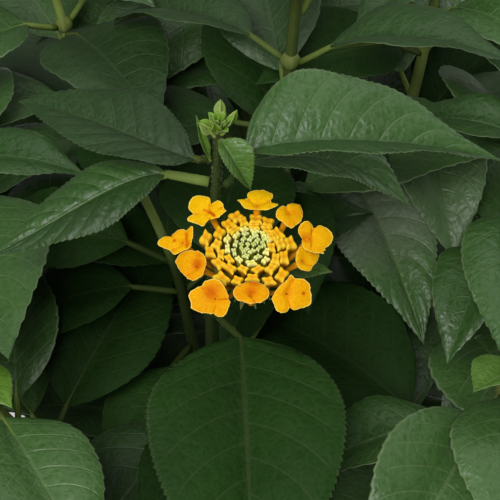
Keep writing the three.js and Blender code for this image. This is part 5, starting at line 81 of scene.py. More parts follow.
# node, kind (0 on a shoot, 1 paired, 2 single), [petiole foot, midrib curve of 4 points], half width, fold, up, peak, round, petiole radius
LEAVES = [
    ["leaf_upper_left", 2, [[-9, -34.8, 302.6], [-11.71, -37.88, 305.5], [-19.49, -36.95, 307], [-33.36, -24.06, 306], [-53.54, -11.24, 299]], 10.8, 16, [0.1, -0.12, 1], 0.55, 0.9, 0.8],
    ["leaf_left", 2, [[-9.1, -35.5, 296.4], [-18.19, -34.15, 297.5], [-26.51, -34.44, 299.3], [-39.6, -42.71, 293.5], [-57.42, -46.41, 284]], 8.8, 0, [0.05, -0.05, 1], 0.5, 1, 1.12],
    ["leaf_upper_right", 2, [[-5.3, -34.6, 303.4], [-0.88, -34.23, 304.2], [10.98, -31.44, 305.5], [32.03, -29.78, 304], [56.49, -26.9, 295]], 17.5, 34, [-0.05, 0.04, 1], 0.36, 0.7, 0.8],
    ["leaf_right", 2, [[-5.6, -35.6, 295.2], [-0.68, -27.36, 294.5], [11.41, -22.01, 294.5], [25.81, -20.71, 290.5], [37.41, -27.12, 280]], 10.8, 24, [0, -0.02, 1], 0.36, 0.7, 0.8],
    ["young_leaf_hanging", 2, [[-6.2, -36.3, 309.2], [-6.25, -36.6, 309.6], [-4.52, -39.11, 308.4], [-2.16, -40.92, 304.5], [0.11, -42.27, 300.4]], 5.2, 42, [0.25, -0.35, 0.9], 0.36, 0.7, 0.6],
    ["leaf_front", 2, [[-8.4, -37.9, 255.3], [-2.2, -47.5, 257.5], [-1, -66, 257.5], [0, -93, 250], [1.5, -118.6, 236]], 23, 12, [0.02, 0.1, 1], 0.36, 0.7, 0.8],
    ["leaf_back_inner", 2, [[-8.8, -33.6, 258.5], [-8, -24, 260.5], [-6, -8, 261], [-4, 14, 254], [-2, 34, 243]], 18, 16, [0, 0, 1], 0.36, 0.7, 0.8],
    ["leaf_small_pointed", 2, [[-6.3, -36.6, 279.4], [0.5, -41, 281.4], [9.56, -48.22, 283], [13.86, -51.48, 285], [17.94, -53.21, 286.2]], 3.5, -8, [0, -0.1, 1], 0.36, 0.7, 0.6],
    ["leaf_low_right", 2, [[-5.6, -32.6, 226.5], [27.97, 27.72, 236], [32.89, 17.7, 237], [39.61, 0.3, 233], [45.36, -19.11, 222]], 15.5, 16, [-0.05, 0.05, 1], 0.36, 0.7, 0.8],
    ["leaf_pair_01", 1, [[61.76, -52.77, 246.94], [67.89, -45.79, 252.26], [80.16, -31.81, 257.41], [93.48, -16.65, 251.9], [102.33, -6.57, 238.01]], 16.88, 16.3, [-0.086, 0.076, 0.993], 0.36, 0.7, 0.8],
    ["leaf_pair_01", 1, [[58.85, -56.82, 246.79], [53.43, -66.15, 250.5], [44.05, -82.32, 252.02], [34.96, -97.99, 247.46], [27.06, -111.61, 237.27]], 17.5, 20.4, [0.22, -0.128, 0.967], 0.36, 0.7, 0.8],
    ["leaf_pair_02", 1, [[50.9, -47.77, 209.72], [54.18, -53.02, 216.26], [63.62, -68.09, 227.47], [74.09, -84.82, 233.33], [85.24, -102.64, 233.63]], 18.51, 17.1, [-0.143, -0.089, 0.986], 0.36, 0.7, 0.8],
    ["leaf_pair_02", 1, [[47.72, -44.04, 212.21], [40.25, -37.57, 218.67], [24.03, -23.55, 226.01], [6.2, -8.15, 222.81], [-7.95, 4.09, 210.02]], 19.6, 15.6, [-0.066, -0.076, 0.995], 0.36, 0.7, 0.8],
    ["leaf_pair_03", 1, [[-61.51, -55.54, 243.38], [-57.16, -62.84, 246.37], [-49.11, -76.33, 247.77], [-41.37, -89.32, 245.47], [-33.91, -101.85, 239.47]], 14.74, 10.4, [0.149, 0.089, 0.985], 0.36, 0.7, 0.8],
    ["leaf_pair_03", 1, [[-64.72, -51.8, 243.37], [-72.79, -45.31, 249.5], [-86.73, -34.08, 254.75], [-101.86, -21.89, 250.51], [-112.84, -13.05, 238.28]], 16.05, 9.5, [-0.006, -0.008, 1], 0.36, 0.7, 0.8],
    ["leaf_pair_04", 1, [[-53.84, -44.56, 207.68], [-63.22, -48.48, 215.25], [-80.31, -55.61, 222.89], [-98.14, -63.06, 225.55], [-116.5, -70.73, 223.21]], 18.15, 22.4, [0.089, -0.214, 0.973], 0.36, 0.7, 0.8],
    ["leaf_pair_04", 1, [[-50.44, -41.45, 210.27], [-47.03, -34.89, 216.72], [-39.01, -19.49, 225.49], [-30.22, -2.61, 228.49], [-21.35, 14.44, 225.48]], 16.88, 18.6, [0.118, -0.061, 0.991], 0.36, 0.7, 0.8],
    ["leaf_pair_05", 1, [[70.3, 5.33, 255.95], [68.4, 17.07, 260.21], [65.56, 34.58, 261.89], [62.78, 51.79, 255.19], [60.85, 63.69, 242.06]], 16.13, 18.7, [0.142, 0.023, 0.99], 0.36, 0.7, 0.8],
    ["leaf_pair_05", 1, [[70.23, 0.35, 255.74], [68.73, -7.42, 260.58], [65.48, -24.26, 265.85], [62.09, -41.81, 265.29], [58.9, -58.3, 258.95]], 14.85, 17.9, [-0.253, 0.049, 0.966], 0.36, 0.7, 0.8],
    ["leaf_pair_06", 1, [[59.23, 4.65, 210.94], [65.43, 6.16, 217.89], [84, 10.7, 230.36], [107.94, 16.55, 231.55], [127.59, 21.36, 220.96]], 21.11, 23, [-0.043, 0.177, 0.983], 0.36, 0.7, 0.8],
    ["leaf_pair_06", 1, [[54.43, 5.38, 213.02], [47.11, 10.04, 218.53], [33.09, 18.96, 223.95], [17.74, 28.74, 221.03], [5.86, 36.3, 210.67]], 15.31, 20.4, [0.015, 0.024, 1], 0.36, 0.7, 0.8],
    ["leaf_pair_07", 1, [[-72.96, 0.73, 252.28], [-73.69, -7.44, 255.78], [-75.16, -23.87, 258.33], [-76.61, -40.08, 256.03], [-77.96, -55.17, 249]], 15.78, 15.2, [0.149, -0.013, 0.989], 0.36, 0.7, 0.8],
    ["leaf_pair_07", 1, [[-73.07, 5.75, 252.59], [-74.57, 16.98, 257.93], [-76.91, 34.53, 261.33], [-79.32, 52.56, 256.33], [-81.1, 65.93, 244.37]], 14.9, 19.7, [0.095, 0.013, 0.995], 0.36, 0.7, 0.8],
    ["leaf_pair_08", 1, [[-60.97, 5.89, 208.82], [-69.99, 8.81, 217.98], [-86.81, 14.23, 228.06], [-106.31, 20.53, 230.79], [-125.06, 26.58, 225.7]], 16.7, 23.3, [-0.069, -0.213, 0.975], 0.36, 0.7, 0.8],
    ["leaf_pair_08", 1, [[-56.01, 5.78, 211.08], [-47.51, 8.33, 217.04], [-29.79, 13.64, 223.61], [-10.71, 19.37, 222.72], [6.37, 24.49, 214.54]], 17.79, 11.5, [0.06, -0.201, 0.978], 0.36, 0.7, 0.8],
    ["leaf_pair_09", 1, [[47.4, 59.74, 267.86], [39.06, 67.55, 273.71], [26.52, 79.29, 277.59], [14.05, 90.98, 277.27], [1.63, 102.61, 272.72]], 15.54, 22, [-0.088, -0.094, 0.992], 0.36, 0.7, 0.8],
    ["leaf_pair_09", 1, [[50.9, 56.15, 268.11], [57.66, 48.59, 271.51], [69.86, 34.95, 272.86], [81.74, 21.67, 264.29], [88.65, 13.94, 249.14]], 14.92, 23.7, [0.177, 0.158, 0.972], 0.36, 0.7, 0.8],
    ["leaf_pair_10", 1, [[44.25, 50.63, 227.45], [50.19, 57.39, 233.88], [62.03, 70.83, 240.85], [74.91, 85.46, 240.67], [86.67, 98.8, 233.38]], 17.71, 21.6, [0.125, -0.11, 0.986], 0.36, 0.7, 0.8],
    ["leaf_pair_10", 1, [[40.17, 47.57, 229.22], [32.88, 43.8, 232.85], [16.83, 35.51, 235.89], [0.85, 27.26, 233.15], [-13.66, 19.77, 224.86]], 15.21, 20.7, [-0.07, 0.136, 0.988], 0.36, 0.7, 0.8],
    ["leaf_pair_11", 1, [[-53.18, 58.4, 265.14], [-60.35, 52.19, 271.13], [-72.96, 41.25, 276.54], [-86.82, 29.24, 273.26], [-97.24, 20.21, 262.39]], 15.28, 22, [0.06, -0.07, 0.996], 0.36, 0.7, 0.8],
    ["leaf_pair_11", 1, [[-49.66, 61.95, 265.09], [-43.9, 68.64, 270.89], [-32.08, 82.39, 277.14], [-19.66, 96.82, 277.37], [-7.75, 110.67, 271.55]], 16.28, 22.7, [-0.06, 0.051, 0.997], 0.36, 0.7, 0.8],
    ["leaf_pair_12", 1, [[-43.72, 53.01, 227.21], [-47.54, 61.15, 231.64], [-56.58, 80.38, 236.12], [-65.85, 100.12, 231.77], [-73.46, 116.31, 219.47]], 19.02, 18.7, [-0.095, -0.045, 0.994], 0.36, 0.7, 0.8],
    ["leaf_pair_12", 1, [[-41.05, 48.71, 229.28], [-34.72, 40.7, 233.96], [-22.75, 25.55, 237.46], [-10.75, 10.37, 234.38], [-0.04, -3.18, 225.08]], 17.52, 22.4, [-0.009, -0.007, 1], 0.36, 0.7, 0.8],
    ["leaf_pair_13", 1, [[-4.19, 73.2, 251.44], [-12.38, 73.63, 255.07], [-29.69, 74.55, 257.98], [-47.04, 75.47, 254.49], [-61.88, 76.25, 245.11]], 15.67, 20.2, [0, 0.001, 1], 0.36, 0.7, 0.8],
    ["leaf_pair_13", 1, [[0.8, 73.56, 251.39], [12.68, 75.87, 256.47], [30.76, 79.4, 259.2], [48.66, 82.89, 255.83], [64.58, 85.99, 246.69]], 16.11, 17, [0.011, -0.056, 0.998], 0.36, 0.7, 0.8],
    ["leaf_pair_14", 1, [[-0.12, 58.61, 213.27], [1.81, 65.87, 219.83], [6.16, 82.29, 228.42], [10.96, 100.41, 231.11], [15.75, 118.5, 227.64]], 15.81, 17.7, [-0.004, 0.001, 1], 0.36, 0.7, 0.8],
    ["leaf_pair_14", 1, [[-2.83, 54.53, 215.28], [-12.06, 46.82, 220.29], [-23.29, 37.43, 222.42], [-34.49, 28.06, 218.84], [-43.69, 20.37, 210.18]], 13.52, 18.2, [0.105, -0.126, 0.986], 0.36, 0.7, 0.8],
    ["leaf_pair_15", 1, [[7.88, 22.64, 284.14], [0.19, 26.87, 287.89], [-13.18, 34.22, 290.24], [-26.67, 41.64, 285.58], [-36.65, 47.13, 275.15]], 13, 17.3, [0.118, 0.215, 0.97], 0.36, 0.7, 0.8],
    ["leaf_pair_15", 1, [[12.69, 20.86, 284.01], [20.07, 19.33, 290.29], [34.1, 16.42, 297.11], [50.01, 13.12, 297.73], [64.51, 10.11, 292.03]], 14.2, 18.9, [0.052, 0.252, 0.966], 0.36, 0.7, 0.8],
    ["leaf_pair_16", 1, [[7.7, 20.62, 248.42], [6.96, 28.02, 255.86], [5.26, 45.23, 266.13], [3.36, 64.41, 270.82], [1.38, 84.4, 269.64]], 18.87, 13.7, [0.029, 0.003, 1], 0.36, 0.7, 0.8],
    ["leaf_pair_16", 1, [[7.76, 15.06, 249.15], [9.35, 5.08, 253.65], [11.23, -6.78, 255.7], [13.16, -18.89, 251.66], [14.48, -27.22, 242.88]], 10.46, 21, [0.028, 0.004, 1], 0.36, 0.7, 0.8],
    ["leaf_pair_17", 1, [[-8.79, -36.3, 218.68], [-8.66, -45.75, 223.09], [-8.37, -67.52, 227.2], [-8.09, -89.07, 225.64], [-7.81, -110.03, 218.45]], 20.72, 20.2, [0.2, 0.003, 0.98], 0.36, 0.7, 0.8],
    ["leaf_pair_17", 1, [[-8.15, -30.62, 219.47], [-5.63, -23.69, 226.09], [-1.49, -12.35, 232.41], [3.08, 0.2, 234.59], [7.68, 12.84, 232.44]], 12.65, 16.9, [-0.276, 0.101, 0.956], 0.36, 0.7, 0.8],
    ["leaf_pair_18", 1, [[5.56, -82.39, 183.31], [12.46, -83.4, 190], [26.13, -85.41, 197.83], [42.57, -87.83, 198.73], [57, -89.96, 192.44]], 14.56, 21.9, [0.009, 0.064, 0.998], 0.36, 0.7, 0.8],
    ["leaf_pair_18", 1, [[0.72, -82.37, 182.99], [-7.55, -83.52, 187.42], [-26.2, -86.12, 191.99], [-45.26, -88.77, 190.15], [-62.71, -91.2, 182.09]], 16.77, 21.7, [-0.027, 0.195, 0.98], 0.36, 0.7, 0.8],
    ["leaf_pair_19", 1, [[4.9, -65.7, 157.63], [8.89, -73.79, 166.37], [15.66, -87.53, 175.14], [23.23, -102.9, 178.69], [30.98, -118.63, 176.74]], 14.77, 11.1, [-0.052, -0.026, 0.998], 0.36, 0.7, 0.8],
    ["leaf_pair_19", 1, [[2.41, -62.37, 160.97], [-3.99, -56.36, 165.74], [-16.71, -44.41, 170.16], [-30.16, -31.77, 166.07], [-40.32, -22.23, 154.68]], 15.07, 19.9, [0.118, 0.125, 0.985], 0.36, 0.7, 0.8],
    ["shoot_front_right", 0, [[31.42, -29.55, 172.39], [39.23, -24.25, 175.75], [55.36, -13.31, 177.56], [71.18, -2.57, 170.4], [82.36, 5.01, 156.25]], 15.87, 20.7, [0.058, -0.085, 0.995], 0.36, 0.7, 0.8],
    ["shoot_front_right", 0, [[30.16, -30.59, 172.59], [25.04, -35.69, 178.16], [11.92, -48.77, 186.14], [-3.52, -64.17, 182.89], [-14.43, -75.04, 169.86]], 16.76, 22.6, [-0.115, 0.115, 0.987], 0.36, 0.7, 0.8],
    ["shoot_front_right", 0, [[55.67, -50.14, 227.24], [61.29, -48.56, 233.77], [72.79, -45.34, 241.8], [87.42, -41.23, 243.37], [100.26, -37.63, 237.93]], 12.26, 22.8, [0.025, -0.088, 0.996], 0.36, 0.7, 0.8],
    ["shoot_front_right", 0, [[54.44, -50.5, 227.5], [48.5, -52.3, 231.17], [34.58, -56.54, 235.43], [19.57, -61.11, 232.45], [8.11, -64.6, 223.15]], 12.84, 13.1, [-0.077, 0.254, 0.964], 0.36, 0.7, 0.8],
    ["shoot_front_right", 0, [[62.85, -56.86, 255.81], [66.67, -58.91, 259.66], [75.33, -63.55, 264.71], [85.68, -69.09, 264.51], [94.17, -73.64, 259.1]], 9.31, 19.3, [0.123, 0.23, 0.965], 0.36, 0.7, 0.8],
    ["shoot_front_right", 0, [[63.73, -57.05, 259.75], [64.85, -55.73, 262.78], [68.24, -51.74, 268.2], [72.48, -46.74, 271.76], [77.28, -41.1, 273.2]], 6.32, 20.3, [-0.2, 0.17, 0.965], 0.36, 0.7, 0.8],
    ["shoot_front_right", 0, [[63.03, -57.89, 259.75], [61.51, -59.72, 262.08], [57.06, -65.07, 266.1], [52.73, -70.28, 269.46], [47.99, -75.98, 272.55]], 7.46, 17.5, [-0.158, 0.131, 0.979], 0.36, 0.7, 0.8],
    ["shoot_front_left", 0, [[-32.54, -26.78, 172.1], [-29.02, -35.03, 177.68], [-22.05, -51.38, 183.32], [-14.66, -68.7, 182.03], [-8.06, -84.2, 174.04]], 15.62, 13.5, [-0.11, -0.047, 0.993], 0.36, 0.7, 0.8],
    ["shoot_front_left", 0, [[-33.42, -25.44, 172.3], [-40.49, -17.69, 174.87], [-52.4, -4.63, 174.71], [-63.37, 7.39, 163.83], [-68.02, 12.49, 147.57]], 14.74, 23.4, [-0.146, -0.133, 0.98], 0.36, 0.7, 0.8],
    ["shoot_front_left", 0, [[-57.24, -49.31, 224.58], [-56.78, -56.12, 228.47], [-55.7, -72.29, 232.9], [-54.58, -89.06, 231.47], [-53.57, -104.25, 224.36]], 14.28, 9.2, [-0.015, -0.001, 1], 0.36, 0.7, 0.8],
    ["shoot_front_left", 0, [[-57.34, -48.04, 224.9], [-57.76, -42.91, 229.69], [-58.85, -29.92, 236.79], [-60.03, -15.72, 239.9], [-61.26, -0.97, 238.88]], 13.55, 14.3, [-0.29, -0.024, 0.957], 0.36, 0.7, 0.8],
    ["shoot_front_left", 0, [[-65.48, -55.97, 252.04], [-67.4, -60.13, 254.78], [-71.92, -69.95, 257.98], [-76.61, -80.1, 257.65], [-81.05, -89.73, 253.81]], 10.32, 17.9, [0.068, -0.032, 0.997], 0.36, 0.7, 0.8],
    ["shoot_front_left", 0, [[-64.96, -55.06, 252.42], [-63.72, -53.22, 256.02], [-59.74, -47.29, 262.92], [-54.6, -39.65, 266.85], [-49.07, -31.42, 267.25]], 9.33, 21.5, [-0.152, 0.102, 0.983], 0.36, 0.7, 0.8],
    ["shoot_front_left", 0, [[-65.99, -56.85, 255.83], [-64.51, -58.72, 258.47], [-60.75, -63.45, 262.46], [-56.57, -68.71, 264.67], [-52.07, -74.37, 265.04]], 6.28, 9.9, [0.115, 0.091, 0.989], 0.36, 0.7, 0.8],
    ["shoot_front_left", 0, [[-66.64, -55.97, 255.86], [-67.85, -54.2, 258.61], [-71, -49.58, 262.92], [-74.54, -44.4, 265.68], [-78.46, -38.67, 266.88]], 6.57, 16.7, [-0.056, -0.039, 0.998], 0.36, 0.7, 0.8],
    ["shoot_right", 0, [[39.91, 4.23, 178.03], [42.76, 15.25, 180.93], [47.04, 31.76, 180.91], [51.06, 47.31, 174.46], [54.16, 59.25, 162.68]], 14.09, 16.1, [-0.279, 0.072, 0.958], 0.36, 0.7, 0.8],
    ["shoot_right", 0, [[40, 2.65, 178.03], [42.18, -4.14, 183.45], [47.23, -19.93, 190.47], [53.19, -38.54, 187.18], [57.26, -51.28, 175.12]], 14.82, 15.7, [0.177, 0.057, 0.983], 0.36, 0.7, 0.8],
    ["shoot_right", 0, [[66.22, 4.06, 237.06], [71.27, 9.42, 240.61], [82.32, 21.14, 243.87], [93.33, 32.82, 242.68], [103.92, 44.07, 237.07]], 14.99, 14.8, [-0.012, 0.011, 1], 0.36, 0.7, 0.8],
    ["shoot_right", 0, [[65.53, 2.99, 237.22], [63.02, -3.13, 242.18], [58.21, -14.87, 247.45], [52.63, -28.47, 245.44], [48.53, -38.47, 236.97]], 11.47, 21.5, [-0.212, 0.087, 0.974], 0.36, 0.7, 0.8],
    ["shoot_right", 0, [[74.68, 2.18, 269.12], [78.07, 1.67, 272.74], [87.25, 0.3, 278.59], [98.92, -1.45, 279.07], [108.54, -2.9, 273.99]], 9, 19.3, [0.012, 0.083, 0.996], 0.36, 0.7, 0.8],
    ["shoot_right", 0, [[73.64, 2.44, 269.41], [69.46, 3.92, 272.62], [58.63, 7.75, 277.19], [46.2, 12.15, 275.25], [37.06, 15.39, 267.58]], 11.29, 13.7, [0.073, 0.205, 0.976], 0.36, 0.7, 0.8],
    ["shoot_right", 0, [[75.32, 2.64, 273.49], [75.4, 4.3, 275.5], [75.65, 9.81, 279.53], [75.95, 16.13, 281.79], [76.27, 22.94, 282.18]], 5.79, 11.6, [-0.264, 0.012, 0.964], 0.36, 0.7, 0.8],
    ["shoot_right", 0, [[75.15, 1.56, 273.5], [74.61, -0.45, 275.59], [72.96, -6.65, 279.42], [71.18, -13.31, 281.61], [69.25, -20.5, 282.2]], 6.55, 21.4, [0.268, -0.072, 0.961], 0.36, 0.7, 0.8],
    ["shoot_left", 0, [[-40.56, 3.86, 175.08], [-43.08, -3.83, 179.22], [-47.32, -16.75, 182.3], [-51.67, -30.01, 180.1], [-55.4, -41.4, 173]], 12.94, 20.7, [0.193, -0.063, 0.979], 0.36, 0.7, 0.8],
    ["shoot_left", 0, [[-40.31, 5.4, 175.18], [-41.68, 16.29, 179.59], [-43.8, 33.12, 181.84], [-45.93, 50.06, 173.87], [-47.08, 59.15, 159.42]], 13.7, 12.7, [0.291, 0.037, 0.956], 0.36, 0.7, 0.8],
    ["shoot_left", 0, [[-68.35, 3.99, 234.48], [-73.57, 0.24, 239.49], [-83.54, -6.91, 244.85], [-94.68, -14.91, 244.91], [-104.69, -22.08, 239.66]], 11.83, 18, [0.155, -0.216, 0.964], 0.36, 0.7, 0.8],
    ["shoot_left", 0, [[-67.4, 4.82, 234.81], [-63.12, 9.37, 236.93], [-53.29, 19.84, 238.04], [-43.76, 29.98, 234.09], [-35.79, 38.46, 225.6]], 13.5, 13.9, [-0.196, 0.184, 0.963], 0.36, 0.7, 0.8],
    ["shoot_left", 0, [[-76.69, 2.49, 265.37], [-80.48, 3.25, 268.31], [-91.32, 5.43, 272.99], [-103.46, 7.87, 272.71], [-114.09, 10.01, 267.53]], 10.17, 12.4, [0.025, 0.125, 0.992], 0.36, 0.7, 0.8],
    ["shoot_left", 0, [[-75.62, 2.3, 265.65], [-71.66, 1.64, 268.67], [-61.64, -0.02, 272.89], [-50.48, -1.86, 272.63], [-40.66, -3.49, 267.94]], 10.2, 11.9, [0.018, 0.108, 0.994], 0.36, 0.7, 0.8],
    ["shoot_left", 0, [[-77.17, 1.61, 269.57], [-76.68, -0.52, 272.27], [-75.31, -6.43, 276.79], [-73.69, -13.48, 279], [-71.99, -20.84, 278.67]], 6.23, 19.2, [0.203, 0.047, 0.978], 0.36, 0.7, 0.8],
    ["shoot_left", 0, [[-77.45, 2.66, 269.55], [-78.16, 4.98, 271.78], [-80.03, 11.15, 275.24], [-81.86, 17.15, 278.12], [-83.85, 23.68, 280.76]], 7.05, 10.9, [-0.05, -0.015, 0.999], 0.36, 0.7, 0.8],
    ["shoot_back_right", 0, [[28.66, 32.67, 179.63], [22.73, 39.39, 182.47], [11.22, 52.43, 183.47], [0.12, 64.99, 177.32], [-8.23, 74.45, 165.33]], 14.47, 8.9, [-0.096, -0.085, 0.992], 0.36, 0.7, 0.8],
    ["shoot_back_right", 0, [[29.93, 31.66, 179.61], [39.53, 26.69, 186.7], [56.02, 18.14, 193.08], [74.75, 8.44, 187.62], [86.43, 2.39, 173.04]], 15.58, 10.3, [0.114, 0.22, 0.969], 0.36, 0.7, 0.8],
    ["shoot_back_right", 0, [[45.39, 53.46, 244.41], [42.66, 60.39, 247.59], [37.13, 74.4, 249.91], [31.59, 88.45, 246.15], [27.11, 99.8, 237.03]], 13.19, 15.6, [0.11, 0.043, 0.993], 0.36, 0.7, 0.8],
    ["shoot_back_right", 0, [[45.73, 52.23, 244.64], [47.03, 44.21, 247.48], [49.61, 28.32, 248.87], [52.14, 12.78, 243.06], [53.95, 1.59, 231.53]], 14.31, 20.8, [0.006, 0.001, 1], 0.36, 0.7, 0.8],
    ["shoot_back_right", 0, [[51.31, 60.64, 278.66], [54.24, 62.38, 282.31], [62.44, 67.26, 288.45], [72.47, 73.22, 289.98], [81.76, 78.74, 286.53]], 9.91, 22.4, [-0.131, 0.22, 0.967], 0.36, 0.7, 0.8],
    ["shoot_back_right", 0, [[50.47, 59.98, 278.94], [48.34, 57.77, 281.69], [41.63, 50.8, 286.75], [33.46, 42.34, 286.24], [27.08, 35.71, 280.36]], 8.86, 21.1, [-0.022, 0.021, 1], 0.36, 0.7, 0.8],
    ["shoot_back_right", 0, [[51.05, 61.59, 283.33], [49.57, 62.21, 285.19], [43.93, 64.57, 289.43], [38.04, 67.04, 292.51], [31.48, 69.79, 294.65]], 6.68, 8.2, [-0.034, -0.081, 0.996], 0.36, 0.7, 0.8],
    ["shoot_back_right", 0, [[52.03, 61.1, 283.29], [53.45, 60.25, 285.05], [59.08, 56.88, 289.22], [64.79, 53.48, 292.41], [71.1, 49.7, 294.91]], 7.29, 20.2, [-0.134, -0.224, 0.965], 0.36, 0.7, 0.8],
    ["shoot_back_left", 0, [[-28.06, 32.96, 182.07], [-36.9, 28.45, 188.32], [-52.28, 20.6, 193.9], [-69.29, 11.92, 189.87], [-81.35, 5.77, 177.78]], 15.73, 9.9, [0.109, -0.214, 0.971], 0.36, 0.7, 0.8],
    ["shoot_back_left", 0, [[-26.94, 34.03, 182.02], [-21.63, 41.64, 186.38], [-12.66, 54.51, 189.38], [-3.44, 67.74, 184.83], [3.31, 77.42, 174.07]], 13.79, 10.9, [-0.023, 0.016, 1], 0.36, 0.7, 0.8],
    ["shoot_back_left", 0, [[-47.08, 54.7, 243.2], [-54.7, 52.26, 246.62], [-68.83, 47.74, 248.91], [-82.88, 43.23, 246.01], [-95.12, 39.31, 238.27]], 12.87, 11.3, [-0.013, 0.04, 0.999], 0.36, 0.7, 0.8],
    ["shoot_back_left", 0, [[-45.83, 54.89, 243.45], [-40.06, 54.73, 247.72], [-24.84, 54.32, 253.91], [-9.11, 53.89, 256.33], [7.25, 53.44, 254.99]], 14.02, 12.6, [0.001, 0.027, 1], 0.36, 0.7, 0.8],
    ["shoot_back_left", 0, [[-53.92, 62.67, 275.11], [-56.81, 64.66, 279.55], [-63.77, 69.44, 285.99], [-73.2, 75.92, 287.29], [-81.17, 81.39, 282.89]], 9.4, 9.2, [-0.155, -0.226, 0.962], 0.36, 0.7, 0.8],
    ["shoot_back_left", 0, [[-53.06, 62.04, 275.45], [-50.66, 60.13, 280.05], [-43.51, 54.48, 288.26], [-33.3, 46.39, 290.89], [-24.22, 39.2, 286.85]], 10.26, 15.7, [-0.147, -0.186, 0.971], 0.36, 0.7, 0.8],
    ["shoot_back_left", 0, [[-54.86, 63.04, 279.46], [-56.88, 61.51, 281.82], [-62.29, 57.39, 285.53], [-67.56, 53.39, 288.63], [-73.28, 49.03, 291.5]], 6.74, 9.1, [0.022, -0.029, 0.999], 0.36, 0.7, 0.8],
    ["shoot_back_left", 0, [[-54.09, 63.81, 279.45], [-52.72, 65.61, 281.93], [-49.18, 70.27, 285.79], [-45.17, 75.54, 287.77], [-40.93, 81.12, 287.76]], 6.7, 9.8, [-0.107, 0.082, 0.991], 0.36, 0.7, 0.8],
    ["shoot_back", 0, [[-0.01, 38.13, 181.01], [-9.03, 42.45, 188.72], [-21.46, 48.39, 194.65], [-36.21, 55.44, 191.8], [-46.1, 60.17, 181.57]], 13.68, 20.4, [0.089, 0.186, 0.979], 0.36, 0.7, 0.8],
    ["shoot_back", 0, [[1.26, 37.32, 181.53], [6.45, 31.74, 186.41], [17.14, 20.26, 191.6], [28.27, 8.3, 191.82], [39.05, -3.28, 187.05]], 14.33, 17, [0.068, 0.064, 0.996], 0.36, 0.7, 0.8],
    ["shoot_back", 0, [[-1.89, 67.03, 236.29], [-7.27, 70.5, 239.2], [-21.07, 79.39, 242.12], [-35.18, 88.48, 237.05], [-45.3, 95, 225.52]], 15.52, 23.9, [-0.156, -0.243, 0.957], 0.36, 0.7, 0.8],
    ["shoot_back", 0, [[-0.89, 66.3, 236.63], [3.25, 62.97, 242.34], [13.65, 54.59, 250.93], [26.81, 43.99, 252.11], [38.03, 34.95, 245.45]], 14.04, 20.8, [-0.119, -0.148, 0.982], 0.36, 0.7, 0.8],
    ["shoot_back", 0, [[-1.72, 78.13, 262.29], [-0.07, 82.68, 265.47], [3.71, 93.08, 269.28], [7.62, 103.85, 269.91], [11.52, 114.58, 267.32]], 10.56, 9.2, [0.209, -0.076, 0.975], 0.36, 0.7, 0.8],
    ["shoot_back", 0, [[-1.73, 77.15, 262.71], [-0.56, 73.81, 264.88], [2.61, 64.77, 267.84], [6.02, 55.06, 266.42], [8.81, 47.12, 260.98]], 9.17, 12.8, [0.065, 0.023, 0.998], 0.36, 0.7, 0.8],
    ["shoot_back", 0, [[-2.5, 79.05, 265.95], [-4.23, 78.87, 267.86], [-9.92, 78.28, 271.61], [-16, 77.65, 274.04], [-22.7, 76.95, 275.24]], 5.99, 13.3, [0.02, -0.191, 0.981], 0.36, 0.7, 0.8],
    ["shoot_centre", 0, [[3.33, 10.77, 205.05], [-5.1, 13.56, 210.25], [-21.59, 19.01, 215.24], [-39.79, 25.04, 208.95], [-50.27, 28.5, 194.65]], 15.2, 13.6, [-0.084, -0.255, 0.963], 0.36, 0.7, 0.8],
    ["shoot_centre", 0, [[4.93, 10.2, 205.02], [13.77, 6.77, 208.14], [30.55, 0.27, 209.38], [46.83, -6.03, 201.59], [57.18, -10.05, 187.38]], 15.71, 8.3, [-0.032, -0.083, 0.996], 0.36, 0.7, 0.8],
    ["shoot_centre", 0, [[9.22, 20.85, 270.15], [8.04, 27.52, 275.85], [5.6, 41.23, 282.57], [3.03, 55.73, 285.6], [0.32, 70.94, 284.93]], 14.84, 18.6, [-0.239, -0.042, 0.97], 0.36, 0.7, 0.8],
    ["shoot_centre", 0, [[9.93, 19.9, 270.19], [15.02, 15.9, 272.91], [22.23, 10.24, 274.27], [29.42, 4.6, 272.13], [35.41, -0.09, 266.83]], 7.63, 19.9, [0.138, 0.176, 0.975], 0.36, 0.7, 0.8],
    ["shoot_centre", 0, [[11.61, 23.86, 308.01], [11.98, 26.28, 311.36], [13.42, 35.66, 319.16], [15.13, 46.87, 323.61], [16.99, 58.99, 324.33]], 11.28, 20.1, [0.2, -0.031, 0.979], 0.36, 0.7, 0.8],
    ["shoot_centre", 0, [[11.25, 22.82, 308.11], [9.65, 20.12, 312.35], [5.33, 12.8, 319.26], [0.45, 4.55, 323.84], [-5, -4.68, 326.11]], 9.87, 22.7, [-0.013, 0.008, 1], 0.36, 0.7, 0.8],
    ["shoot_centre", 0, [[11.28, 23.79, 313.05], [9.34, 24.02, 315.17], [2.72, 24.8, 319.5], [-4.37, 25.62, 322.26], [-12.15, 26.53, 323.54]], 7.02, 13, [0.026, 0.221, 0.975], 0.36, 0.7, 0.8],
    ["shoot_centre", 0, [[12.31, 23.48, 313.02], [13.93, 22.64, 315.3], [18.65, 20.2, 319.31], [24.1, 17.37, 321.57], [30, 14.32, 321.97]], 5.82, 23.3, [-0.124, -0.24, 0.963], 0.36, 0.7, 0.8],
    ["shoot_low_front", 0, [[4.15, -45.12, 142.74], [15.34, -46.21, 149.5], [31.84, -47.81, 154.47], [49.12, -49.49, 153.32], [64.83, -51.02, 146.22]], 16.43, 18.4, [0.002, 0.023, 1], 0.36, 0.7, 0.8],
    ["shoot_low_front", 0, [[2.66, -45.01, 142.97], [-7.03, -44.42, 148.42], [-24.08, -43.38, 152.98], [-42.24, -42.28, 149.12], [-55.97, -41.44, 138]], 14.46, 8.3, [0.002, 0.029, 1], 0.36, 0.7, 0.8],
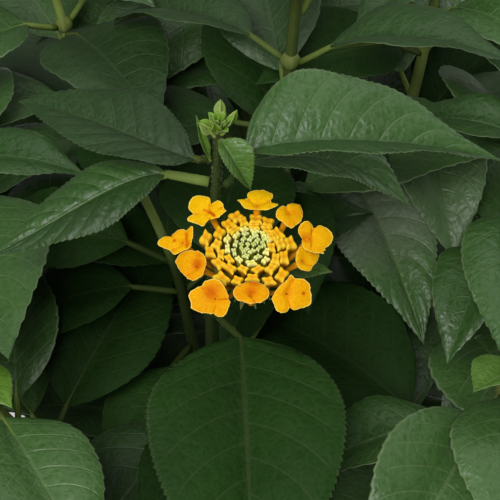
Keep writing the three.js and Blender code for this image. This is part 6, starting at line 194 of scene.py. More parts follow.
    ["shoot_low_front", 0, [[4.07, -77.86, 175.96], [8.63, -80.79, 180.32], [20.57, -88.47, 186.79], [34.46, -97.4, 185.8], [45.66, -104.6, 177.66]], 14.21, 14.5, [-0.014, -0.022, 1], 0.36, 0.7, 0.8],
    ["shoot_low_front", 0, [[3.09, -77.26, 176.3], [-1.36, -74.87, 181.02], [-11.58, -69.39, 187.37], [-23.45, -63.01, 188.69], [-34.55, -57.05, 184.68]], 12.23, 14.8, [-0.082, -0.152, 0.985], 0.36, 0.7, 0.8],
    ["shoot_low_front", 0, [[2.5, -89.82, 195.66], [4.09, -92.35, 198.52], [9.02, -100.2, 203.76], [14.92, -109.58, 204.47], [20.16, -117.94, 200.47]], 9.9, 12.3, [0.222, 0.139, 0.965], 0.36, 0.7, 0.8],
    ["shoot_low_front", 0, [[2.12, -89, 196.14], [1.05, -85.69, 200.87], [-1.47, -77.94, 207.56], [-4.91, -67.31, 209.46], [-7.97, -57.9, 205.84]], 9.43, 17.1, [-0.115, -0.037, 0.993], 0.36, 0.7, 0.8],
    ["shoot_low_front", 0, [[2.59, -90.99, 198.51], [4.74, -90.88, 201.38], [10.76, -90.55, 206.24], [17.9, -90.16, 208.99], [25.62, -89.74, 209.43]], 6.54, 19.3, [0.011, -0.206, 0.979], 0.36, 0.7, 0.8],
    ["shoot_low_front", 0, [[1.59, -91.01, 198.44], [-0.59, -90.96, 200.75], [-6.43, -90.83, 204.45], [-12.28, -90.69, 207.39], [-18.74, -90.55, 209.87]], 6.21, 15.8, [-0.006, -0.249, 0.969], 0.36, 0.7, 0.8],
    ["main_shoot", 0, [[-8.33, -32.06, 214.62], [-2.02, -24.2, 216.56], [5.74, -14.55, 215.82], [12.8, -5.75, 209.41], [17.17, -0.31, 199.16]], 10.3, 17, [-0.122, 0.098, 0.988], 0.36, 0.7, 0.8],
    ["main_shoot", 0, [[-9.11, -33.39, 214.39], [-15.73, -42.88, 218.9], [-26.4, -58.16, 221.18], [-36.94, -73.26, 216.23], [-45.51, -85.54, 204.91]], 17.46, 9, [-0.144, 0.101, 0.984], 0.36, 0.7, 0.8],
    ["main_shoot", 0, [[-6.48, -26.51, 186.84], [3.36, -22.54, 188.63], [17.14, -16.98, 187.4], [29.76, -11.88, 181.53], [40.05, -7.73, 171.58]], 13.68, 21.4, [0.095, -0.236, 0.967], 0.36, 0.7, 0.8],
    ["main_shoot", 0, [[-8.11, -26.66, 186.69], [-17.79, -25.26, 193.8], [-34.69, -22.81, 200.58], [-53.08, -20.15, 200.69], [-70.05, -17.7, 194.08]], 15.48, 23.4, [0.002, 0.012, 1], 0.36, 0.7, 0.8],
    ["shoot_inner_left", 0, [[-17.08, -11.41, 234.67], [-8.2, -6.64, 240.23], [5.77, 0.85, 244.34], [20.18, 8.58, 242.76], [33.19, 15.56, 235.67]], 14.73, 22.8, [0.038, -0.071, 0.997], 0.36, 0.7, 0.8],
    ["shoot_inner_left", 0, [[-18.18, -11.75, 234.5], [-30.42, -12.89, 237.76], [-45.49, -14.29, 237.89], [-59.68, -15.62, 230.53], [-68.29, -16.42, 218.11]], 13.09, 8.8, [0.001, -0.008, 1], 0.36, 0.7, 0.8],
    ["shoot_inner_left", 0, [[-22.41, -15.04, 261.15], [-26.7, -6.63, 266.53], [-32.05, 3.85, 269.75], [-37.75, 15.03, 267.26], [-42.13, 23.61, 259.78]], 10.73, 9.1, [-0.172, -0.088, 0.981], 0.36, 0.7, 0.8],
    ["shoot_centre", 0, [[5.69, 13.82, 219.21], [9.43, 23.38, 223.04], [16.25, 40.83, 225.06], [23.01, 58.13, 215.77], [26.51, 67.09, 199.57]], 15.01, 21.7, [-0.002, 0.001, 1], 0.36, 0.7, 0.8],
    ["shoot_centre", 0, [[4.04, 8.69, 192.74], [13.58, 11.34, 197.96], [30.26, 15.99, 202.11], [47.46, 20.79, 199.52], [62.32, 24.93, 190.63]], 15.63, 8.5, [-0.027, 0.095, 0.995], 0.36, 0.7, 0.8],
    ["shoot_centre", 0, [[2.31, 8.54, 192.89], [-5.29, 9.55, 198.48], [-22.59, 11.85, 205.46], [-42.37, 14.49, 202.84], [-57.3, 16.47, 191.6]], 15.99, 8.6, [0.029, 0.217, 0.976], 0.36, 0.7, 0.8],
    ["shoot_back", 0, [[1.62, 28.2, 163.85], [9.9, 34.5, 170.3], [20.83, 42.82, 174.63], [32.62, 51.8, 172.58], [42.21, 59.09, 164.69]], 11.69, 13.1, [-0.085, 0.112, 0.99], 0.36, 0.7, 0.8],
    ["shoot_back", 0, [[0.34, 27.24, 164.44], [-11.14, 22.01, 166.59], [-21.28, 17.39, 165.69], [-30.5, 13.19, 160.51], [-37.11, 10.17, 152.02]], 9.22, 23.7, [0.009, -0.021, 1], 0.36, 0.7, 0.8],
    ["shoot_right", 0, [[28.53, 3.47, 158.64], [33.48, 11.45, 164.94], [41.45, 24.3, 170.29], [50.49, 38.89, 166.48], [56.51, 48.6, 155.23]], 13.24, 15.2, [-0.222, 0.137, 0.965], 0.36, 0.7, 0.8],
    ["shoot_right", 0, [[27.73, 1.99, 159.26], [23.17, -7.01, 165.47], [17.05, -19.1, 169.69], [10.78, -31.48, 170.12], [4.56, -43.77, 166.73]], 13.31, 17.6, [0.005, -0.003, 1], 0.36, 0.7, 0.8],
    ["shoot_left", 0, [[-28.63, 3, 155.9], [-33.33, -2.44, 161.12], [-42.98, -13.59, 166.96], [-53.6, -25.87, 166.5], [-63.01, -36.75, 159.83]], 14.56, 22.7, [-0.097, 0.084, 0.992], 0.36, 0.7, 0.8],
    ["shoot_front_right", 0, [[21.72, -20.86, 153.88], [32.62, -18.45, 157.02], [49.31, -14.76, 157.43], [65.16, -11.26, 153.02], [79.35, -8.13, 144.01]], 14.93, 9.8, [-0.027, 0.122, 0.992], 0.36, 0.7, 0.8],
    ["shoot_front_right", 0, [[20.17, -21.52, 154.37], [13.25, -26.35, 158.41], [0.42, -35.31, 161.52], [-12.45, -44.3, 159.71], [-24.37, -52.62, 153.12]], 14.5, 11.7, [-0.119, 0.17, 0.978], 0.36, 0.7, 0.8],
    ["shoot_front_left", 0, [[-21.91, -17.62, 154.35], [-10.26, -22.15, 157.56], [2.66, -27.19, 157.59], [14.77, -31.9, 150.73], [22.04, -34.74, 139.27]], 11.51, 14.2, [-0.017, -0.044, 0.999], 0.36, 0.7, 0.8],
    ["shoot_front_left", 0, [[-23.45, -17.41, 153.57], [-32.32, -18.5, 157.8], [-48.27, -20.47, 160.94], [-64.64, -22.49, 156.75], [-77.17, -24.04, 146.33]], 13.44, 22.2, [-0.006, 0.049, 0.999], 0.36, 0.7, 0.8],
    ["shoot_back_left", 0, [[-18.66, 24.32, 161.04], [-10.83, 32.86, 164.3], [-2.01, 42.47, 164.62], [6.35, 51.59, 161.28], [13.86, 59.78, 154.46]], 11.31, 17.5, [-0.028, 0.026, 0.999], 0.36, 0.7, 0.8],
    ["shoot_back_left", 0, [[-20.15, 23.56, 160.82], [-31.23, 22.63, 166.75], [-44.19, 21.56, 169.92], [-57.84, 20.42, 166.74], [-68.08, 19.57, 158.18]], 10.93, 19, [0.003, -0.038, 0.999], 0.36, 0.7, 0.8],
    ["shoot_back_right", 0, [[21.9, 23.15, 157.67], [31.13, 26.67, 159.57], [45.46, 32.14, 158.65], [58.56, 37.14, 151.21], [67.32, 40.48, 139.03]], 14.13, 15.2, [-0.004, 0.01, 1], 0.36, 0.7, 0.8],
    ["shoot_back_right", 0, [[20.37, 22.8, 158.51], [11.95, 20.79, 163.58], [1.7, 18.36, 166.62], [-9.36, 15.73, 164.22], [-17.55, 13.78, 157.2]], 9.52, 20.5, [0.061, -0.256, 0.965], 0.36, 0.7, 0.8],
    ["main_shoot", 0, [[-7.5, -35, 309.4], [-8.4, -35.4, 311], [-9.4, -35.8, 312.6], [-10.3, -36.1, 313.9], [-11.2, -36.4, 314.6]], 1.8, 34, [-0.7, -0.25, 0.6], 0.36, 0.7, 0.5],
    ["main_shoot", 0, [[-6.2, -34.4, 309.9], [-5.3, -34.1, 311.6], [-4.4, -33.8, 313.3], [-3.6, -33.6, 314.7], [-2.8, -33.4, 315.6]], 1.8, 34, [0.75, -0.1, 0.6], 0.36, 0.7, 0.5],
    ["main_shoot", 0, [[-7, -35.45, 310.9], [-7.15, -36.2, 312.5], [-7.3, -36.9, 313.9], [-7.45, -37.5, 315.1], [-7.6, -38.1, 316]], 1.5, 34, [0, -0.85, 0.5], 0.36, 0.7, 0.45],
    ["main_shoot", 0, [[-6.7, -33.9, 310.8], [-6.6, -33.1, 312.6], [-6.5, -32.5, 314.4], [-6.4, -32, 316], [-6.3, -31.7, 317.2]], 1.6, 34, [0, 0.85, 0.5], 0.36, 0.7, 0.45],
    ["shoot_back_right", 0, [[40.37, 44.75, 216.43], [48.23, 42.91, 219.99], [62.03, 39.67, 222.34], [75.92, 36.41, 218.96], [87.22, 33.77, 210.5]], 13.61, 11.5, [-0.062, -0.266, 0.962], 0.36, 0.7, 0.8],
    ["shoot_front_right", 0, [[42.88, -41.04, 196.38], [37.84, -48.43, 204.4], [29.33, -60.92, 212.28], [18.91, -76.2, 211.13], [11.02, -87.79, 201.43]], 15.3, 23, [-0.064, 0.043, 0.997], 0.36, 0.7, 0.8],
    ["shoot_back_left", 0, [[-39.5, 46.13, 216.27], [-46.76, 40.17, 224.86], [-57.13, 31.67, 232.03], [-69.13, 21.83, 233.34], [-80.28, 12.68, 228.51]], 14.05, 10.7, [0.071, -0.087, 0.994], 0.36, 0.7, 0.8],
    ["shoot_left", 0, [[-73.43, 2.45, 256], [-70.4, -7.7, 263.41], [-64.83, -26.35, 270.73], [-59.1, -45.55, 273.16], [-53.19, -65.34, 270.69]], 17.63, 8.9, [-0.079, -0.024, 0.997], 0.36, 0.7, 0.8],
    ["shoot_back_left", 0, [[-41.21, 48.28, 220.77], [-48.49, 49.63, 223.46], [-66.34, 52.92, 225.24], [-83.81, 56.14, 219.98], [-97.82, 58.72, 208.6]], 15.35, 22.8, [-0.051, -0.276, 0.96], 0.36, 0.7, 0.8],
    ["shoot_back", 0, [[-1.4, 58.77, 218.45], [-10.28, 64.49, 223.18], [-26.24, 74.77, 226.45], [-42.65, 85.33, 218.82], [-52.51, 91.68, 203.54]], 16.28, 22.2, [0.052, 0.08, 0.995], 0.36, 0.7, 0.8],
    ["shoot_back_left", 0, [[-19.4, 25.16, 162.47], [-13.28, 35.33, 167.42], [-4.86, 49.3, 169.81], [3.32, 62.89, 168.71], [11.48, 76.45, 164.11]], 14.48, 10.8, [0.1, -0.06, 0.993], 0.36, 0.7, 0.8],
    ["shoot_front_right", 0, [[40.87, -38.14, 192.75], [38.79, -30.1, 202.02], [34.42, -13.25, 213.7], [28.98, 7.69, 216.77], [23.97, 27.02, 210.39]], 18.35, 23.8, [0.141, 0.037, 0.989], 0.36, 0.7, 0.8],
    ["shoot_back", 0, [[-1.47, 57.43, 216.31], [-9.85, 58.09, 219.34], [-25.94, 59.36, 220.89], [-41.78, 60.6, 214.5], [-52.32, 61.43, 202.19]], 13.34, 20.4, [0.014, 0.175, 0.984], 0.36, 0.7, 0.8],
    ["shoot_back_right", 0, [[47.27, 55.6, 258.25], [40.2, 51.63, 264.37], [27.77, 44.65, 270.34], [14.57, 37.25, 271.91], [1.34, 29.82, 269]], 14.26, 15.7, [0.079, -0.141, 0.987], 0.36, 0.7, 0.8],
    ["shoot_back_left", 0, [[-35.59, 41.85, 203.19], [-45.78, 39.02, 205.06], [-63.15, 34.18, 203.71], [-79.05, 29.76, 195.96], [-91.15, 26.39, 182.96]], 15.9, 20.3, [0.058, -0.21, 0.976], 0.36, 0.7, 0.8],
    ["shoot_back_right", 0, [[49.88, 57.98, 269.91], [54.57, 52.87, 276.17], [64.67, 41.83, 284.05], [77.02, 28.35, 283.18], [86.57, 17.91, 273.91]], 14.04, 17.7, [0.014, 0.013, 1], 0.36, 0.7, 0.8],
    ["shoot_centre", 0, [[7.77, 16.39, 237.66], [14.87, 16.83, 245.19], [32, 17.88, 256.04], [51.94, 19.11, 260.24], [71.99, 20.34, 257.22]], 19.86, 16, [-0.006, 0.093, 0.996], 0.36, 0.7, 0.8],
    ["shoot_back", 0, [[0.12, 45.34, 192.89], [0.42, 52.45, 196.32], [1.2, 70.71, 200.01], [1.97, 88.99, 198.23], [2.71, 106.21, 191.08]], 15.68, 20.3, [0.214, -0.009, 0.977], 0.36, 0.7, 0.8],
    ["shoot_right", 0, [[47.6, 3.25, 191.5], [55.66, -1.78, 196.13], [69.93, -10.69, 199.59], [84.19, -19.59, 198.16], [97.76, -28.06, 191.9]], 14.89, 14.1, [0.043, 0.069, 0.997], 0.36, 0.7, 0.8],
    ["shoot_back", 0, [[-1.69, 62.33, 226], [-12.18, 66.89, 230.34], [-28.26, 73.9, 232.34], [-44.14, 80.82, 227.1], [-56.52, 86.21, 215.72]], 17.13, 14.2, [-0.007, -0.017, 1], 0.36, 0.7, 0.8],
    ["shoot_back_left", 0, [[-36.94, 44.3, 207.87], [-44.84, 48.83, 212.51], [-56.35, 55.44, 215.5], [-68.19, 62.23, 213.19], [-78.22, 67.99, 206.01]], 12.35, 11.5, [-0.04, -0.07, 0.997], 0.36, 0.7, 0.8],
    ["shoot_back", 0, [[0.27, 32.47, 173.16], [-3.49, 28, 179.5], [-12.48, 17.33, 188.57], [-23.11, 4.72, 191.95], [-33.67, -7.82, 189.08]], 15.39, 22.3, [0.185, -0.156, 0.97], 0.36, 0.7, 0.8],
    ["shoot_back_right", 0, [[42.93, 50.15, 231.2], [42.18, 57.83, 233.9], [40.27, 77.24, 235.6], [38.43, 95.97, 232.17], [36.71, 113.53, 223.69]], 18.3, 19.4, [0.14, 0.014, 0.99], 0.36, 0.7, 0.8],
    ["shoot_back_left", 0, [[-48.37, 57.06, 249.88], [-53.34, 64.56, 256.93], [-61.24, 76.49, 263.23], [-70.03, 89.75, 263.63], [-78.1, 101.93, 258.05]], 15, 12.4, [-0.085, -0.056, 0.995], 0.36, 0.7, 0.8],
    ["shoot_back", 0, [[-0.44, 46.73, 195.76], [-4.74, 51.12, 201.35], [-13.87, 60.43, 208.28], [-24.22, 70.99, 210.12], [-34.26, 81.23, 206.59]], 13.5, 19.5, [-0.105, -0.103, 0.989], 0.36, 0.7, 0.8],
    ["shoot_centre", 0, [[8.2, 19.3, 262.75], [-4.02, 19.21, 265.43], [-21.76, 19.08, 264.82], [-38.33, 18.96, 259.47], [-53.08, 18.86, 249.6]], 16.97, 11.5, [-0.001, 0.179, 0.984], 0.36, 0.7, 0.8],
    ["shoot_low_front", 0, [[4.51, -55.34, 151.2], [12.7, -54.57, 157.61], [30.49, -52.89, 165.42], [49.07, -51.14, 168.6], [68.43, -49.31, 167.17]], 18.75, 14.7, [0.019, -0.203, 0.979], 0.36, 0.7, 0.8],
    ["shoot_right", 0, [[52.63, 4.7, 202.6], [55.36, 14.9, 204.52], [60.61, 34.5, 203.09], [65.48, 52.66, 197.09], [69.97, 69.43, 186.49]], 19.64, 19.1, [-0.285, 0.076, 0.955], 0.36, 0.7, 0.8],
    ["shoot_front_right", 0, [[40.02, -38.57, 191.62], [30.24, -40.46, 197.86], [11.4, -44.09, 203.98], [-8.41, -47.92, 203.17], [-26.7, -51.45, 195.51]], 17.38, 20.9, [-0.028, 0.147, 0.989], 0.36, 0.7, 0.8],
    ["shoot_back", 0, [[-0.48, 53.25, 207.33], [-1.86, 61.81, 212.51], [-4.49, 78.11, 217.41], [-7.23, 95.13, 216.37], [-9.75, 110.73, 209.51]], 14.96, 13.2, [0.218, 0.035, 0.975], 0.36, 0.7, 0.8],
    ["shoot_right", 0, [[54.79, 3.43, 206.57], [57.95, -5.35, 213.8], [64.14, -22.55, 221.72], [71.06, -41.75, 221.78], [77.26, -59, 213.95]], 19.3, 12.7, [-0.059, -0.021, 0.998], 0.36, 0.7, 0.8],
    ["shoot_centre", 0, [[4.57, 11.63, 206.77], [7.14, 18.51, 209.6], [13.78, 36.3, 211.86], [20.41, 54.06, 203.41], [24.26, 64.38, 187.77]], 16.72, 12.1, [-0.136, 0.051, 0.989], 0.36, 0.7, 0.8],
    ["shoot_low_front", 0, [[1.94, -30.65, 132.52], [-5.47, -31.3, 137.83], [-23.04, -32.85, 144.68], [-42.51, -34.57, 143.47], [-59.12, -36.04, 134.51]], 16.15, 16.6, [-0.003, 0.039, 0.999], 0.36, 0.7, 0.8],
    ["shoot_low_front", 0, [[1.87, -88.2, 193.84], [-8.21, -85.45, 198.49], [-25.2, -80.82, 201.49], [-42.15, -76.2, 198.56], [-57.28, -72.07, 190.02]], 16.05, 19.5, [-0.063, -0.232, 0.971], 0.36, 0.7, 0.8],
    ["shoot_inner_left", 0, [[-19.88, -13.09, 247.07], [-30.84, -11.15, 252.24], [-45.75, -8.52, 255.06], [-60.98, -5.82, 251.07], [-72.68, -3.75, 241.27]], 13.11, 13.3, [-0.03, -0.17, 0.985], 0.36, 0.7, 0.8],
    ["shoot_inner_left", 0, [[-15.84, -9.81, 211.67], [-20.8, -21.11, 215.05], [-26.31, -33.65, 215.3], [-31.5, -45.47, 208.02], [-34.26, -51.77, 196.17]], 11.87, 17.9, [-0.253, 0.111, 0.961], 0.36, 0.7, 0.8],
    ["shoot_front_left", 0, [[-49.78, -40.99, 203.91], [-56.87, -32.25, 209.63], [-68.03, -18.48, 213.6], [-79.3, -4.59, 212.17], [-89.92, 8.51, 205.43]], 16.89, 19.6, [0.185, 0.15, 0.971], 0.36, 0.7, 0.8],
    ["shoot_back_left", 0, [[-50.52, 58.85, 262.53], [-46.87, 52.11, 267.84], [-38.9, 37.39, 274.07], [-30.77, 22.38, 276.44], [-22.3, 6.73, 275.01]], 17.45, 16.3, [-0.053, -0.029, 0.998], 0.36, 0.7, 0.8],
    ["shoot_right", 0, [[63.98, 4.37, 230.03], [66.5, 12.59, 233.92], [71.45, 28.76, 236.89], [76.43, 45.02, 233.56], [80.68, 58.91, 224.41]], 16.25, 9.5, [-0.137, 0.042, 0.99], 0.36, 0.7, 0.8],
    ["shoot_left", 0, [[-52.6, 5.31, 196.12], [-63.14, 9.25, 197.78], [-78.1, 14.84, 196.12], [-91.74, 19.94, 189.79], [-103.09, 24.18, 179.24]], 15.59, 14.1, [-0.073, -0.195, 0.978], 0.36, 0.7, 0.8],
    ["shoot_front_left", 0, [[-21.11, -16.41, 150.03], [-26.32, -26.35, 155.39], [-33.96, -40.93, 158.65], [-41.56, -55.42, 157.45], [-48.9, -69.42, 151.83]], 15.97, 14.9, [-0.042, 0.022, 0.999], 0.36, 0.7, 0.8],
    ["shoot_front_right", 0, [[42.32, -38.66, 193.54], [51.34, -33.32, 200.5], [67.97, -23.49, 207.26], [85.38, -13.2, 207.88], [102.34, -3.17, 202.34]], 18.76, 22.8, [0.147, -0.249, 0.957], 0.36, 0.7, 0.8],
    ["shoot_back", 0, [[-2.19, 75.67, 258.9], [-7.79, 71.71, 261.51], [-22.78, 61.11, 263.62], [-37.59, 50.64, 258.08], [-49.07, 42.53, 246.08]], 16.85, 20.5, [0.133, -0.188, 0.973], 0.36, 0.7, 0.8],
    ["shoot_right", 0, [[69.05, 2.68, 247.76], [74.05, -5.66, 255.54], [81.87, -18.7, 262.42], [90.56, -33.18, 263.27], [98.7, -46.75, 257.95]], 14.74, 9.4, [0.059, 0.035, 0.998], 0.36, 0.7, 0.8],
    ["shoot_left", 0, [[-69.22, 3.96, 241.75], [-57.63, 3.28, 245.04], [-42.98, 2.42, 245.42], [-29.03, 1.6, 240.55], [-17.8, 0.94, 231.11]], 12.84, 15.1, [-0.009, -0.151, 0.989], 0.36, 0.7, 0.8],
    ["shoot_right", 0, [[71.57, 2.81, 256.75], [77.9, 1.24, 262.21], [90.33, -1.83, 268.34], [103.87, -5.19, 270.2], [117.43, -8.54, 267.64]], 12.68, 8, [-0.068, -0.274, 0.959], 0.36, 0.7, 0.8],
    ["shoot_front_right", 0, [[33.32, -33.25, 178.35], [26.35, -37.8, 185.87], [12.22, -47.03, 194.77], [-3.82, -57.5, 196.99], [-19.28, -67.59, 192.18]], 16.62, 16, [0.05, -0.076, 0.996], 0.36, 0.7, 0.8],
    ["shoot_back_right", 0, [[48.34, 56.25, 258.19], [52.85, 59.98, 264.75], [65.58, 70.51, 275.87], [79.56, 82.06, 282.57], [94.81, 94.67, 284.86]], 18.14, 12.2, [0.172, -0.209, 0.963], 0.36, 0.7, 0.8],
    ["shoot_right", 0, [[73.63, 1.77, 267.34], [75.69, -7.06, 272.05], [78.8, -20.37, 275.24], [81.94, -33.83, 274.24], [84.9, -46.55, 269.12]], 12.61, 22, [0.155, 0.036, 0.987], 0.36, 0.7, 0.8],
    ["shoot_left", 0, [[-43.61, 5.43, 180.21], [-50.87, 12.79, 182.87], [-62.28, 24.36, 182.9], [-72.96, 35.19, 174.65], [-79.15, 41.47, 161.01]], 14.14, 12.8, [0.147, 0.144, 0.979], 0.36, 0.7, 0.8],
    ["shoot_right", 0, [[64.22, 3.12, 231.54], [68.41, -5.93, 238.48], [73.84, -17.65, 243.3], [79.8, -30.51, 242.36], [84.92, -41.54, 235.88]], 12.68, 21.5, [-0.17, -0.079, 0.982], 0.36, 0.7, 0.8],
    ["shoot_front_right", 0, [[40.31, -38.63, 190.16], [43, -45.29, 191.54], [49.09, -60.41, 190.57], [54.68, -74.27, 183.15], [58.66, -84.13, 170.76]], 15.58, 11.9, [0.205, 0.083, 0.975], 0.36, 0.7, 0.8],
    ["shoot_left", 0, [[-71.59, 3.14, 246.59], [-75.33, -5.39, 249.83], [-81.9, -20.38, 251.23], [-88.33, -35.06, 243.47], [-91.97, -43.36, 229.77]], 15.49, 14.4, [-0.201, 0.088, 0.976], 0.36, 0.7, 0.8],
    ["shoot_back", 0, [[0.97, 40.65, 184.88], [3.68, 46.72, 187.17], [11.09, 63.37, 188.67], [18.33, 79.63, 180.09], [22.47, 88.93, 164.9]], 16.27, 20.3, [0.09, -0.04, 0.995], 0.36, 0.7, 0.8],
    ["shoot_back_left", 0, [[-43.44, 50.57, 229.43], [-48.04, 45.14, 236.74], [-55.59, 36.24, 243.89], [-65.06, 25.06, 244.45], [-72.94, 15.77, 238.21]], 12.65, 13.3, [-0.104, 0.088, 0.991], 0.36, 0.7, 0.8],
    ["shoot_back_left", 0, [[-16.1, 21.16, 154.85], [-8.63, 31.11, 157.79], [3.08, 46.7, 157.44], [14.03, 61.28, 150.08], [22.6, 72.7, 136.81]], 16.83, 15.5, [0.169, -0.127, 0.977], 0.36, 0.7, 0.8],
    ["shoot_front_right", 0, [[60.46, -55.68, 249.22], [59.64, -62.77, 254.39], [58.09, -76.21, 259.76], [56.36, -91.26, 258.63], [54.92, -103.76, 251.31]], 14.02, 18.8, [-0.226, 0.026, 0.974], 0.36, 0.7, 0.8],
]
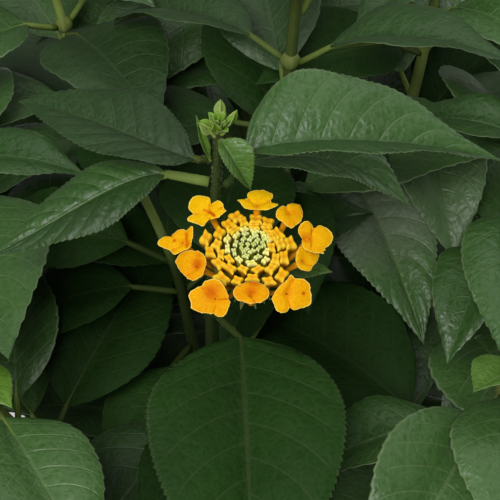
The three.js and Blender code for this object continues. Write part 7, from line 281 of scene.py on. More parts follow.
BUDS = {
    "outer": [
        [[-2.92, -50.31, 300.18], [-0.013, 0.049, 0.999], [-1.09, -57.06, 291.9], [[-4.71, -49.85, 300.13], [-2.47, -48.44, 300.09], [-1.18, -50.54, 300.21], [-3.3, -52.42, 300.27]]],
        [[-4.61, -52.89, 300.54], [-0.026, 0.041, 0.999], [-1.55, -57.76, 291.9], [[-6.11, -52.32, 300.48], [-4.48, -51.36, 300.48], [-3.08, -53.03, 300.59], [-4.77, -54.85, 300.62]]],
        [[-1.41, -52.24, 300.63], [-0.005, 0.037, 0.999], [-0.69, -57.59, 291.9], [[-2.45, -51.38, 300.6], [-0.96, -50.76, 300.58], [-0.21, -53.11, 300.67], [-2.02, -53.72, 300.68]]],
        [[1.25, -51.44, 300.46], [0.009, 0.042, 0.999], [0.03, -57.37, 291.9], [[0, -49.92, 300.4], [2.57, -50.27, 300.4], [2.55, -52.79, 300.5], [-0.11, -52.76, 300.52]]],
        [[3.8, -52.39, 300.45], [0.026, 0.044, 0.999], [0.72, -57.62, 291.9], [[2.67, -50.58, 300.4], [5.19, -51.46, 300.38], [4.67, -54.08, 300.5], [2.66, -53.42, 300.53]]],
        [[5.78, -55.8, 300.66], [0.055, 0.033, 0.998], [1.25, -58.55, 291.9], [[4.4, -55.24, 300.71], [5.52, -53.73, 300.6], [7.5, -56.61, 300.59], [5.69, -57.62, 300.72]]],
        [[8.41, -58.15, 300.32], [0.103, 0.016, 0.995], [1.96, -59.18, 291.9], [[7.17, -57.34, 300.44], [8.78, -55.91, 300.24], [9.92, -59.24, 300.18], [7.76, -60.11, 300.42]]],
        [[7.1, -62.48, 300.5], [0.119, -0.046, 0.992], [1.61, -60.35, 291.9], [[6.17, -61.37, 300.67], [7.86, -60.49, 300.5], [8.12, -64.06, 300.31], [6.24, -63.99, 300.54]]],
        [[6.6, -67.08, 300], [0.13, -0.139, 0.982], [1.48, -61.59, 291.9], [[6.34, -65.15, 300.31], [8.09, -66.47, 299.89], [6.81, -68.91, 299.72], [5.17, -67.79, 300.09]]],
        [[3.88, -68.84, 300.02], [0.085, -0.184, 0.979], [0.74, -62.07, 291.9], [[2.48, -68.27, 300.25], [4.44, -67.78, 300.17], [5.53, -69.38, 299.77], [3.09, -69.91, 299.89]]],
        [[0.51, -68.2, 300.37], [0.019, -0.178, 0.984], [-0.17, -61.89, 291.9], [[-1.03, -68.87, 300.28], [-0.45, -67.41, 300.54], [1.55, -67.45, 300.49], [1.96, -69.07, 300.19]]],
        [[-2.61, -68.81, 300.19], [-0.045, -0.189, 0.981], [-1.01, -62.06, 291.9], [[-3.92, -69.22, 300.05], [-3.14, -67.65, 300.39], [-1.34, -68.48, 300.31], [-2.06, -69.89, 300.01]]],
        [[-5.76, -68.06, 300.07], [-0.103, -0.165, 0.981], [-1.86, -61.86, 291.9], [[-7.76, -67.64, 299.93], [-6.05, -66.24, 300.34], [-4.06, -68.68, 300.14], [-5.15, -69.69, 299.86]]],
        [[-6.52, -64.31, 300.57], [-0.108, -0.084, 0.991], [-2.07, -60.84, 291.9], [[-8.12, -63.57, 300.46], [-6.61, -62.78, 300.69], [-4.88, -64.86, 300.7], [-6.47, -66.03, 300.43]]],
        [[-8.44, -60.89, 300.49], [-0.114, -0.019, 0.993], [-2.58, -59.92, 291.9], [[-9.46, -59.31, 300.4], [-7.81, -59.69, 300.59], [-7.14, -62.47, 300.61], [-9.34, -62.09, 300.36]]],
        [[-9.27, -56.66, 300.24], [-0.093, 0.03, 0.995], [-2.81, -58.78, 291.9], [[-10.76, -57.33, 300.12], [-9.45, -54.08, 300.14], [-8.04, -56.06, 300.33], [-8.83, -59.17, 300.36]]],
        [[-6.43, -55.54, 300.66], [-0.051, 0.034, 0.998], [-2.04, -58.48, 291.9], [[-7.72, -56.03, 300.61], [-6.8, -53.37, 300.57], [-5.08, -55.25, 300.72], [-6.11, -57.5, 300.74]]],
    ],
    "inner": [
        [[-6.93, -59.02, 300.78], [-0.08, 0.007, 0.997], [-2.18, -59.41, 291.9], [[-8.29, -59.48, 300.67], [-7.17, -57.29, 300.75], [-5.89, -58.49, 300.86], [-6.38, -60.8, 300.83]]],
        [[-6.14, -61.9, 300.83], [-0.091, -0.037, 0.995], [-1.96, -60.19, 291.9], [[-7.12, -60.48, 300.8], [-5.23, -60.84, 300.96], [-5.52, -63.55, 300.83], [-6.67, -62.75, 300.75]]],
        [[-4.33, -63.38, 300.93], [-0.072, -0.071, 0.995], [-1.48, -60.59, 291.9], [[-5.46, -62.7, 300.9], [-4.28, -62.01, 301.03], [-3.22, -64.11, 300.96], [-4.36, -64.71, 300.84]]],
        [[-4.11, -65.73, 300.67], [-0.073, -0.121, 0.99], [-1.42, -61.23, 291.9], [[-5.75, -65.16, 300.62], [-4.36, -64.45, 300.81], [-2.74, -65.91, 300.75], [-3.6, -67.43, 300.5]]],
        [[-1.42, -66.12, 300.76], [-0.021, -0.136, 0.991], [-0.69, -61.33, 291.9], [[-2.63, -66.05, 300.75], [-1.95, -65, 300.9], [-0.27, -65.96, 300.81], [-0.83, -67.46, 300.59]]],
        [[1.64, -66.12, 300.72], [0.042, -0.134, 0.99], [0.14, -61.33, 291.9], [[0.27, -66.29, 300.76], [1.83, -64.97, 300.87], [3.11, -65.86, 300.69], [1.34, -67.38, 300.56]]],
        [[4.41, -65.74, 300.55], [0.092, -0.118, 0.989], [0.88, -61.23, 291.9], [[3, -66.09, 300.64], [4.22, -64.45, 300.72], [5.96, -64.95, 300.5], [4.45, -67.45, 300.34]]],
        [[5.33, -63.26, 300.73], [0.099, -0.064, 0.993], [1.13, -60.56, 291.9], [[4.7, -61.81, 300.88], [6.27, -61.81, 300.73], [6.13, -64.94, 300.54], [4.22, -64.49, 300.76]]],
        [[6.39, -58.87, 300.73], [0.083, 0.008, 0.997], [1.42, -59.38, 291.9], [[5.11, -58.17, 300.83], [6.96, -56.97, 300.66], [7.56, -59.44, 300.63], [5.92, -60.9, 300.78]]],
        [[4.47, -60.14, 301], [0.068, -0.008, 0.998], [0.9, -59.72, 291.9], [[3.53, -59.08, 301.08], [5.25, -58.97, 300.96], [5.33, -61.48, 300.93], [3.76, -61.01, 301.04]]],
        [[3.59, -54.75, 300.82], [0.027, 0.033, 0.999], [0.66, -58.26, 291.9], [[2.23, -53.71, 300.82], [4.35, -53.81, 300.77], [4.82, -55.8, 300.82], [2.96, -55.69, 300.87]]],
        [[0.85, -53.92, 300.89], [0.007, 0.029, 1], [-0.08, -58.04, 291.9], [[-0.47, -53.26, 300.88], [2.02, -53.09, 300.86], [2.08, -54.78, 300.91], [-0.21, -54.55, 300.92]]],
        [[-3.38, -54.9, 300.93], [-0.019, 0.029, 0.999], [-1.22, -58.3, 291.9], [[-4.86, -55.44, 300.92], [-3.12, -53.26, 300.88], [-1.74, -54.52, 300.95], [-3.8, -56.38, 300.96]]],
        [[4.49, -57.01, 300.93], [0.046, 0.024, 0.999], [0.9, -58.87, 291.9], [[3.34, -56.08, 300.96], [4.71, -55.71, 300.88], [5.58, -57.79, 300.89], [4.31, -58.45, 300.97]]],
    ],
    "pale": [
        [[-4.69, -57.81, 301.04], [-0.043, 0.017, 0.999], [-1.57, -59.09, 291.9], [[-5.68, -57.98, 301], [-4.54, -56.23, 301.02], [-3.94, -57.67, 301.07], [-4.62, -59.37, 301.07]]],
        [[-4.71, -60.58, 301.06], [-0.064, -0.015, 0.998], [-1.58, -59.84, 291.9], [[-5.28, -59.63, 301.04], [-4.24, -59.41, 301.11], [-4.11, -61.63, 301.08], [-5.22, -61.65, 301.01]]],
        [[-2.79, -56.73, 301.13], [-0.016, 0.019, 1], [-1.06, -58.8, 291.9], [[-3.73, -57.13, 301.13], [-2.47, -55.49, 301.11], [-2, -56.41, 301.14], [-2.95, -57.9, 301.15]]],
        [[-1.21, -54.87, 301.02], [-0.004, 0.024, 1], [-0.63, -58.3, 291.9], [[-2.22, -54.89, 301.02], [-0.85, -53.98, 301], [-0.15, -54.9, 301.03], [-1.63, -55.72, 301.04]]],
        [[0.94, -55.41, 301.07], [0.007, 0.022, 1], [-0.05, -58.44, 291.9], [[-0.04, -55.15, 301.07], [1.27, -54.68, 301.05], [2.11, -55.53, 301.06], [0.42, -56.3, 301.09]]],
        [[2.79, -56.38, 301.05], [0.024, 0.023, 0.999], [0.45, -58.7, 291.9], [[1.97, -55.43, 301.05], [3.06, -55.64, 301.03], [3.58, -57.21, 301.05], [2.53, -57.23, 301.08]]],
        [[3.74, -57.97, 301.06], [0.042, 0.016, 0.999], [0.7, -59.13, 291.9], [[3.01, -57.38, 301.08], [3.86, -56.69, 301.03], [4.41, -58.52, 301.04], [3.67, -59.29, 301.08]]],
        [[3.49, -61.35, 301.07], [0.064, -0.029, 0.998], [0.64, -60.04, 291.9], [[3.24, -60.49, 301.11], [4.19, -60.52, 301.05], [3.96, -62.43, 301.01], [2.57, -61.95, 301.11]]],
        [[3.18, -63.8, 300.92], [0.068, -0.081, 0.994], [0.55, -60.71, 291.9], [[2.25, -64.11, 300.96], [3.13, -62.72, 301.01], [4.33, -63.53, 300.86], [3.01, -64.86, 300.85]]],
        [[0.25, -64.65, 300.98], [0.014, -0.106, 0.994], [-0.24, -60.94, 291.9], [[-1.04, -64.26, 301.04], [0.94, -63.85, 301.05], [1.62, -65.06, 300.91], [-0.52, -65.43, 300.91]]],
        [[-2.27, -63.69, 301.05], [-0.037, -0.083, 0.996], [-0.92, -60.68, 291.9], [[-3.27, -63.32, 301.04], [-2.4, -62.68, 301.13], [-1.39, -63.92, 301.06], [-2.01, -64.83, 300.96]]],
    ],
    "green": [
        [[-3.31, -61.65, 301.14], [-0.051, -0.037, 0.998], [-1.2, -60.12, 291.9], [[-4.02, -60.67, 301.14], [-2.93, -60.66, 301.2], [-2.75, -62.55, 301.14], [-3.54, -62.71, 301.09]]],
        [[-1.58, -61.16, 301.25], [-0.023, -0.031, 0.999], [-0.73, -59.99, 291.9], [[-2.3, -60.35, 301.26], [-1.68, -60.08, 301.28], [-0.77, -61.79, 301.25], [-1.56, -62.42, 301.21]]],
        [[-0.78, -62.84, 301.17], [-0.007, -0.068, 0.998], [-0.52, -60.45, 291.9], [[-1.81, -62.94, 301.15], [-1.04, -62.05, 301.22], [0.06, -62.68, 301.18], [-0.31, -63.68, 301.11]]],
        [[1.58, -63.05, 301.1], [0.04, -0.069, 0.997], [0.12, -60.5, 291.9], [[0.62, -63.26, 301.13], [1.73, -62.13, 301.16], [2.71, -62.91, 301.07], [1.25, -63.91, 301.06]]],
        [[0.36, -61.57, 301.24], [0.016, -0.041, 0.999], [-0.21, -60.1, 291.9], [[-0.63, -61.87, 301.25], [0.52, -60.74, 301.27], [1.46, -61.34, 301.24], [0.06, -62.33, 301.22]]],
        [[1.85, -60.63, 301.22], [0.037, -0.018, 0.999], [0.19, -59.85, 291.9], [[1.15, -60.91, 301.24], [1.89, -59.74, 301.24], [2.58, -60.14, 301.2], [1.77, -61.75, 301.21]]],
        [[2.75, -59.41, 301.18], [0.04, 0.002, 0.999], [0.43, -59.52, 291.9], [[2.06, -58.68, 301.2], [3.01, -58.29, 301.16], [3.41, -60.09, 301.15], [2.51, -60.57, 301.19]]],
        [[1.58, -58.35, 301.23], [0.018, 0.011, 1], [0.12, -59.23, 291.9], [[0.84, -58.52, 301.25], [1.58, -57.23, 301.22], [2.27, -58.11, 301.22], [1.64, -59.54, 301.24]]],
        [[0.11, -57.9, 301.26], [0.003, 0.009, 1], [-0.28, -59.11, 291.9], [[-0.74, -58.3, 301.27], [0, -56.9, 301.25], [0.91, -57.56, 301.26], [0.27, -58.83, 301.27]]],
        [[-1.32, -58.01, 301.26], [-0.006, 0.009, 1], [-0.66, -59.14, 291.9], [[-2.04, -58.15, 301.26], [-1.26, -57.05, 301.25], [-0.63, -57.8, 301.26], [-1.36, -59.04, 301.27]]],
        [[-2.97, -59.19, 301.22], [-0.03, 0.004, 1], [-1.11, -59.46, 291.9], [[-3.67, -59.85, 301.2], [-3.15, -58.04, 301.21], [-2.35, -58.56, 301.23], [-2.72, -60.32, 301.23]]],
        [[-1.81, -59.53, 301.28], [-0.018, 0, 1], [-0.8, -59.55, 291.9], [[-2.41, -59.27, 301.27], [-1.68, -58.75, 301.28], [-1.26, -59.73, 301.29], [-1.88, -60.36, 301.28]]],
        [[-0.45, -59.59, 301.3], [0, -0.001, 1], [-0.43, -59.57, 291.9], [[-1.05, -59.3, 301.3], [-0.42, -58.86, 301.3], [0.1, -59.59, 301.3], [-0.42, -60.62, 301.3]]],
        [[0.77, -59.52, 301.28], [0.015, 0.001, 1], [-0.1, -59.55, 291.9], [[0.17, -59.29, 301.29], [0.84, -58.7, 301.28], [1.43, -59.63, 301.27], [0.63, -60.46, 301.29]]],
        [[-0.96, -56.36, 301.17], [-0.003, 0.016, 1], [-0.57, -58.7, 291.9], [[-1.9, -56.29, 301.17], [-0.85, -55.78, 301.16], [0, -56.23, 301.17], [-1.1, -57.13, 301.18]]],
        [[1.09, -56.8, 301.18], [0.009, 0.016, 1], [-0.01, -58.82, 291.9], [[0.27, -56.54, 301.18], [1.27, -55.99, 301.16], [1.96, -57.03, 301.17], [0.84, -57.64, 301.19]]],
        [[2.81, -57.67, 301.13], [0.029, 0.017, 0.999], [0.45, -59.05, 291.9], [[2.28, -57.14, 301.13], [2.95, -56.97, 301.11], [3.43, -58.1, 301.12], [2.58, -58.48, 301.15]]],
        [[-0.64, -60.86, 301.28], [-0.005, -0.027, 1], [-0.48, -59.91, 291.9], [[-1.25, -60.74, 301.28], [-0.57, -60.18, 301.3], [0, -60.94, 301.28], [-0.73, -61.59, 301.26]]],
    ],
}
# each floret: name, throat, facing, tube foot, outline [angle, radius], tone, throat opening, folds [x0, y0, x1, y1,
# width, painted shade, step]
FLORETS = [
    ["open_floret_1", [-8.73, -50.98, 302], [-0.252, -0.342, 0.905], [-3.03, -56.87, 290.9], [[1.376, 1.19], [1.36, 2.33], [1.395, 2.93], [1.547, 3.49], [1.78, 4.04], [2.006, 4.73], [2.193, 5.38], [2.322, 5.58], [2.45, 5.51], [2.625, 5.24], [2.801, 4.87], [2.919, 4.38], [3.009, 3.7], [-3.104, 3.19], [-3.083, 4.13], [-3.016, 4.74], [-2.929, 4.93], [-2.806, 4.73], [-2.619, 3.95], [-2.387, 3.44], [-2.152, 3.33], [-1.984, 3.47], [-1.872, 3.16], [-1.779, 2.34], [-1.476, 1.8], [-1.053, 1.9], [-0.723, 2.29], [-0.58, 2.83], [-0.379, 2.89], [-0.189, 3.28], [-0.011, 4.06], [0.082, 3.44], [0.319, 3.42], [0.53, 3.57], [0.744, 3.44], [0.921, 3.11], [1.074, 2.37], [1.22, 1.68]], 0.02, 0.15, [[-1.0, 0.64, 0.11, 0.16, 0.3, 0.55, 0.0], [0.11, 0.28, 1.34, -1.03, 0.32, 0.95, 0.1], [0.2, 2.14, 0.11, 0.75, 0.16, 0.5, 0.15], [-3.21, -0.16, -1.88, 0.04, 0.2, 0.25, 0.0]]],
    ["open_floret_2", [1.49, -49.47, 302.6], [0, 0.02, 1], [0.28, -55.88, 290.9], [[-2.394, 2.04], [-2.624, 2.7], [-2.92, 3.06], [3.047, 3.43], [2.871, 3.88], [2.775, 4.58], [2.613, 4.46], [2.498, 4.01], [2.477, 2.98], [2.531, 1.93], [2.331, 2.66], [2.184, 3.71], [2.005, 4.36], [1.844, 4.74], [1.613, 4.76], [1.435, 4.89], [1.345, 5.36], [1.22, 5.05], [1.02, 4.95], [0.863, 4.97], [0.721, 4.64], [0.58, 3.89], [0.454, 3.09], [0.243, 2.53], [0.254, 3.31], [0.244, 3.96], [0.154, 4.43], [0.069, 4.7], [-0.038, 4.26], [-0.218, 3.48], [-0.48, 3.11], [-0.742, 2.58], [-0.977, 1.89], [-1.379, 1.63], [-1.906, 1.63]], 0.0, 0.0, [[-0.0, -1.04, -0.0, -1.04, 0.9, 0.32, 0.0], [-1.81, 1.45, -0.85, 0.2, 0.2, 0.3, 0.1], [2.78, 0.98, 1.28, -0.11, 0.2, 0.3, -0.1], [-0.01, -2.58, -0.01, -2.58, 0.8, 0.3, 0]]],
    ["open_floret_3", [8.19, -51.43, 302], [0.224, -0.122, 0.967], [2.31, -56.99, 290.9], [[1.894, 1.73], [1.667, 2.23], [1.401, 2.7], [1.086, 3.41], [0.832, 3.68], [0.521, 3.32], [0.185, 3.08], [-0.279, 2.98], [-0.635, 3.1], [-0.996, 3.12], [-1.262, 3.44], [-1.393, 3.88], [-1.521, 3.53], [-1.745, 3.41], [-1.989, 3.02], [-2.226, 2.94], [-2.455, 3.15], [-2.683, 3.15], [-2.974, 2.9], [2.949, 2.58], [2.536, 2.41], [2.186, 2.28]], 0.3, 0.0, [[-0.73, 1.86, 0.23, 0.14, 0.22, 0.35, 0.1], [1.55, 0.37, 1.55, 0.37, 1.5, 0.22, 0.0], [0.19, -2.83, 0.19, -2.83, 1.1, 0.2, 0]]],
    ["open_floret_4", [12.37, -58.82, 301.8], [0.279, -0.339, 0.898], [3.32, -59.35, 290.9], [[1.132, 1.73], [1.221, 2.56], [1.326, 3.21], [1.471, 3.93], [1.628, 4.28], [1.79, 4.21], [1.994, 3.91], [2.24, 3.53], [2.526, 3.08], [2.776, 2.62], [2.951, 2.06], [-3.024, 1.68], [-2.647, 1.86], [-2.34, 2.34], [-2.083, 2.66], [-1.805, 2.79], [-1.414, 2.88], [-1.014, 3.4], [-0.857, 3.79], [-0.692, 4.42], [-0.532, 4.83], [-0.483, 4.49], [-0.497, 3.85], [-0.581, 3.21], [-0.446, 3.49], [-0.317, 4.05], [-0.128, 4.6], [0.085, 5.19], [0.239, 5.54], [0.427, 5.51], [0.577, 5.3], [0.751, 4.85], [0.946, 4.51], [1.078, 4.12], [1.149, 3.06]], 0.28, 0.0, [[0.56, 1.96, 0.24, -1.74, 0.2, 0.45, -0.22], [-1.01, 0.16, -1.01, 0.16, 1.7, 0.4, 0.0], [-1.42, 2.41, -1.42, 2.41, 0.8, 0.25, 0.0]]],
    ["open_floret_5", [11, -62.38, 299], [0.422, -0.422, 0.803], [3.22, -60.46, 290.9], [[1.753, 3.11], [2.004, 2.74], [2.266, 2.41], [2.585, 2.02], [3.042, 1.84], [-2.764, 1.8], [-2.346, 1.91], [-2.017, 2.03], [-1.658, 2.06], [-1.228, 2.25], [-0.834, 2.53], [-0.586, 2.38], [-0.341, 2.31], [-0.037, 2.92], [0.157, 3.48], [0.344, 4.02], [0.489, 4.33], [0.651, 4.14], [0.834, 3.8], [1.077, 3.62], [1.35, 3.5], [1.557, 3.36]], 0.22, 0.0, [[-0.33, -0.25, -0.33, -0.25, 0.9, 0.3, 0.0], [2.28, 1.59, 2.28, 1.59, 0.9, 0.25, 0.0], [1.11, 2.76, 1.11, 2.76, 1.3, 0.18, 0.0]]],
    ["open_floret_6", [7.46, -73.08, 300.6], [0.121, -0.623, 0.773], [1.47, -62.8, 290.9], [[1.491, 3.09], [1.444, 3.69], [1.352, 4.12], [1.239, 4], [1.146, 3.53], [0.977, 3.8], [0.86, 4.22], [0.71, 4.74], [0.567, 5], [0.413, 5.18], [0.248, 5.12], [0.175, 4.87], [0.047, 5.05], [-0.111, 5.24], [-0.231, 5.22], [-0.282, 5.47], [-0.405, 5.37], [-0.543, 4.91], [-0.673, 4.57], [-0.757, 4.05], [-0.937, 3.91], [-1.147, 3.6], [-1.294, 3.12], [-1.315, 2.52], [-1.421, 2.92], [-1.476, 3.43], [-1.614, 3.74], [-1.767, 3.98], [-1.977, 4.04], [-2.15, 4.04], [-2.304, 3.63], [-2.539, 3.33], [-2.734, 3.32], [-2.843, 3.3], [-3.045, 2.66], [2.997, 2.47], [2.569, 2.17], [2.202, 2.22], [1.827, 2.33], [1.635, 2.71]], 0.42, 0.1, [[3.45, 0.11, 3.45, 0.11, 0.38, 1.0, 0.12], [1.29, 3.47, 0.56, 1.21, 0.22, 0.35, 0.1], [0.25, 0.59, 0.25, 0.59, 1.0, 0.3, 0.0], [0.65, -2.88, 0.35, -1.45, 0.16, 0.3, 0.08]]],
    ["open_floret_7", [0.31, -73.72, 301.6], [0, -0.08, 0.997], [-0.23, -63.31, 290.9], [[-3.134, 3.76], [2.94, 3.64], [2.791, 3.36], [2.556, 3.06], [2.281, 2.82], [1.925, 2.65], [1.532, 2.64], [1.147, 2.73], [0.847, 2.93], [0.54, 3.09], [0.32, 3.33], [0.129, 3.53], [-0.056, 3.62], [-0.308, 3.58], [-0.519, 3.5], [-0.73, 3.39], [-0.883, 3.28], [-1.047, 3.51], [-1.117, 3], [-1.402, 2.99], [-1.672, 3.04], [-1.945, 3.05], [-2.168, 3.06], [-2.342, 3.34], [-2.547, 3.55], [-2.762, 3.61], [-2.955, 3.76]], 0.6, 0.12, [[-0.25, -0.98, -0.25, -0.98, 0.7, 0.62, 0.05], [-0.0, 0.21, -0.0, 0.21, 1.5, 0.45, 0.0], [0.51, 2.15, 0.51, 2.15, 1.6, 0.5, 0.0]]],
    ["open_floret_8", [-7.03, -74.46, 300.6], [-0.141, -0.604, 0.785], [-1.94, -62.99, 290.9], [[2.37, 3.73], [2.23, 4.15], [2.096, 4.26], [1.942, 4.16], [1.762, 4.15], [1.636, 4.24], [1.481, 3.95], [1.308, 3.77], [1.106, 3.37], [0.891, 3.07], [0.667, 2.86], [0.355, 2.72], [0.103, 2.84], [-0.013, 2.5], [-0.114, 2.98], [-0.218, 3.18], [-0.418, 3.19], [-0.671, 3.38], [-0.895, 3.73], [-1.099, 3.99], [-1.308, 3.82], [-1.465, 3.6], [-1.603, 3.22], [-1.695, 2.75], [-1.768, 3.25], [-1.938, 3.22], [-2.151, 3.43], [-2.378, 4.06], [-2.538, 4.46], [-2.656, 4.75], [-2.757, 5.32], [-2.814, 5.43], [-2.95, 5.13], [-3.071, 5.1], [-3.14, 5.4], [3.04, 5.64], [2.948, 5.62], [2.843, 5.4], [2.716, 4.86], [2.577, 4.49], [2.451, 4.1]], 0.5, 0.0, [[-0.86, 1.41, -0.86, 1.41, 1.7, 0.6, 0.0], [-3.14, 2.56, -0.66, 0.39, 0.22, 0.4, 0.14], [2.85, -0.02, 0.79, -0.14, 0.16, 0.55, -0.12], [-0.34, -2.68, -0.03, -1.46, 0.16, 0.45, -0.1], [0.17, 2.01, 0.17, 2.01, 1.6, 0.35, 0]]],
    ["open_floret_9", [-11.01, -65.1, 300.2], [-0.422, -0.422, 0.803], [-3.74, -61.3, 290.9], [[2.011, 4.12], [1.872, 3.86], [1.722, 3.45], [1.522, 3.51], [1.279, 3.14], [0.993, 2.96], [0.7, 2.75], [0.356, 2.51], [0.007, 2.31], [-0.381, 2.18], [-0.736, 2.27], [-0.886, 2.65], [-1.187, 2.64], [-1.47, 2.85], [-1.783, 3.11], [-2.04, 2.98], [-2.289, 3.13], [-2.447, 2.98], [-2.743, 3.27], [-3.036, 3.8], [3.089, 4.31], [2.943, 4.81], [2.852, 5.12], [2.805, 5.69], [2.725, 5.34], [2.607, 5.27], [2.438, 5.18], [2.25, 4.75]], 0.55, 0.15, [[0.31, 0.51, 0.31, 0.51, 1.3, 0.62, 0.0], [0.87, 2.17, 0.87, 2.17, 1.1, 0.35, 0.0]]],
    ["open_floret_10", [-14.03, -59.65, 301.6], [-0.302, -0.302, 0.905], [-4.17, -59.59, 290.9], [[2.982, 5.81], [2.886, 5.78], [2.785, 5.24], [2.654, 4.78], [2.488, 4.14], [2.442, 3.34], [2.494, 2.71], [2.189, 3.05], [1.992, 3.29], [1.746, 3.23], [1.455, 2.98], [1.225, 2.6], [1.182, 3.23], [1.184, 4.12], [1.14, 4.54], [0.997, 4.03], [0.753, 3.1], [0.458, 2.61], [0.123, 2.09], [-0.267, 2.05], [-0.564, 2.3], [-0.864, 2.22], [-1.335, 1.92], [-1.771, 2.16], [-1.941, 2.72], [-2.133, 3.12], [-2.385, 3.06], [-2.663, 3.03], [-2.923, 3.72], [-3.089, 4.61], [3.112, 5.42]], 0.3, 0.0, [[-1.76, 0.65, -1.76, 0.65, 0.36, 1.0, 0.14], [-2.24, 2.01, -1.88, 0.9, 0.18, 0.35, 0.1], [0.88, 1.9, 1.05, -1.15, 0.42, 0.62, 0.0], [1.25, 3.71, 1.2, 0.45, 0.16, 0.4, -0.15]]],
]
HEADS = {
    "flower_head_right": {"c": [98, -30, 303], "n": [0.415, -0.197, 0.888], "ped": [[74.5, 0.5, 264], [82, -8, 278], [92, -22, 290]], "kind": "open", "s": 1, "seed": 11, "fl": [[[96.92, -44.16, 302], [0.333, -0.676, 0.658], [94.03, -31.63, 294.81], 3.76, 3.72], [[104.81, -42.07, 298.76], [0.513, -0.765, 0.389], [95.9, -31.08, 294.06], 3.62, 0.62], [[110.47, -34.39, 297.85], [0.753, -0.363, 0.549], [97.29, -29.29, 293.81], 3.77, 3.58], [[111.02, -24.47, 299.89], [0.918, 0.053, 0.393], [97.36, -26.93, 294.3], 3.82, 3.44], [[107.86, -18.26, 302.2], [0.762, 0.296, 0.575], [96.53, -25.65, 294.97], 4.03, 4.57], [[99.39, -16.28, 306.77], [0.35, 0.554, 0.755], [94.65, -24.97, 296], 3.73, 6.13], [[92.49, -18.77, 309.56], [0.085, 0.24, 0.967], [92.97, -25.52, 296.66], 3.44, 2.89], [[86.24, -27.18, 310.99], [-0.045, -0.129, 0.991], [91.49, -27.56, 296.9], 3.98, 6.03], [[85.91, -34.71, 308.81], [-0.087, -0.359, 0.929], [91.43, -29.38, 296.52], 3.58, 5.89], [[89.05, -41.84, 305.86], [-0.055, -0.606, 0.793], [92.31, -30.92, 295.77], 4.09, 5.8]]},
    "flower_head_left": {"c": [-98, -26, 296], "n": [-0.491, -0.246, 0.836], "ped": [[-76.5, 0.3, 260], [-83, -7, 273], [-92, -19, 285]], "kind": "full", "s": 1.05, "seed": 12, "fl": [[[-86.7, -34.63, 301.55], [0.185, -0.557, 0.81], [-90.77, -25.74, 289.52], 3.85, 1.7], [[-86.11, -26.71, 304.59], [0.164, -0.178, 0.97], [-90.48, -23.86, 290.25], 3.64, 1.43], [[-90.98, -15.11, 305.42], [0.075, 0.298, 0.952], [-91.8, -21.24, 290.24], 3.79, 5.17], [[-99.84, -11.94, 300.99], [-0.368, 0.485, 0.793], [-93.81, -20.33, 289.32], 3.69, 2.25], [[-107.46, -13.23, 295.48], [-0.718, 0.222, 0.659], [-95.57, -20.85, 288.14], 3.81, 3.72], [[-112.32, -22.85, 289.75], [-0.916, -0.053, 0.397], [-96.66, -23.02, 286.86], 3.81, 3.59], [[-108.76, -33.47, 288.88], [-0.782, -0.549, 0.296], [-96.01, -25.51, 286.51], 4.24, 5.8], [[-102.24, -40.02, 291.1], [-0.495, -0.791, 0.36], [-94.38, -26.95, 287.04], 3.84, 4.43], [[-93.02, -40.37, 296.62], [-0.25, -0.58, 0.775], [-92.2, -27.08, 288.29], 4.05, 1.01], [[-92.26, -23.8, 303.68], [-0.13, -0.085, 0.988], [-91.61, -22.98, 289.84], 4.22, 5.89], [[-101, -18.17, 300.78], [-0.493, -0.016, 0.87], [-93.91, -21.34, 288.97], 4.17, 0.38], [[-107.48, -24.18, 294.76], [-0.612, -0.22, 0.76], [-95.73, -23.07, 287.39], 3.9, 2.57], [[-103.02, -33.92, 294.31], [-0.609, -0.508, 0.609], [-94.55, -25.78, 287.29], 4.12, 1.05], [[-94.28, -33.92, 300.41], [-0.308, -0.41, 0.858], [-92, -25.73, 288.8], 3.67, 4.8]]},
    "flower_head_back": {"c": [-14, 98, 301], "n": [-0.099, 0.445, 0.89], "ped": [[-3.2, 80.5, 262], [-6, 85, 276], [-11, 92, 289]], "kind": "open", "s": 0.95, "seed": 13, "fl": [[[-1.77, 104.45, 299.87], [0.327, 0.594, 0.735], [-10.33, 95.8, 293.33], 3.64, 5.32], [[-7.54, 109.18, 297.42], [0.191, 0.893, 0.408], [-11.6, 96.95, 292.61], 3.72, 3.29], [[-15.9, 110.42, 295.92], [-0.148, 0.771, 0.619], [-13.62, 97.21, 292.26], 3.36, 1.94], [[-22.32, 107.73, 296.83], [-0.455, 0.707, 0.541], [-15.17, 96.56, 292.41], 3.89, 4.53], [[-27.08, 100.69, 299.49], [-0.745, 0.36, 0.562], [-16.32, 94.89, 293.12], 3.67, 5.13], [[-25.94, 92.45, 303.52], [-0.517, 0.114, 0.848], [-16.05, 92.92, 294.13], 3.57, 4.47], [[-20.73, 87.16, 307.28], [-0.239, 0.046, 0.97], [-14.7, 91.74, 294.87], 3.47, 2.63], [[-13.44, 86.01, 308.64], [-0.065, -0.211, 0.975], [-13.03, 91.49, 295.19], 3.75, 2.45], [[-4.42, 90.83, 307.14], [0.242, 0.183, 0.953], [-10.85, 92.49, 294.93], 3.63, 2.29], [[-0.01, 97.01, 303.84], [0.561, 0.274, 0.781], [-10.01, 94.07, 294.23], 3.57, 0.22]]},
    "flower_head_top": {"c": [40, 50, 332], "n": [0.251, 0.251, 0.935], "ped": [[12.6, 25.2, 296], [20, 32, 308], [32, 43, 319]], "kind": "bud", "s": 0.8, "seed": 14, "fl": [[[41.56, 60.11, 329.8], [0.364, 0.786, 0.5], [38.62, 50.85, 324.78], 3.06, 3.66], [[31.84, 55.43, 333.57], [-0.233, 0.556, 0.797], [35.97, 49.71, 325.8], 3.24, 4.59], [[34.36, 43.56, 336.51], [-0.183, -0.256, 0.949], [36.59, 46.36, 326.53], 3.11, 2.04], [[44.02, 40.66, 333.93], [0.377, -0.504, 0.777], [39.3, 45.78, 325.96], 3.07, 4.29], [[49.53, 52.01, 330], [0.756, 0.245, 0.608], [40.82, 48.75, 324.75], 3.29, 4.84]]},
}


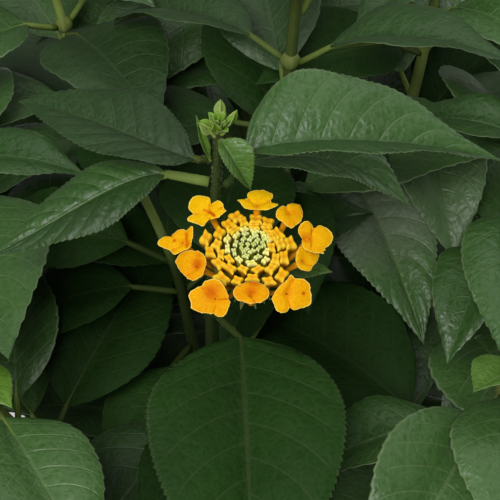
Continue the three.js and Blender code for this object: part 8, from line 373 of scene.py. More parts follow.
# ---------------------------------------------------------------- small maths
def unit(v):
    v = np.asarray(v, float)
    return v / (np.linalg.norm(v, axis=-1, keepdims=True) + 1e-12)


def smooth(a, b, x):
    x = np.clip((np.asarray(x, float) - a) / (b - a), 0, 1)
    return x * x * (3 - 2 * x)


class Noise:
    """Smooth noise: a sum of waves in seeded directions."""

    def __init__(self, seed, waves=10):
        r = np.random.RandomState(seed)
        self.d = unit(r.normal(size=(waves, 3)))
        self.f = 2 ** r.uniform(-0.6, 1.5, waves)
        self.p = r.uniform(0, 2 * np.pi, waves)
        self.w = 1 / self.f
        self.w /= np.sqrt((self.w**2).sum() / 2)

    def __call__(self, xyz, scale=1.0):
        q = (np.asarray(xyz, float) @ self.d.T) * self.f / scale + self.p
        return (np.sin(q) * self.w).sum(-1) * 0.5


NZ = [Noise(s) for s in range(40, 52)]


def bezier(P, t):
    t = np.asarray(t, float)[:, None]
    u = 1 - t
    return u**3 * P[0] + 3 * u * u * t * P[1] + 3 * u * t * t * P[2] + t**3 * P[3]


def bezier_tangent(P, t):
    t = np.asarray(t, float)[:, None]
    u = 1 - t
    return unit(3 * u * u * (P[1] - P[0]) + 6 * u * t * (P[2] - P[1]) + 3 * t * t * (P[3] - P[2]))


def catmull(points, ts):
    """Centripetal Catmull-Rom curve through the points."""
    P = np.asarray(points, float)
    n = len(P)
    out = []
    for t in ts:
        p = (n - 1) * t
        i = int(math.floor(p))
        w = p - i
        if i >= n - 1:
            i, w = n - 2, 1.0
        x0 = 2 * P[0] - P[1] if i == 0 else P[i - 1]
        x3 = 2 * P[-1] - P[-2] if i + 2 > n - 1 else P[i + 2]
        x1, x2 = P[i], P[i + 1]
        d0, d1, d2 = (np.linalg.norm(b - a) ** 0.5 for a, b in ((x0, x1), (x1, x2), (x2, x3)))
        if d1 < 1e-4:
            d1 = 1.0
        if d0 < 1e-4:
            d0 = d1
        if d2 < 1e-4:
            d2 = d1
        t1 = ((x1 - x0) / d0 - (x2 - x0) / (d0 + d1) + (x2 - x1) / d1) * d1
        t2 = ((x2 - x1) / d1 - (x3 - x1) / (d1 + d2) + (x3 - x2) / d2) * d1
        out.append(x1 + t1 * w + (-3 * x1 + 3 * x2 - 2 * t1 - t2) * w * w + (2 * x1 - 2 * x2 + t1 + t2) * w**3)
    return np.array(out)


def frames(path, first=None):
    """Tangent and two side directions along a path, without twist."""
    path = np.asarray(path, float)
    T = unit(np.gradient(path, axis=0))
    side = np.array([1.0, 0, 0]) if first is None else np.asarray(first, float)
    if abs(side @ T[0]) > 0.95:
        side = np.array([0, 1.0, 0])
    S = []
    for t in T:
        side = unit(side - t * (side @ t))
        S.append(side)
    S = np.array(S)
    return T, S, np.cross(T, S)


# ---------------------------------------------------------------- mesh pieces
class Piece:
    """Collects grids and loops into one mesh, with two vector attributes for the materials."""

    def __init__(self, name):
        self.name = name
        self.v, self.a, self.b, self.q, self.t, self.qm, self.tm = [], [], [], [], [], [], []
        self.n = 0

    def points(self, co, a=None, b=None):
        co = np.asarray(co, float).reshape(-1, 3)
        k = len(co)
        self.v.append(co)
        for store, x in ((self.a, a), (self.b, b)):
            x = np.zeros((k, 3)) if x is None else np.broadcast_to(np.asarray(x, float).reshape(-1, 3), (k, 3))
            store.append(x)
        self.n += k
        return self.n - k

    def quads(self, f, mat):
        f = np.asarray(f, int).reshape(-1, 4)
        self.q.append(f)
        self.qm.append(np.full(len(f), mat))

    def tris(self, f, mat):
        f = np.asarray(f, int).reshape(-1, 3)
        self.t.append(f)
        self.tm.append(np.full(len(f), mat))

    def rings(self, co, mat, a=None, b=None, close=True, ends=(True, True)):
        """co[i, j]: ring i, point j. close joins the last point of a ring to its first; ends are capped."""
        R, C = co.shape[:2]
        s = self.points(co, a, b)
        idx = s + np.arange(R * C).reshape(R, C)
        nxt = np.roll(idx, -1, axis=1) if close else idx[:, 1:]
        cur = idx if close else idx[:, :-1]
        self.quads(np.stack([cur[:-1], nxt[:-1], nxt[1:], cur[1:]], -1), mat)
        if close:
            av = None if a is None else np.asarray(a, float).reshape(R, C, 3)
            bv = None if b is None else np.asarray(b, float).reshape(R, C, 3)
            for end, row in ((ends[0], 0), (ends[1], R - 1)):
                if end:
                    m = self.points(co[row].mean(0), None if av is None else av[row].mean(0), None if bv is None else bv[row].mean(0))
                    j, k = idx[row], np.roll(idx[row], -1)
                    mm = np.full(C, m)
                    self.tris(np.stack([k, j, mm] if row == 0 else [j, k, mm], -1), mat)
        return idx

    def build(self, mats, slot, *nodes):
        v = np.concatenate(self.v) * MM
        a, b = np.concatenate(self.a), np.concatenate(self.b)
        q = np.concatenate(self.q) if self.q else np.zeros((0, 4), int)
        t = np.concatenate(self.t) if self.t else np.zeros((0, 3), int)
        m = np.concatenate([*self.qm, *self.tm])
        me = bpy.data.meshes.new(self.name)
        me.vertices.add(len(v))
        me.vertices.foreach_set("co", v.astype(np.float32).ravel())
        me.loops.add(q.size + t.size)
        me.loops.foreach_set("vertex_index", np.concatenate([q.ravel(), t.ravel()]).astype(np.int32))
        total = np.concatenate([np.full(len(q), 4), np.full(len(t), 3)]).astype(np.int32)
        me.polygons.add(len(total))
        me.polygons.foreach_set("loop_start", np.concatenate([[0], np.cumsum(total)[:-1]]).astype(np.int32))
        me.polygons.foreach_set("loop_total", total)
        me.polygons.foreach_set("material_index", m.astype(np.int32))
        me.polygons.foreach_set("use_smooth", np.ones(len(total), bool))
        me.update(calc_edges=True)
        me.validate()
        for name, x in (("lf", a), ("lk", b)):
            at = me.attributes.new(name, "FLOAT_VECTOR", "POINT")
            at.data.foreach_set("vector", x.astype(np.float32).ravel())
        for mat in mats:
            me.materials.append(mat)
        o = bpy.data.objects.new(self.name, me)
        bpy.context.scene.collection.objects.link(o)
        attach(o, "root")
        if nodes:
            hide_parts(*nodes)
        return o


# ---------------------------------------------------------------- materials
class Mat:
    """Node material: small helpers over one Principled shader."""

    def __init__(self, name):
        self.m = bpy.data.materials.new(name)
        self.m.use_nodes = True
        self.t = self.m.node_tree
        self.t.nodes.clear()
        self.out = self.t.nodes.new("ShaderNodeOutputMaterial")
        self.p = self.t.nodes.new("ShaderNodeBsdfPrincipled")
        self.t.links.new(self.p.outputs[0], self.out.inputs[0])

    def link(self, x, sock):
        if isinstance(x, (int, float)):
            sock.default_value = x
        elif isinstance(x, (tuple, list)):
            sock.default_value = (*x, 1.0) if len(sock.default_value) == 4 and len(x) == 3 else x
        else:
            self.t.links.new(x, sock)

    def attr(self, name):
        n = self.t.nodes.new("ShaderNodeAttribute")
        n.attribute_name = name
        n.attribute_type = "GEOMETRY"
        s = self.t.nodes.new("ShaderNodeSeparateXYZ")
        self.t.links.new(n.outputs["Vector"], s.inputs[0])
        return s.outputs[0], s.outputs[1], s.outputs[2]

    def pos(self):
        return self.t.nodes.new("ShaderNodeTexCoord").outputs["Object"]

    def xyz(self, v):
        s = self.t.nodes.new("ShaderNodeSeparateXYZ")
        self.link(v, s.inputs[0])
        return s.outputs

    def vec(self, x, y, z):
        s = self.t.nodes.new("ShaderNodeCombineXYZ")
        for i, k in enumerate((x, y, z)):
            self.link(k, s.inputs[i])
        return s.outputs[0]

    def op(self, kind, a, b=None, c=None):
        n = self.t.nodes.new("ShaderNodeMath")
        n.operation = kind
        for i, x in enumerate((a, b, c)):
            if x is not None:
                self.link(x, n.inputs[i])
        return n.outputs[0]

    def noise(self, v, scale, detail=3.0, rough=0.55):
        n = self.t.nodes.new("ShaderNodeTexNoise")
        self.link(v, n.inputs["Vector"])
        n.inputs["Scale"].default_value = scale
        n.inputs["Detail"].default_value = detail
        n.inputs["Roughness"].default_value = rough
        return n.outputs["Fac"]

    def cells(self, v, scale, feature="F1", rand=1.0):
        n = self.t.nodes.new("ShaderNodeTexVoronoi")
        n.feature = feature
        self.link(v, n.inputs["Vector"])
        n.inputs["Scale"].default_value = scale
        n.inputs["Randomness"].default_value = rand
        return n.outputs["Distance"]

    def range(self, x, lo, hi, to_lo=0.0, to_hi=1.0):
        n = self.t.nodes.new("ShaderNodeMapRange")
        n.clamp = True
        n.interpolation_type = "SMOOTHSTEP"
        self.link(x, n.inputs[0])
        for i, k in enumerate((lo, hi, to_lo, to_hi)):
            self.link(k, n.inputs[i + 1])
        return n.outputs[0]

    def line(self, x, lo, hi, to_lo=0.0, to_hi=1.0):
        n = self.t.nodes.new("ShaderNodeMapRange")
        n.clamp = True
        self.link(x, n.inputs[0])
        for i, k in enumerate((lo, hi, to_lo, to_hi)):
            n.inputs[i + 1].default_value = k
        return n.outputs[0]

    def mix(self, f, a, b, kind="MIX"):
        n = self.t.nodes.new("ShaderNodeMix")
        n.data_type = "RGBA"
        n.blend_type = kind
        self.link(f, n.inputs[0])
        self.link(a, n.inputs[6])
        self.link(b, n.inputs[7])
        return n.outputs[2]

    def bump(self, h, strength=0.5, dist=0.0005, normal=None):
        n = self.t.nodes.new("ShaderNodeBump")
        n.inputs["Strength"].default_value = strength
        n.inputs["Distance"].default_value = dist
        self.link(h, n.inputs["Height"])
        if normal is not None:
            self.link(normal, n.inputs["Normal"])
        return n.outputs[0]

    def finish(self, color, rough, normal=None, spec=0.5, sss=0.0, sss_radius=(1, 0.4, 0.1), sss_scale=0.001, sheen=0.0, coat=0.0):
        p = self.p
        self.link(color, p.inputs["Base Color"])
        self.link(rough, p.inputs["Roughness"])
        if normal is not None:
            self.link(normal, p.inputs["Normal"])
        p.inputs["Specular IOR Level"].default_value = spec
        p.inputs["Subsurface Weight"].default_value = sss
        p.inputs["Subsurface Radius"].default_value = sss_radius
        p.inputs["Subsurface Scale"].default_value = sss_scale
        p.inputs["Sheen Weight"].default_value = sheen
        p.inputs["Sheen Roughness"].default_value = 0.5
        p.inputs["Coat Weight"].default_value = coat
        return self.m


VEINS = 9.0
VEIN_RISE = 0.2


def leaf_material(name, spec):
    """lf = (along the midrib, across -1..1, tone: painted light and shade, near black for leaves painted in shade and a
    pale painted sheen above 1), lk = (0 top 1 underside, youth, seed).
    """
    m = Mat(name)
    t, s, tone = m.attr("lf")
    under, young, seed = m.attr("lk")
    pos = m.pos()
    a = m.op("ABSOLUTE", s)
    right = m.op("GREATER_THAN", s, 0.0)
    ph = m.op("MULTIPLY", m.op("SUBTRACT", m.op("SUBTRACT", t, 0.03), m.op("MULTIPLY", m.op("POWER", a, 1.2), VEIN_RISE)), VEINS)
    ph = m.op("ADD", ph, m.op("MULTIPLY", right, 0.42))
    f = m.op("FRACT", ph)
    near = m.op("MINIMUM", f, m.op("SUBTRACT", 1.0, f))
    side_vein = m.op("MULTIPLY", m.range(near, 0.012, 0.060, 1.0, 0.0), m.range(a, 0.97, 0.75, 0.0, 1.0))
    mid = m.range(m.op("DIVIDE", a, m.op("SUBTRACT", 1.35, t)), 0.016, 0.044, 1.0, 0.0)
    # fine network between the side veins
    net = m.cells(pos, 620.0, "DISTANCE_TO_EDGE", 1.0)
    net_vein = m.range(net, 0.02, 0.16, 1.0, 0.0)
    big = m.cells(pos, 270.0, "DISTANCE_TO_EDGE", 1.0)
    big_vein = m.range(big, 0.01, 0.07, 1.0, 0.0)
    vein = m.op("MAXIMUM", m.op("MAXIMUM", side_vein, mid), m.op("MAXIMUM", m.op("MULTIPLY", net_vein, 0.22), m.op("MULTIPLY", big_vein, 0.40)))
    n1 = m.noise(pos, 45.0, 3.0)
    n2 = m.noise(pos, 900.0, 4.0, 0.6)
    # tone paints light and shade: near black for the leaves painted in shade, a pale grey-green painted sheen above 1
    base = m.mix(m.line(tone, 0.0, 0.5), (0.0040, 0.0150, 0.0018), (0.018, 0.059, 0.008))
    base = m.mix(m.line(tone, 0.5, 1.0), base, (0.042, 0.104, 0.024))
    base = m.mix(m.line(tone, 1.0, 2.0), base, (0.160, 0.215, 0.135))
    base = m.mix(1.0, base, m.mix(m.range(n1, 0.3, 0.72), (0.82, 0.86, 0.78), (1.16, 1.12, 1.18)), "MULTIPLY")
    base = m.mix(1.0, base, m.mix(m.range(n2, 0.32, 0.72), (0.88, 0.92, 0.85), (1.22, 1.14, 1.22)), "MULTIPLY")
    base = m.mix(young, base, m.mix(m.range(n1, 0.3, 0.7), (0.096, 0.226, 0.005), (0.148, 0.292, 0.011)))
    # the vein colour darkens with the painted shade
    vein_col = m.mix(young, m.mix(m.line(tone, 0.0, 0.9), (0.009, 0.020, 0.005), (0.100, 0.160, 0.060)), (0.270, 0.380, 0.070))
    top = m.mix(m.op("MULTIPLY", vein, 0.50), base, vein_col)
    # pale margin line: a painted highlight, stronger on the lighter-toned leaves
    rim = m.range(a, 0.945, 0.995)
    top = m.mix(m.op("MULTIPLY", rim, m.line(tone, 0.1, 0.8, 0.0, 0.60)), top, (0.180, 0.240, 0.120))
    low = m.mix(m.range(n2, 0.3, 0.7), (0.070, 0.115, 0.042), (0.100, 0.155, 0.062))
    # painted shade on the underside of the dark-toned leaves
    low = m.mix(m.line(tone, 0.0, 0.5), (0.016, 0.032, 0.010), low)
    low = m.mix(young, low, (0.230, 0.330, 0.070))
    low = m.mix(m.op("MULTIPLY", m.op("MAXIMUM", m.op("MAXIMUM", side_vein, mid), m.op("MULTIPLY", net_vein, 0.5)), 0.5), low, (0.190, 0.250, 0.110))
    col = m.mix(under, top, low)
    dome = m.op("ADD", m.op("MULTIPLY", m.range(net, 0.0, 0.40), 0.5), m.op("MULTIPLY", m.range(big, 0.0, 0.30), 0.8))
    dome = m.op("SUBTRACT", dome, m.op("MULTIPLY", m.op("MAXIMUM", side_vein, mid), 0.9))
    sign = m.op("SUBTRACT", 1.0, m.op("MULTIPLY", under, 1.7))
    h = m.op("ADD", m.op("MULTIPLY", dome, sign), m.op("MULTIPLY", n2, 0.25))
    nrm = m.bump(h, 0.42, 0.00030)
    rough = m.op("ADD", m.range(n2, 0.2, 0.8, 0.36, 0.50), m.line(tone, 0.0, 0.5, 0.30, 0.0))
    return m.finish(col, rough, nrm, spec=spec)


def stem_material():
    """lk = (woodiness, youth, painted shade)."""
    m = Mat("green_stem")
    wood, young, shade = m.attr("lk")
    pos = m.pos()
    n1 = m.noise(pos, 90.0, 3.0)
    n2 = m.noise(m.vec(m.op("MULTIPLY", m.xyz(pos)[0], 1.0), m.op("MULTIPLY", m.xyz(pos)[1], 1.0), m.op("MULTIPLY", m.xyz(pos)[2], 0.22)), 900.0, 3.0)
    green = m.mix(m.range(n1, 0.3, 0.7), (0.044, 0.080, 0.010), (0.080, 0.125, 0.018))
    green = m.mix(young, green, m.mix(m.range(n1, 0.3, 0.7), (0.210, 0.290, 0.060), (0.280, 0.360, 0.100)))
    bark = m.mix(m.range(n2, 0.35, 0.65), (0.085, 0.060, 0.030), (0.190, 0.145, 0.085))
    w = m.op("MULTIPLY", wood, m.range(n1, 0.2, 0.6, 0.55, 1.0))
    col = m.mix(w, green, bark)
    col = m.mix(m.op("MULTIPLY", m.range(n2, 0.55, 0.75), 0.20), col, (0.170, 0.200, 0.090))
    # painted shade: shaded stems are darkened to near black
    col = m.mix(m.op("MULTIPLY", shade, 0.93), col, (0.010, 0.020, 0.003))
    nrm = m.bump(n2, 0.6, 0.0003)
    return m.finish(col, m.range(n2, 0.3, 0.7, 0.55, 0.75), nrm, spec=0.12)


def hair_material():
    m = Mat("stem_hair")
    n = m.noise(m.pos(), 400.0, 2.0)
    return m.finish(m.mix(n, (0.30, 0.34, 0.20), (0.50, 0.52, 0.36)), m.range(n, 0.3, 0.7, 0.4, 0.6), None, spec=0.4)


def bark_material():
    m = Mat("woody_bark")
    pos = m.pos()
    x, y, z = m.xyz(pos)[:3]
    v = m.vec(x, y, m.op("MULTIPLY", z, 0.25))
    n1 = m.noise(v, 380.0, 5.0, 0.65)
    n2 = m.noise(pos, 70.0, 3.0)
    col = m.mix(m.range(n1, 0.32, 0.68), (0.060, 0.040, 0.022), (0.230, 0.175, 0.105))
    col = m.mix(m.op("MULTIPLY", m.range(n2, 0.45, 0.7), 0.5), col, (0.120, 0.130, 0.060))
    return m.finish(col, m.range(n1, 0.3, 0.7, 0.75, 0.95), m.bump(n1, 0.8, 0.0008), spec=0.25)


def petal_material():
    """lf = (distance from the throat in mm, 0..1 to the rim, tone), lk = (0 top 1 underside 2 tube, crease: painted
    shade in folds, notches and the throat well, along the tube).
    """
    m = Mat("petal")
    rho, u, tone = m.attr("lf")
    kind, crease, along = m.attr("lk")
    pos = m.pos()
    n1 = m.noise(pos, 380.0, 3.0)
    n3 = m.noise(pos, 2300.0, 2.0, 0.6)
    n2 = m.noise(pos, 1700.0, 3.0, 0.6)
    gold = m.mix(tone, (0.655, 0.358, 0.001), (0.620, 0.186, 0.001))
    gold = m.mix(m.range(n1, 0.3, 0.7, 0.0, 0.60), gold, m.mix(tone, (0.705, 0.432, 0.002), (0.675, 0.262, 0.001)))
    gold = m.mix(1.0, gold, m.mix(m.range(n3, 0.32, 0.68), (0.945, 0.87, 0.87), (1.045, 1.11, 1.1)), "MULTIPLY")
    deep = m.mix(tone, (0.600, 0.200, 0.001), (0.520, 0.125, 0.001))
    col = m.mix(m.range(m.op("ADD", rho, m.op("MULTIPLY", n1, 0.6)), 0.55, 2.6), deep, gold)
    # painted shade: orange to dark brown in the creases, dark brown down the throat well
    col = m.mix(m.range(crease, 0.0, 0.60), col, m.mix(tone, (0.540, 0.145, 0.001), (0.470, 0.085, 0.001)))
    col = m.mix(m.range(crease, 0.60, 1.0, 0.0, 0.8), col, (0.190, 0.044, 0.002))
    col = m.mix(m.op("MULTIPLY", m.range(rho, 0.42, 0.20, 0.0, 1.0), m.range(crease, 0.1, 0.9)), col, (0.250, 0.070, 0.003))
    col = m.mix(m.op("MULTIPLY", m.range(u, 0.93, 0.992, 0.0, 0.74), m.range(kind, 0.1, 1.2, 1.0, 0.0)), col, m.mix(tone, (0.880, 0.680, 0.170), (0.860, 0.560, 0.120)))
    low = m.mix(m.range(n1, 0.3, 0.7), (0.620, 0.290, 0.008), (0.720, 0.390, 0.022))
    # painted shade: the tube darkens to brown towards its foot deep in the head
    tube = m.mix(m.range(along, 0.0, 0.6), (0.200, 0.095, 0.010), m.mix(n1, (0.560, 0.210, 0.003), (0.680, 0.300, 0.006)))
    col = m.mix(m.range(kind, 0.2, 0.8), col, low)
    col = m.mix(m.range(kind, 1.2, 1.8), col, tube)
    nrm = m.bump(m.op("ADD", m.op("MULTIPLY", n2, 0.6), n1), 0.25, 0.0002)
    return m.finish(col, m.range(n2, 0.3, 0.7, 0.55, 0.70), nrm, spec=0.04, sss=0.08, sss_radius=(1.0, 0.45, 0.05), sss_scale=0.0007)


def bud_material(name, low, mid, high, crevice_shade, foot):
    """lf = (0 centre 1 corner, height 0..1, tone), lk = (0 cap 1 wall 2 tube, crease: painted shade in the dimple and
    folds, along the tube).
    """
    m = Mat(name)
    corner, hgt, tone = m.attr("lf")
    kind, crease, along = m.attr("lk")
    pos = m.pos()
    n1 = m.noise(pos, 520.0, 3.0)
    n2 = m.noise(pos, 1800.0, 3.0, 0.6)
    col = m.mix(tone, mid, m.mix(0.5, mid, high))
    col = m.mix(m.range(n1, 0.35, 0.7, 0.0, 0.25), col, high)
    # painted shade in the dimple and along the cross folds
    col = m.mix(m.op("MULTIPLY", crease, 0.85), col, low)
    # paler lobe corners and rims: partly pale margins, partly a painted highlight
    col = m.mix(m.op("MULTIPLY", m.range(corner, 0.30, 0.95), 0.75), col, high)
    col = m.mix(m.range(hgt, 0.75, 0.25, 0.0, 0.40), col, high)
    # painted shade: the walls between the caps run to the dark crevice colour, and the tubes darken to the foot colour
    side = m.mix(m.range(kind, 0.35, 0.75), low, crevice_shade)
    col = m.mix(m.range(kind, 0.10, 0.35), col, side)
    col = m.mix(m.range(kind, 1.05, 1.6), col, m.mix(m.range(along, 0.0, 0.6), foot, crevice_shade))
    nrm = m.bump(m.op("ADD", m.op("MULTIPLY", n2, 0.6), n1), 0.22, 0.0002)
    return m.finish(col, m.range(n2, 0.3, 0.7, 0.52, 0.68), nrm, spec=0.06, sss=0.05, sss_radius=(1.0, 0.6, 0.15), sss_scale=0.0008)


def core_material():
    # painted shade: the base between the buds is dark olive
    m = Mat("bud_base")
    n = m.noise(m.pos(), 500.0, 3.0)
    return m.finish(m.mix(m.range(n, 0.3, 0.7), (0.070, 0.064, 0.004), (0.120, 0.112, 0.010)), m.range(n, 0.3, 0.7, 0.6, 0.8), m.bump(n, 0.5, 0.0003), spec=0.2)


def bract_material():
    m = Mat("bract")
    n = m.noise(m.pos(), 420.0, 3.0)
    return m.finish(m.mix(m.range(n, 0.3, 0.7), (0.085, 0.110, 0.022), (0.170, 0.200, 0.060)), m.range(n, 0.3, 0.7, 0.5, 0.7), m.bump(n, 0.4, 0.0003), spec=0.3)


def clay_material():
    """lk = (0 outside 1 inside, ., .)."""
    m = Mat("terracotta")
    inside = m.attr("lk")[0]
    pos = m.pos()
    x, y, z = m.xyz(pos)[:3]
    n1 = m.noise(pos, 22.0, 4.0)
    n2 = m.noise(pos, 240.0, 4.0, 0.6)
    n3 = m.noise(pos, 1100.0, 3.0, 0.6)
    rings = m.noise(m.vec(m.op("MULTIPLY", x, 0.05), m.op("MULTIPLY", y, 0.05), z), 420.0, 2.0)
    col = m.mix(m.range(n1, 0.3, 0.7), (0.430, 0.165, 0.080), (0.560, 0.235, 0.120))
    col = m.mix(m.range(n2, 0.35, 0.75, 0.0, 0.45), col, (0.380, 0.140, 0.070))
    col = m.mix(m.op("MULTIPLY", m.range(rings, 0.45, 0.62), 0.22), col, (0.600, 0.290, 0.165))
    bloom = m.op("MULTIPLY", m.range(m.noise(pos, 34.0, 5.0, 0.7), 0.53, 0.72), m.range(z, 0.02, 0.11, 0.75, 0.25))
    col = m.mix(m.op("MULTIPLY", bloom, 0.55), col, (0.680, 0.520, 0.420))
    damp = m.range(m.op("ADD", z, m.op("MULTIPLY", n1, 0.03)), 0.018, 0.038, 0.45, 0.0)
    col = m.mix(damp, col, (0.210, 0.085, 0.045))
    col = m.mix(m.op("MULTIPLY", inside, 0.5), col, (0.190, 0.090, 0.050))
    speck = m.range(m.cells(pos, 700.0), 0.10, 0.18, 0.5, 0.0)
    col = m.mix(speck, col, (0.300, 0.150, 0.090))
    h = m.op("ADD", m.op("ADD", m.op("MULTIPLY", n2, 0.7), m.op("MULTIPLY", n3, 0.4)), m.op("MULTIPLY", rings, 0.8))
    return m.finish(col, m.range(n2, 0.3, 0.7, 0.72, 0.90), m.bump(h, 0.45, 0.0005), spec=0.25)


def soil_material():
    m = Mat("potting_mix")
    pos = m.pos()
    n1 = m.noise(pos, 120.0, 5.0, 0.65)
    n2 = m.noise(pos, 900.0, 4.0, 0.6)
    col = m.mix(m.range(n1, 0.3, 0.7), (0.014, 0.009, 0.006), (0.055, 0.036, 0.022))
    col = m.mix(m.op("MULTIPLY", m.range(n2, 0.55, 0.75), 0.6), col, (0.110, 0.075, 0.045))
    h = m.op("ADD", n1, m.op("MULTIPLY", n2, 0.6))
    return m.finish(col, m.range(n2, 0.3, 0.7, 0.85, 0.98), m.bump(h, 0.9, 0.0015), spec=0.15)


def chip_material():
    m = Mat("bark_chip")
    tone = m.attr("lf")[2]
    pos = m.pos()
    n1 = m.noise(pos, 260.0, 4.0, 0.6)
    col = m.mix(tone, (0.075, 0.042, 0.024), (0.230, 0.140, 0.080))
    col = m.mix(m.range(n1, 0.35, 0.7, 0.0, 0.6), col, (0.045, 0.028, 0.018))
    return m.finish(col, m.range(n1, 0.3, 0.7, 0.75, 0.95), m.bump(n1, 0.7, 0.0006), spec=0.2)


def perlite_material():
    m = Mat("perlite")
    n1 = m.noise(m.pos(), 900.0, 4.0, 0.6)
    return m.finish(m.mix(n1, (0.52, 0.49, 0.43), (0.80, 0.78, 0.72)), m.range(n1, 0.3, 0.7, 0.7, 0.9), m.bump(n1, 0.6, 0.0004), spec=0.25)


LEAF = leaf_material("leaf_blade", 0.40)
# a matt copy of the leaf material for the leaves painted in shade, without their sheen
LEAF_SHADED = leaf_material("leaf_blade_shaded_matt", 0.07)
STEM = stem_material()
HAIR = hair_material()
BARK = bark_material()
PETAL = petal_material()
# the last two colours of each bud are painted shade for the crevices between the buds and the tube foot
YELLOW = bud_material("yellow_bud", (0.590, 0.175, 0.001), (0.690, 0.362, 0.002), (0.800, 0.590, 0.045), (0.310, 0.130, 0.001), (0.120, 0.062, 0.001))
PALE = bud_material("pale_bud", (0.430, 0.390, 0.020), (0.700, 0.640, 0.125), (0.900, 0.850, 0.365), (0.280, 0.240, 0.006), (0.150, 0.125, 0.003))
GREEN = bud_material("green_bud", (0.195, 0.255, 0.014), (0.475, 0.515, 0.105), (0.815, 0.840, 0.385), (0.215, 0.255, 0.006), (0.125, 0.155, 0.004))
CORE = core_material()
BRACT = bract_material()
CLAY = clay_material()
SOIL = soil_material()
CHIP = chip_material()
PERLITE = perlite_material()
FOLIAGE = [LEAF, STEM, HAIR, LEAF_SHADED]
M_LEAF, M_STEM, M_HAIR, M_SHADED_MATT = 0, 1, 2, 3


# ---------------------------------------------------------------- stems and leaves
def tube(pc, path, radii, sides, mat, b=None, ridges=0.0, first=None, ends=(True, True), swell=None):
    path = np.asarray(path, float)
    T, S, N = frames(path, first)
    th = np.linspace(0, 2 * np.pi, sides, endpoint=False)
    r = np.asarray(radii, float)[:, None] * (1 + ridges * np.cos(4 * th)[None])
    if swell is not None:
        r = r + swell
    co = path[:, None] + r[..., None] * (np.cos(th)[None, :, None] * S[:, None] + np.sin(th)[None, :, None] * N[:, None])
    bb = None
    if b is not None:
        b = np.asarray(b, float)
        bb = np.broadcast_to(b[:, None] if b.ndim == 2 else b, (len(path), sides, 3))
    pc.rings(co, mat, None, bb, True, ends)
    return T, S, N


def hairs(pc, path, radii, count, seed, length=0.7, thick=0.045, mat=M_HAIR, lean=0.3):
    r = np.random.RandomState(seed)
    path = np.asarray(path, float)
    T, S, N = frames(path)
    k = r.uniform(0, len(path) - 1.001, count)
    i = k.astype(int)
    w = (k - i)[:, None]
    c = path[i] * (1 - w) + path[i + 1] * w
    rad = np.interp(k, np.arange(len(path)), radii)
    q = r.uniform(0, 2 * np.pi, count)
    out = np.cos(q)[:, None] * S[i] + np.sin(q)[:, None] * N[i]
    side = np.cross(T[i], out)
    foot = c + out * (rad * 0.93)[:, None]
    tip = foot + (out + T[i] * r.uniform(-0.2, lean, (count, 1)) + side * r.uniform(-0.25, 0.25, (count, 1))) * (length * r.uniform(0.5, 1.1, (count, 1)))
    tri = [foot + thick * (np.cos(z) * side + np.sin(z) * T[i]) for z in (0, 2.09, 4.19)]
    s = pc.points(np.stack([*tri, tip], 1))
    idx = s + np.arange(count * 4).reshape(count, 4)
    for a, b in ((0, 1), (1, 2), (2, 0)):
        pc.tris(np.stack([idx[:, a], idx[:, b], idx[:, 3]], -1), mat)
    pc.tris(np.stack([idx[:, 0], idx[:, 2], idx[:, 1]], -1), mat)


def blade_width(t, peak, rnd):
    t = np.asarray(t, float)
    return np.where(
        t < peak,
        np.sin(np.pi / 2 * np.clip(t / peak, 0, 1)) ** rnd,
        np.cos(np.pi / 2 * np.clip((t - peak) / (1 - peak), 0, 1)) ** 1.12,
    )


QUALITY = {  # per tooth samples, columns, tooth spacing, petiole sides, petiole rings
    0: ([0.0, 0.3, 0.62, 0.9], 31, 1.45, 10, 20),
    1: ([0.0, 0.72], 13, 2.9, 7, 11),
    2: ([0.0, 0.72], 9, 3.6, 5, 7),
}


# painted shade on one half of the blade: which half, and how much darker
SHADED_HALF = {"leaf_upper_right": (1, 0.35), "leaf_left": (-1, 0.46)}
# painted light and shade along the blade, base to tip
LIGHT_ALONG = {"leaf_low_right": [1.85, 1.8, 0.7, 0.5], "leaf_upper_left": [0.5, 0.75, 1.0, 1.15]}


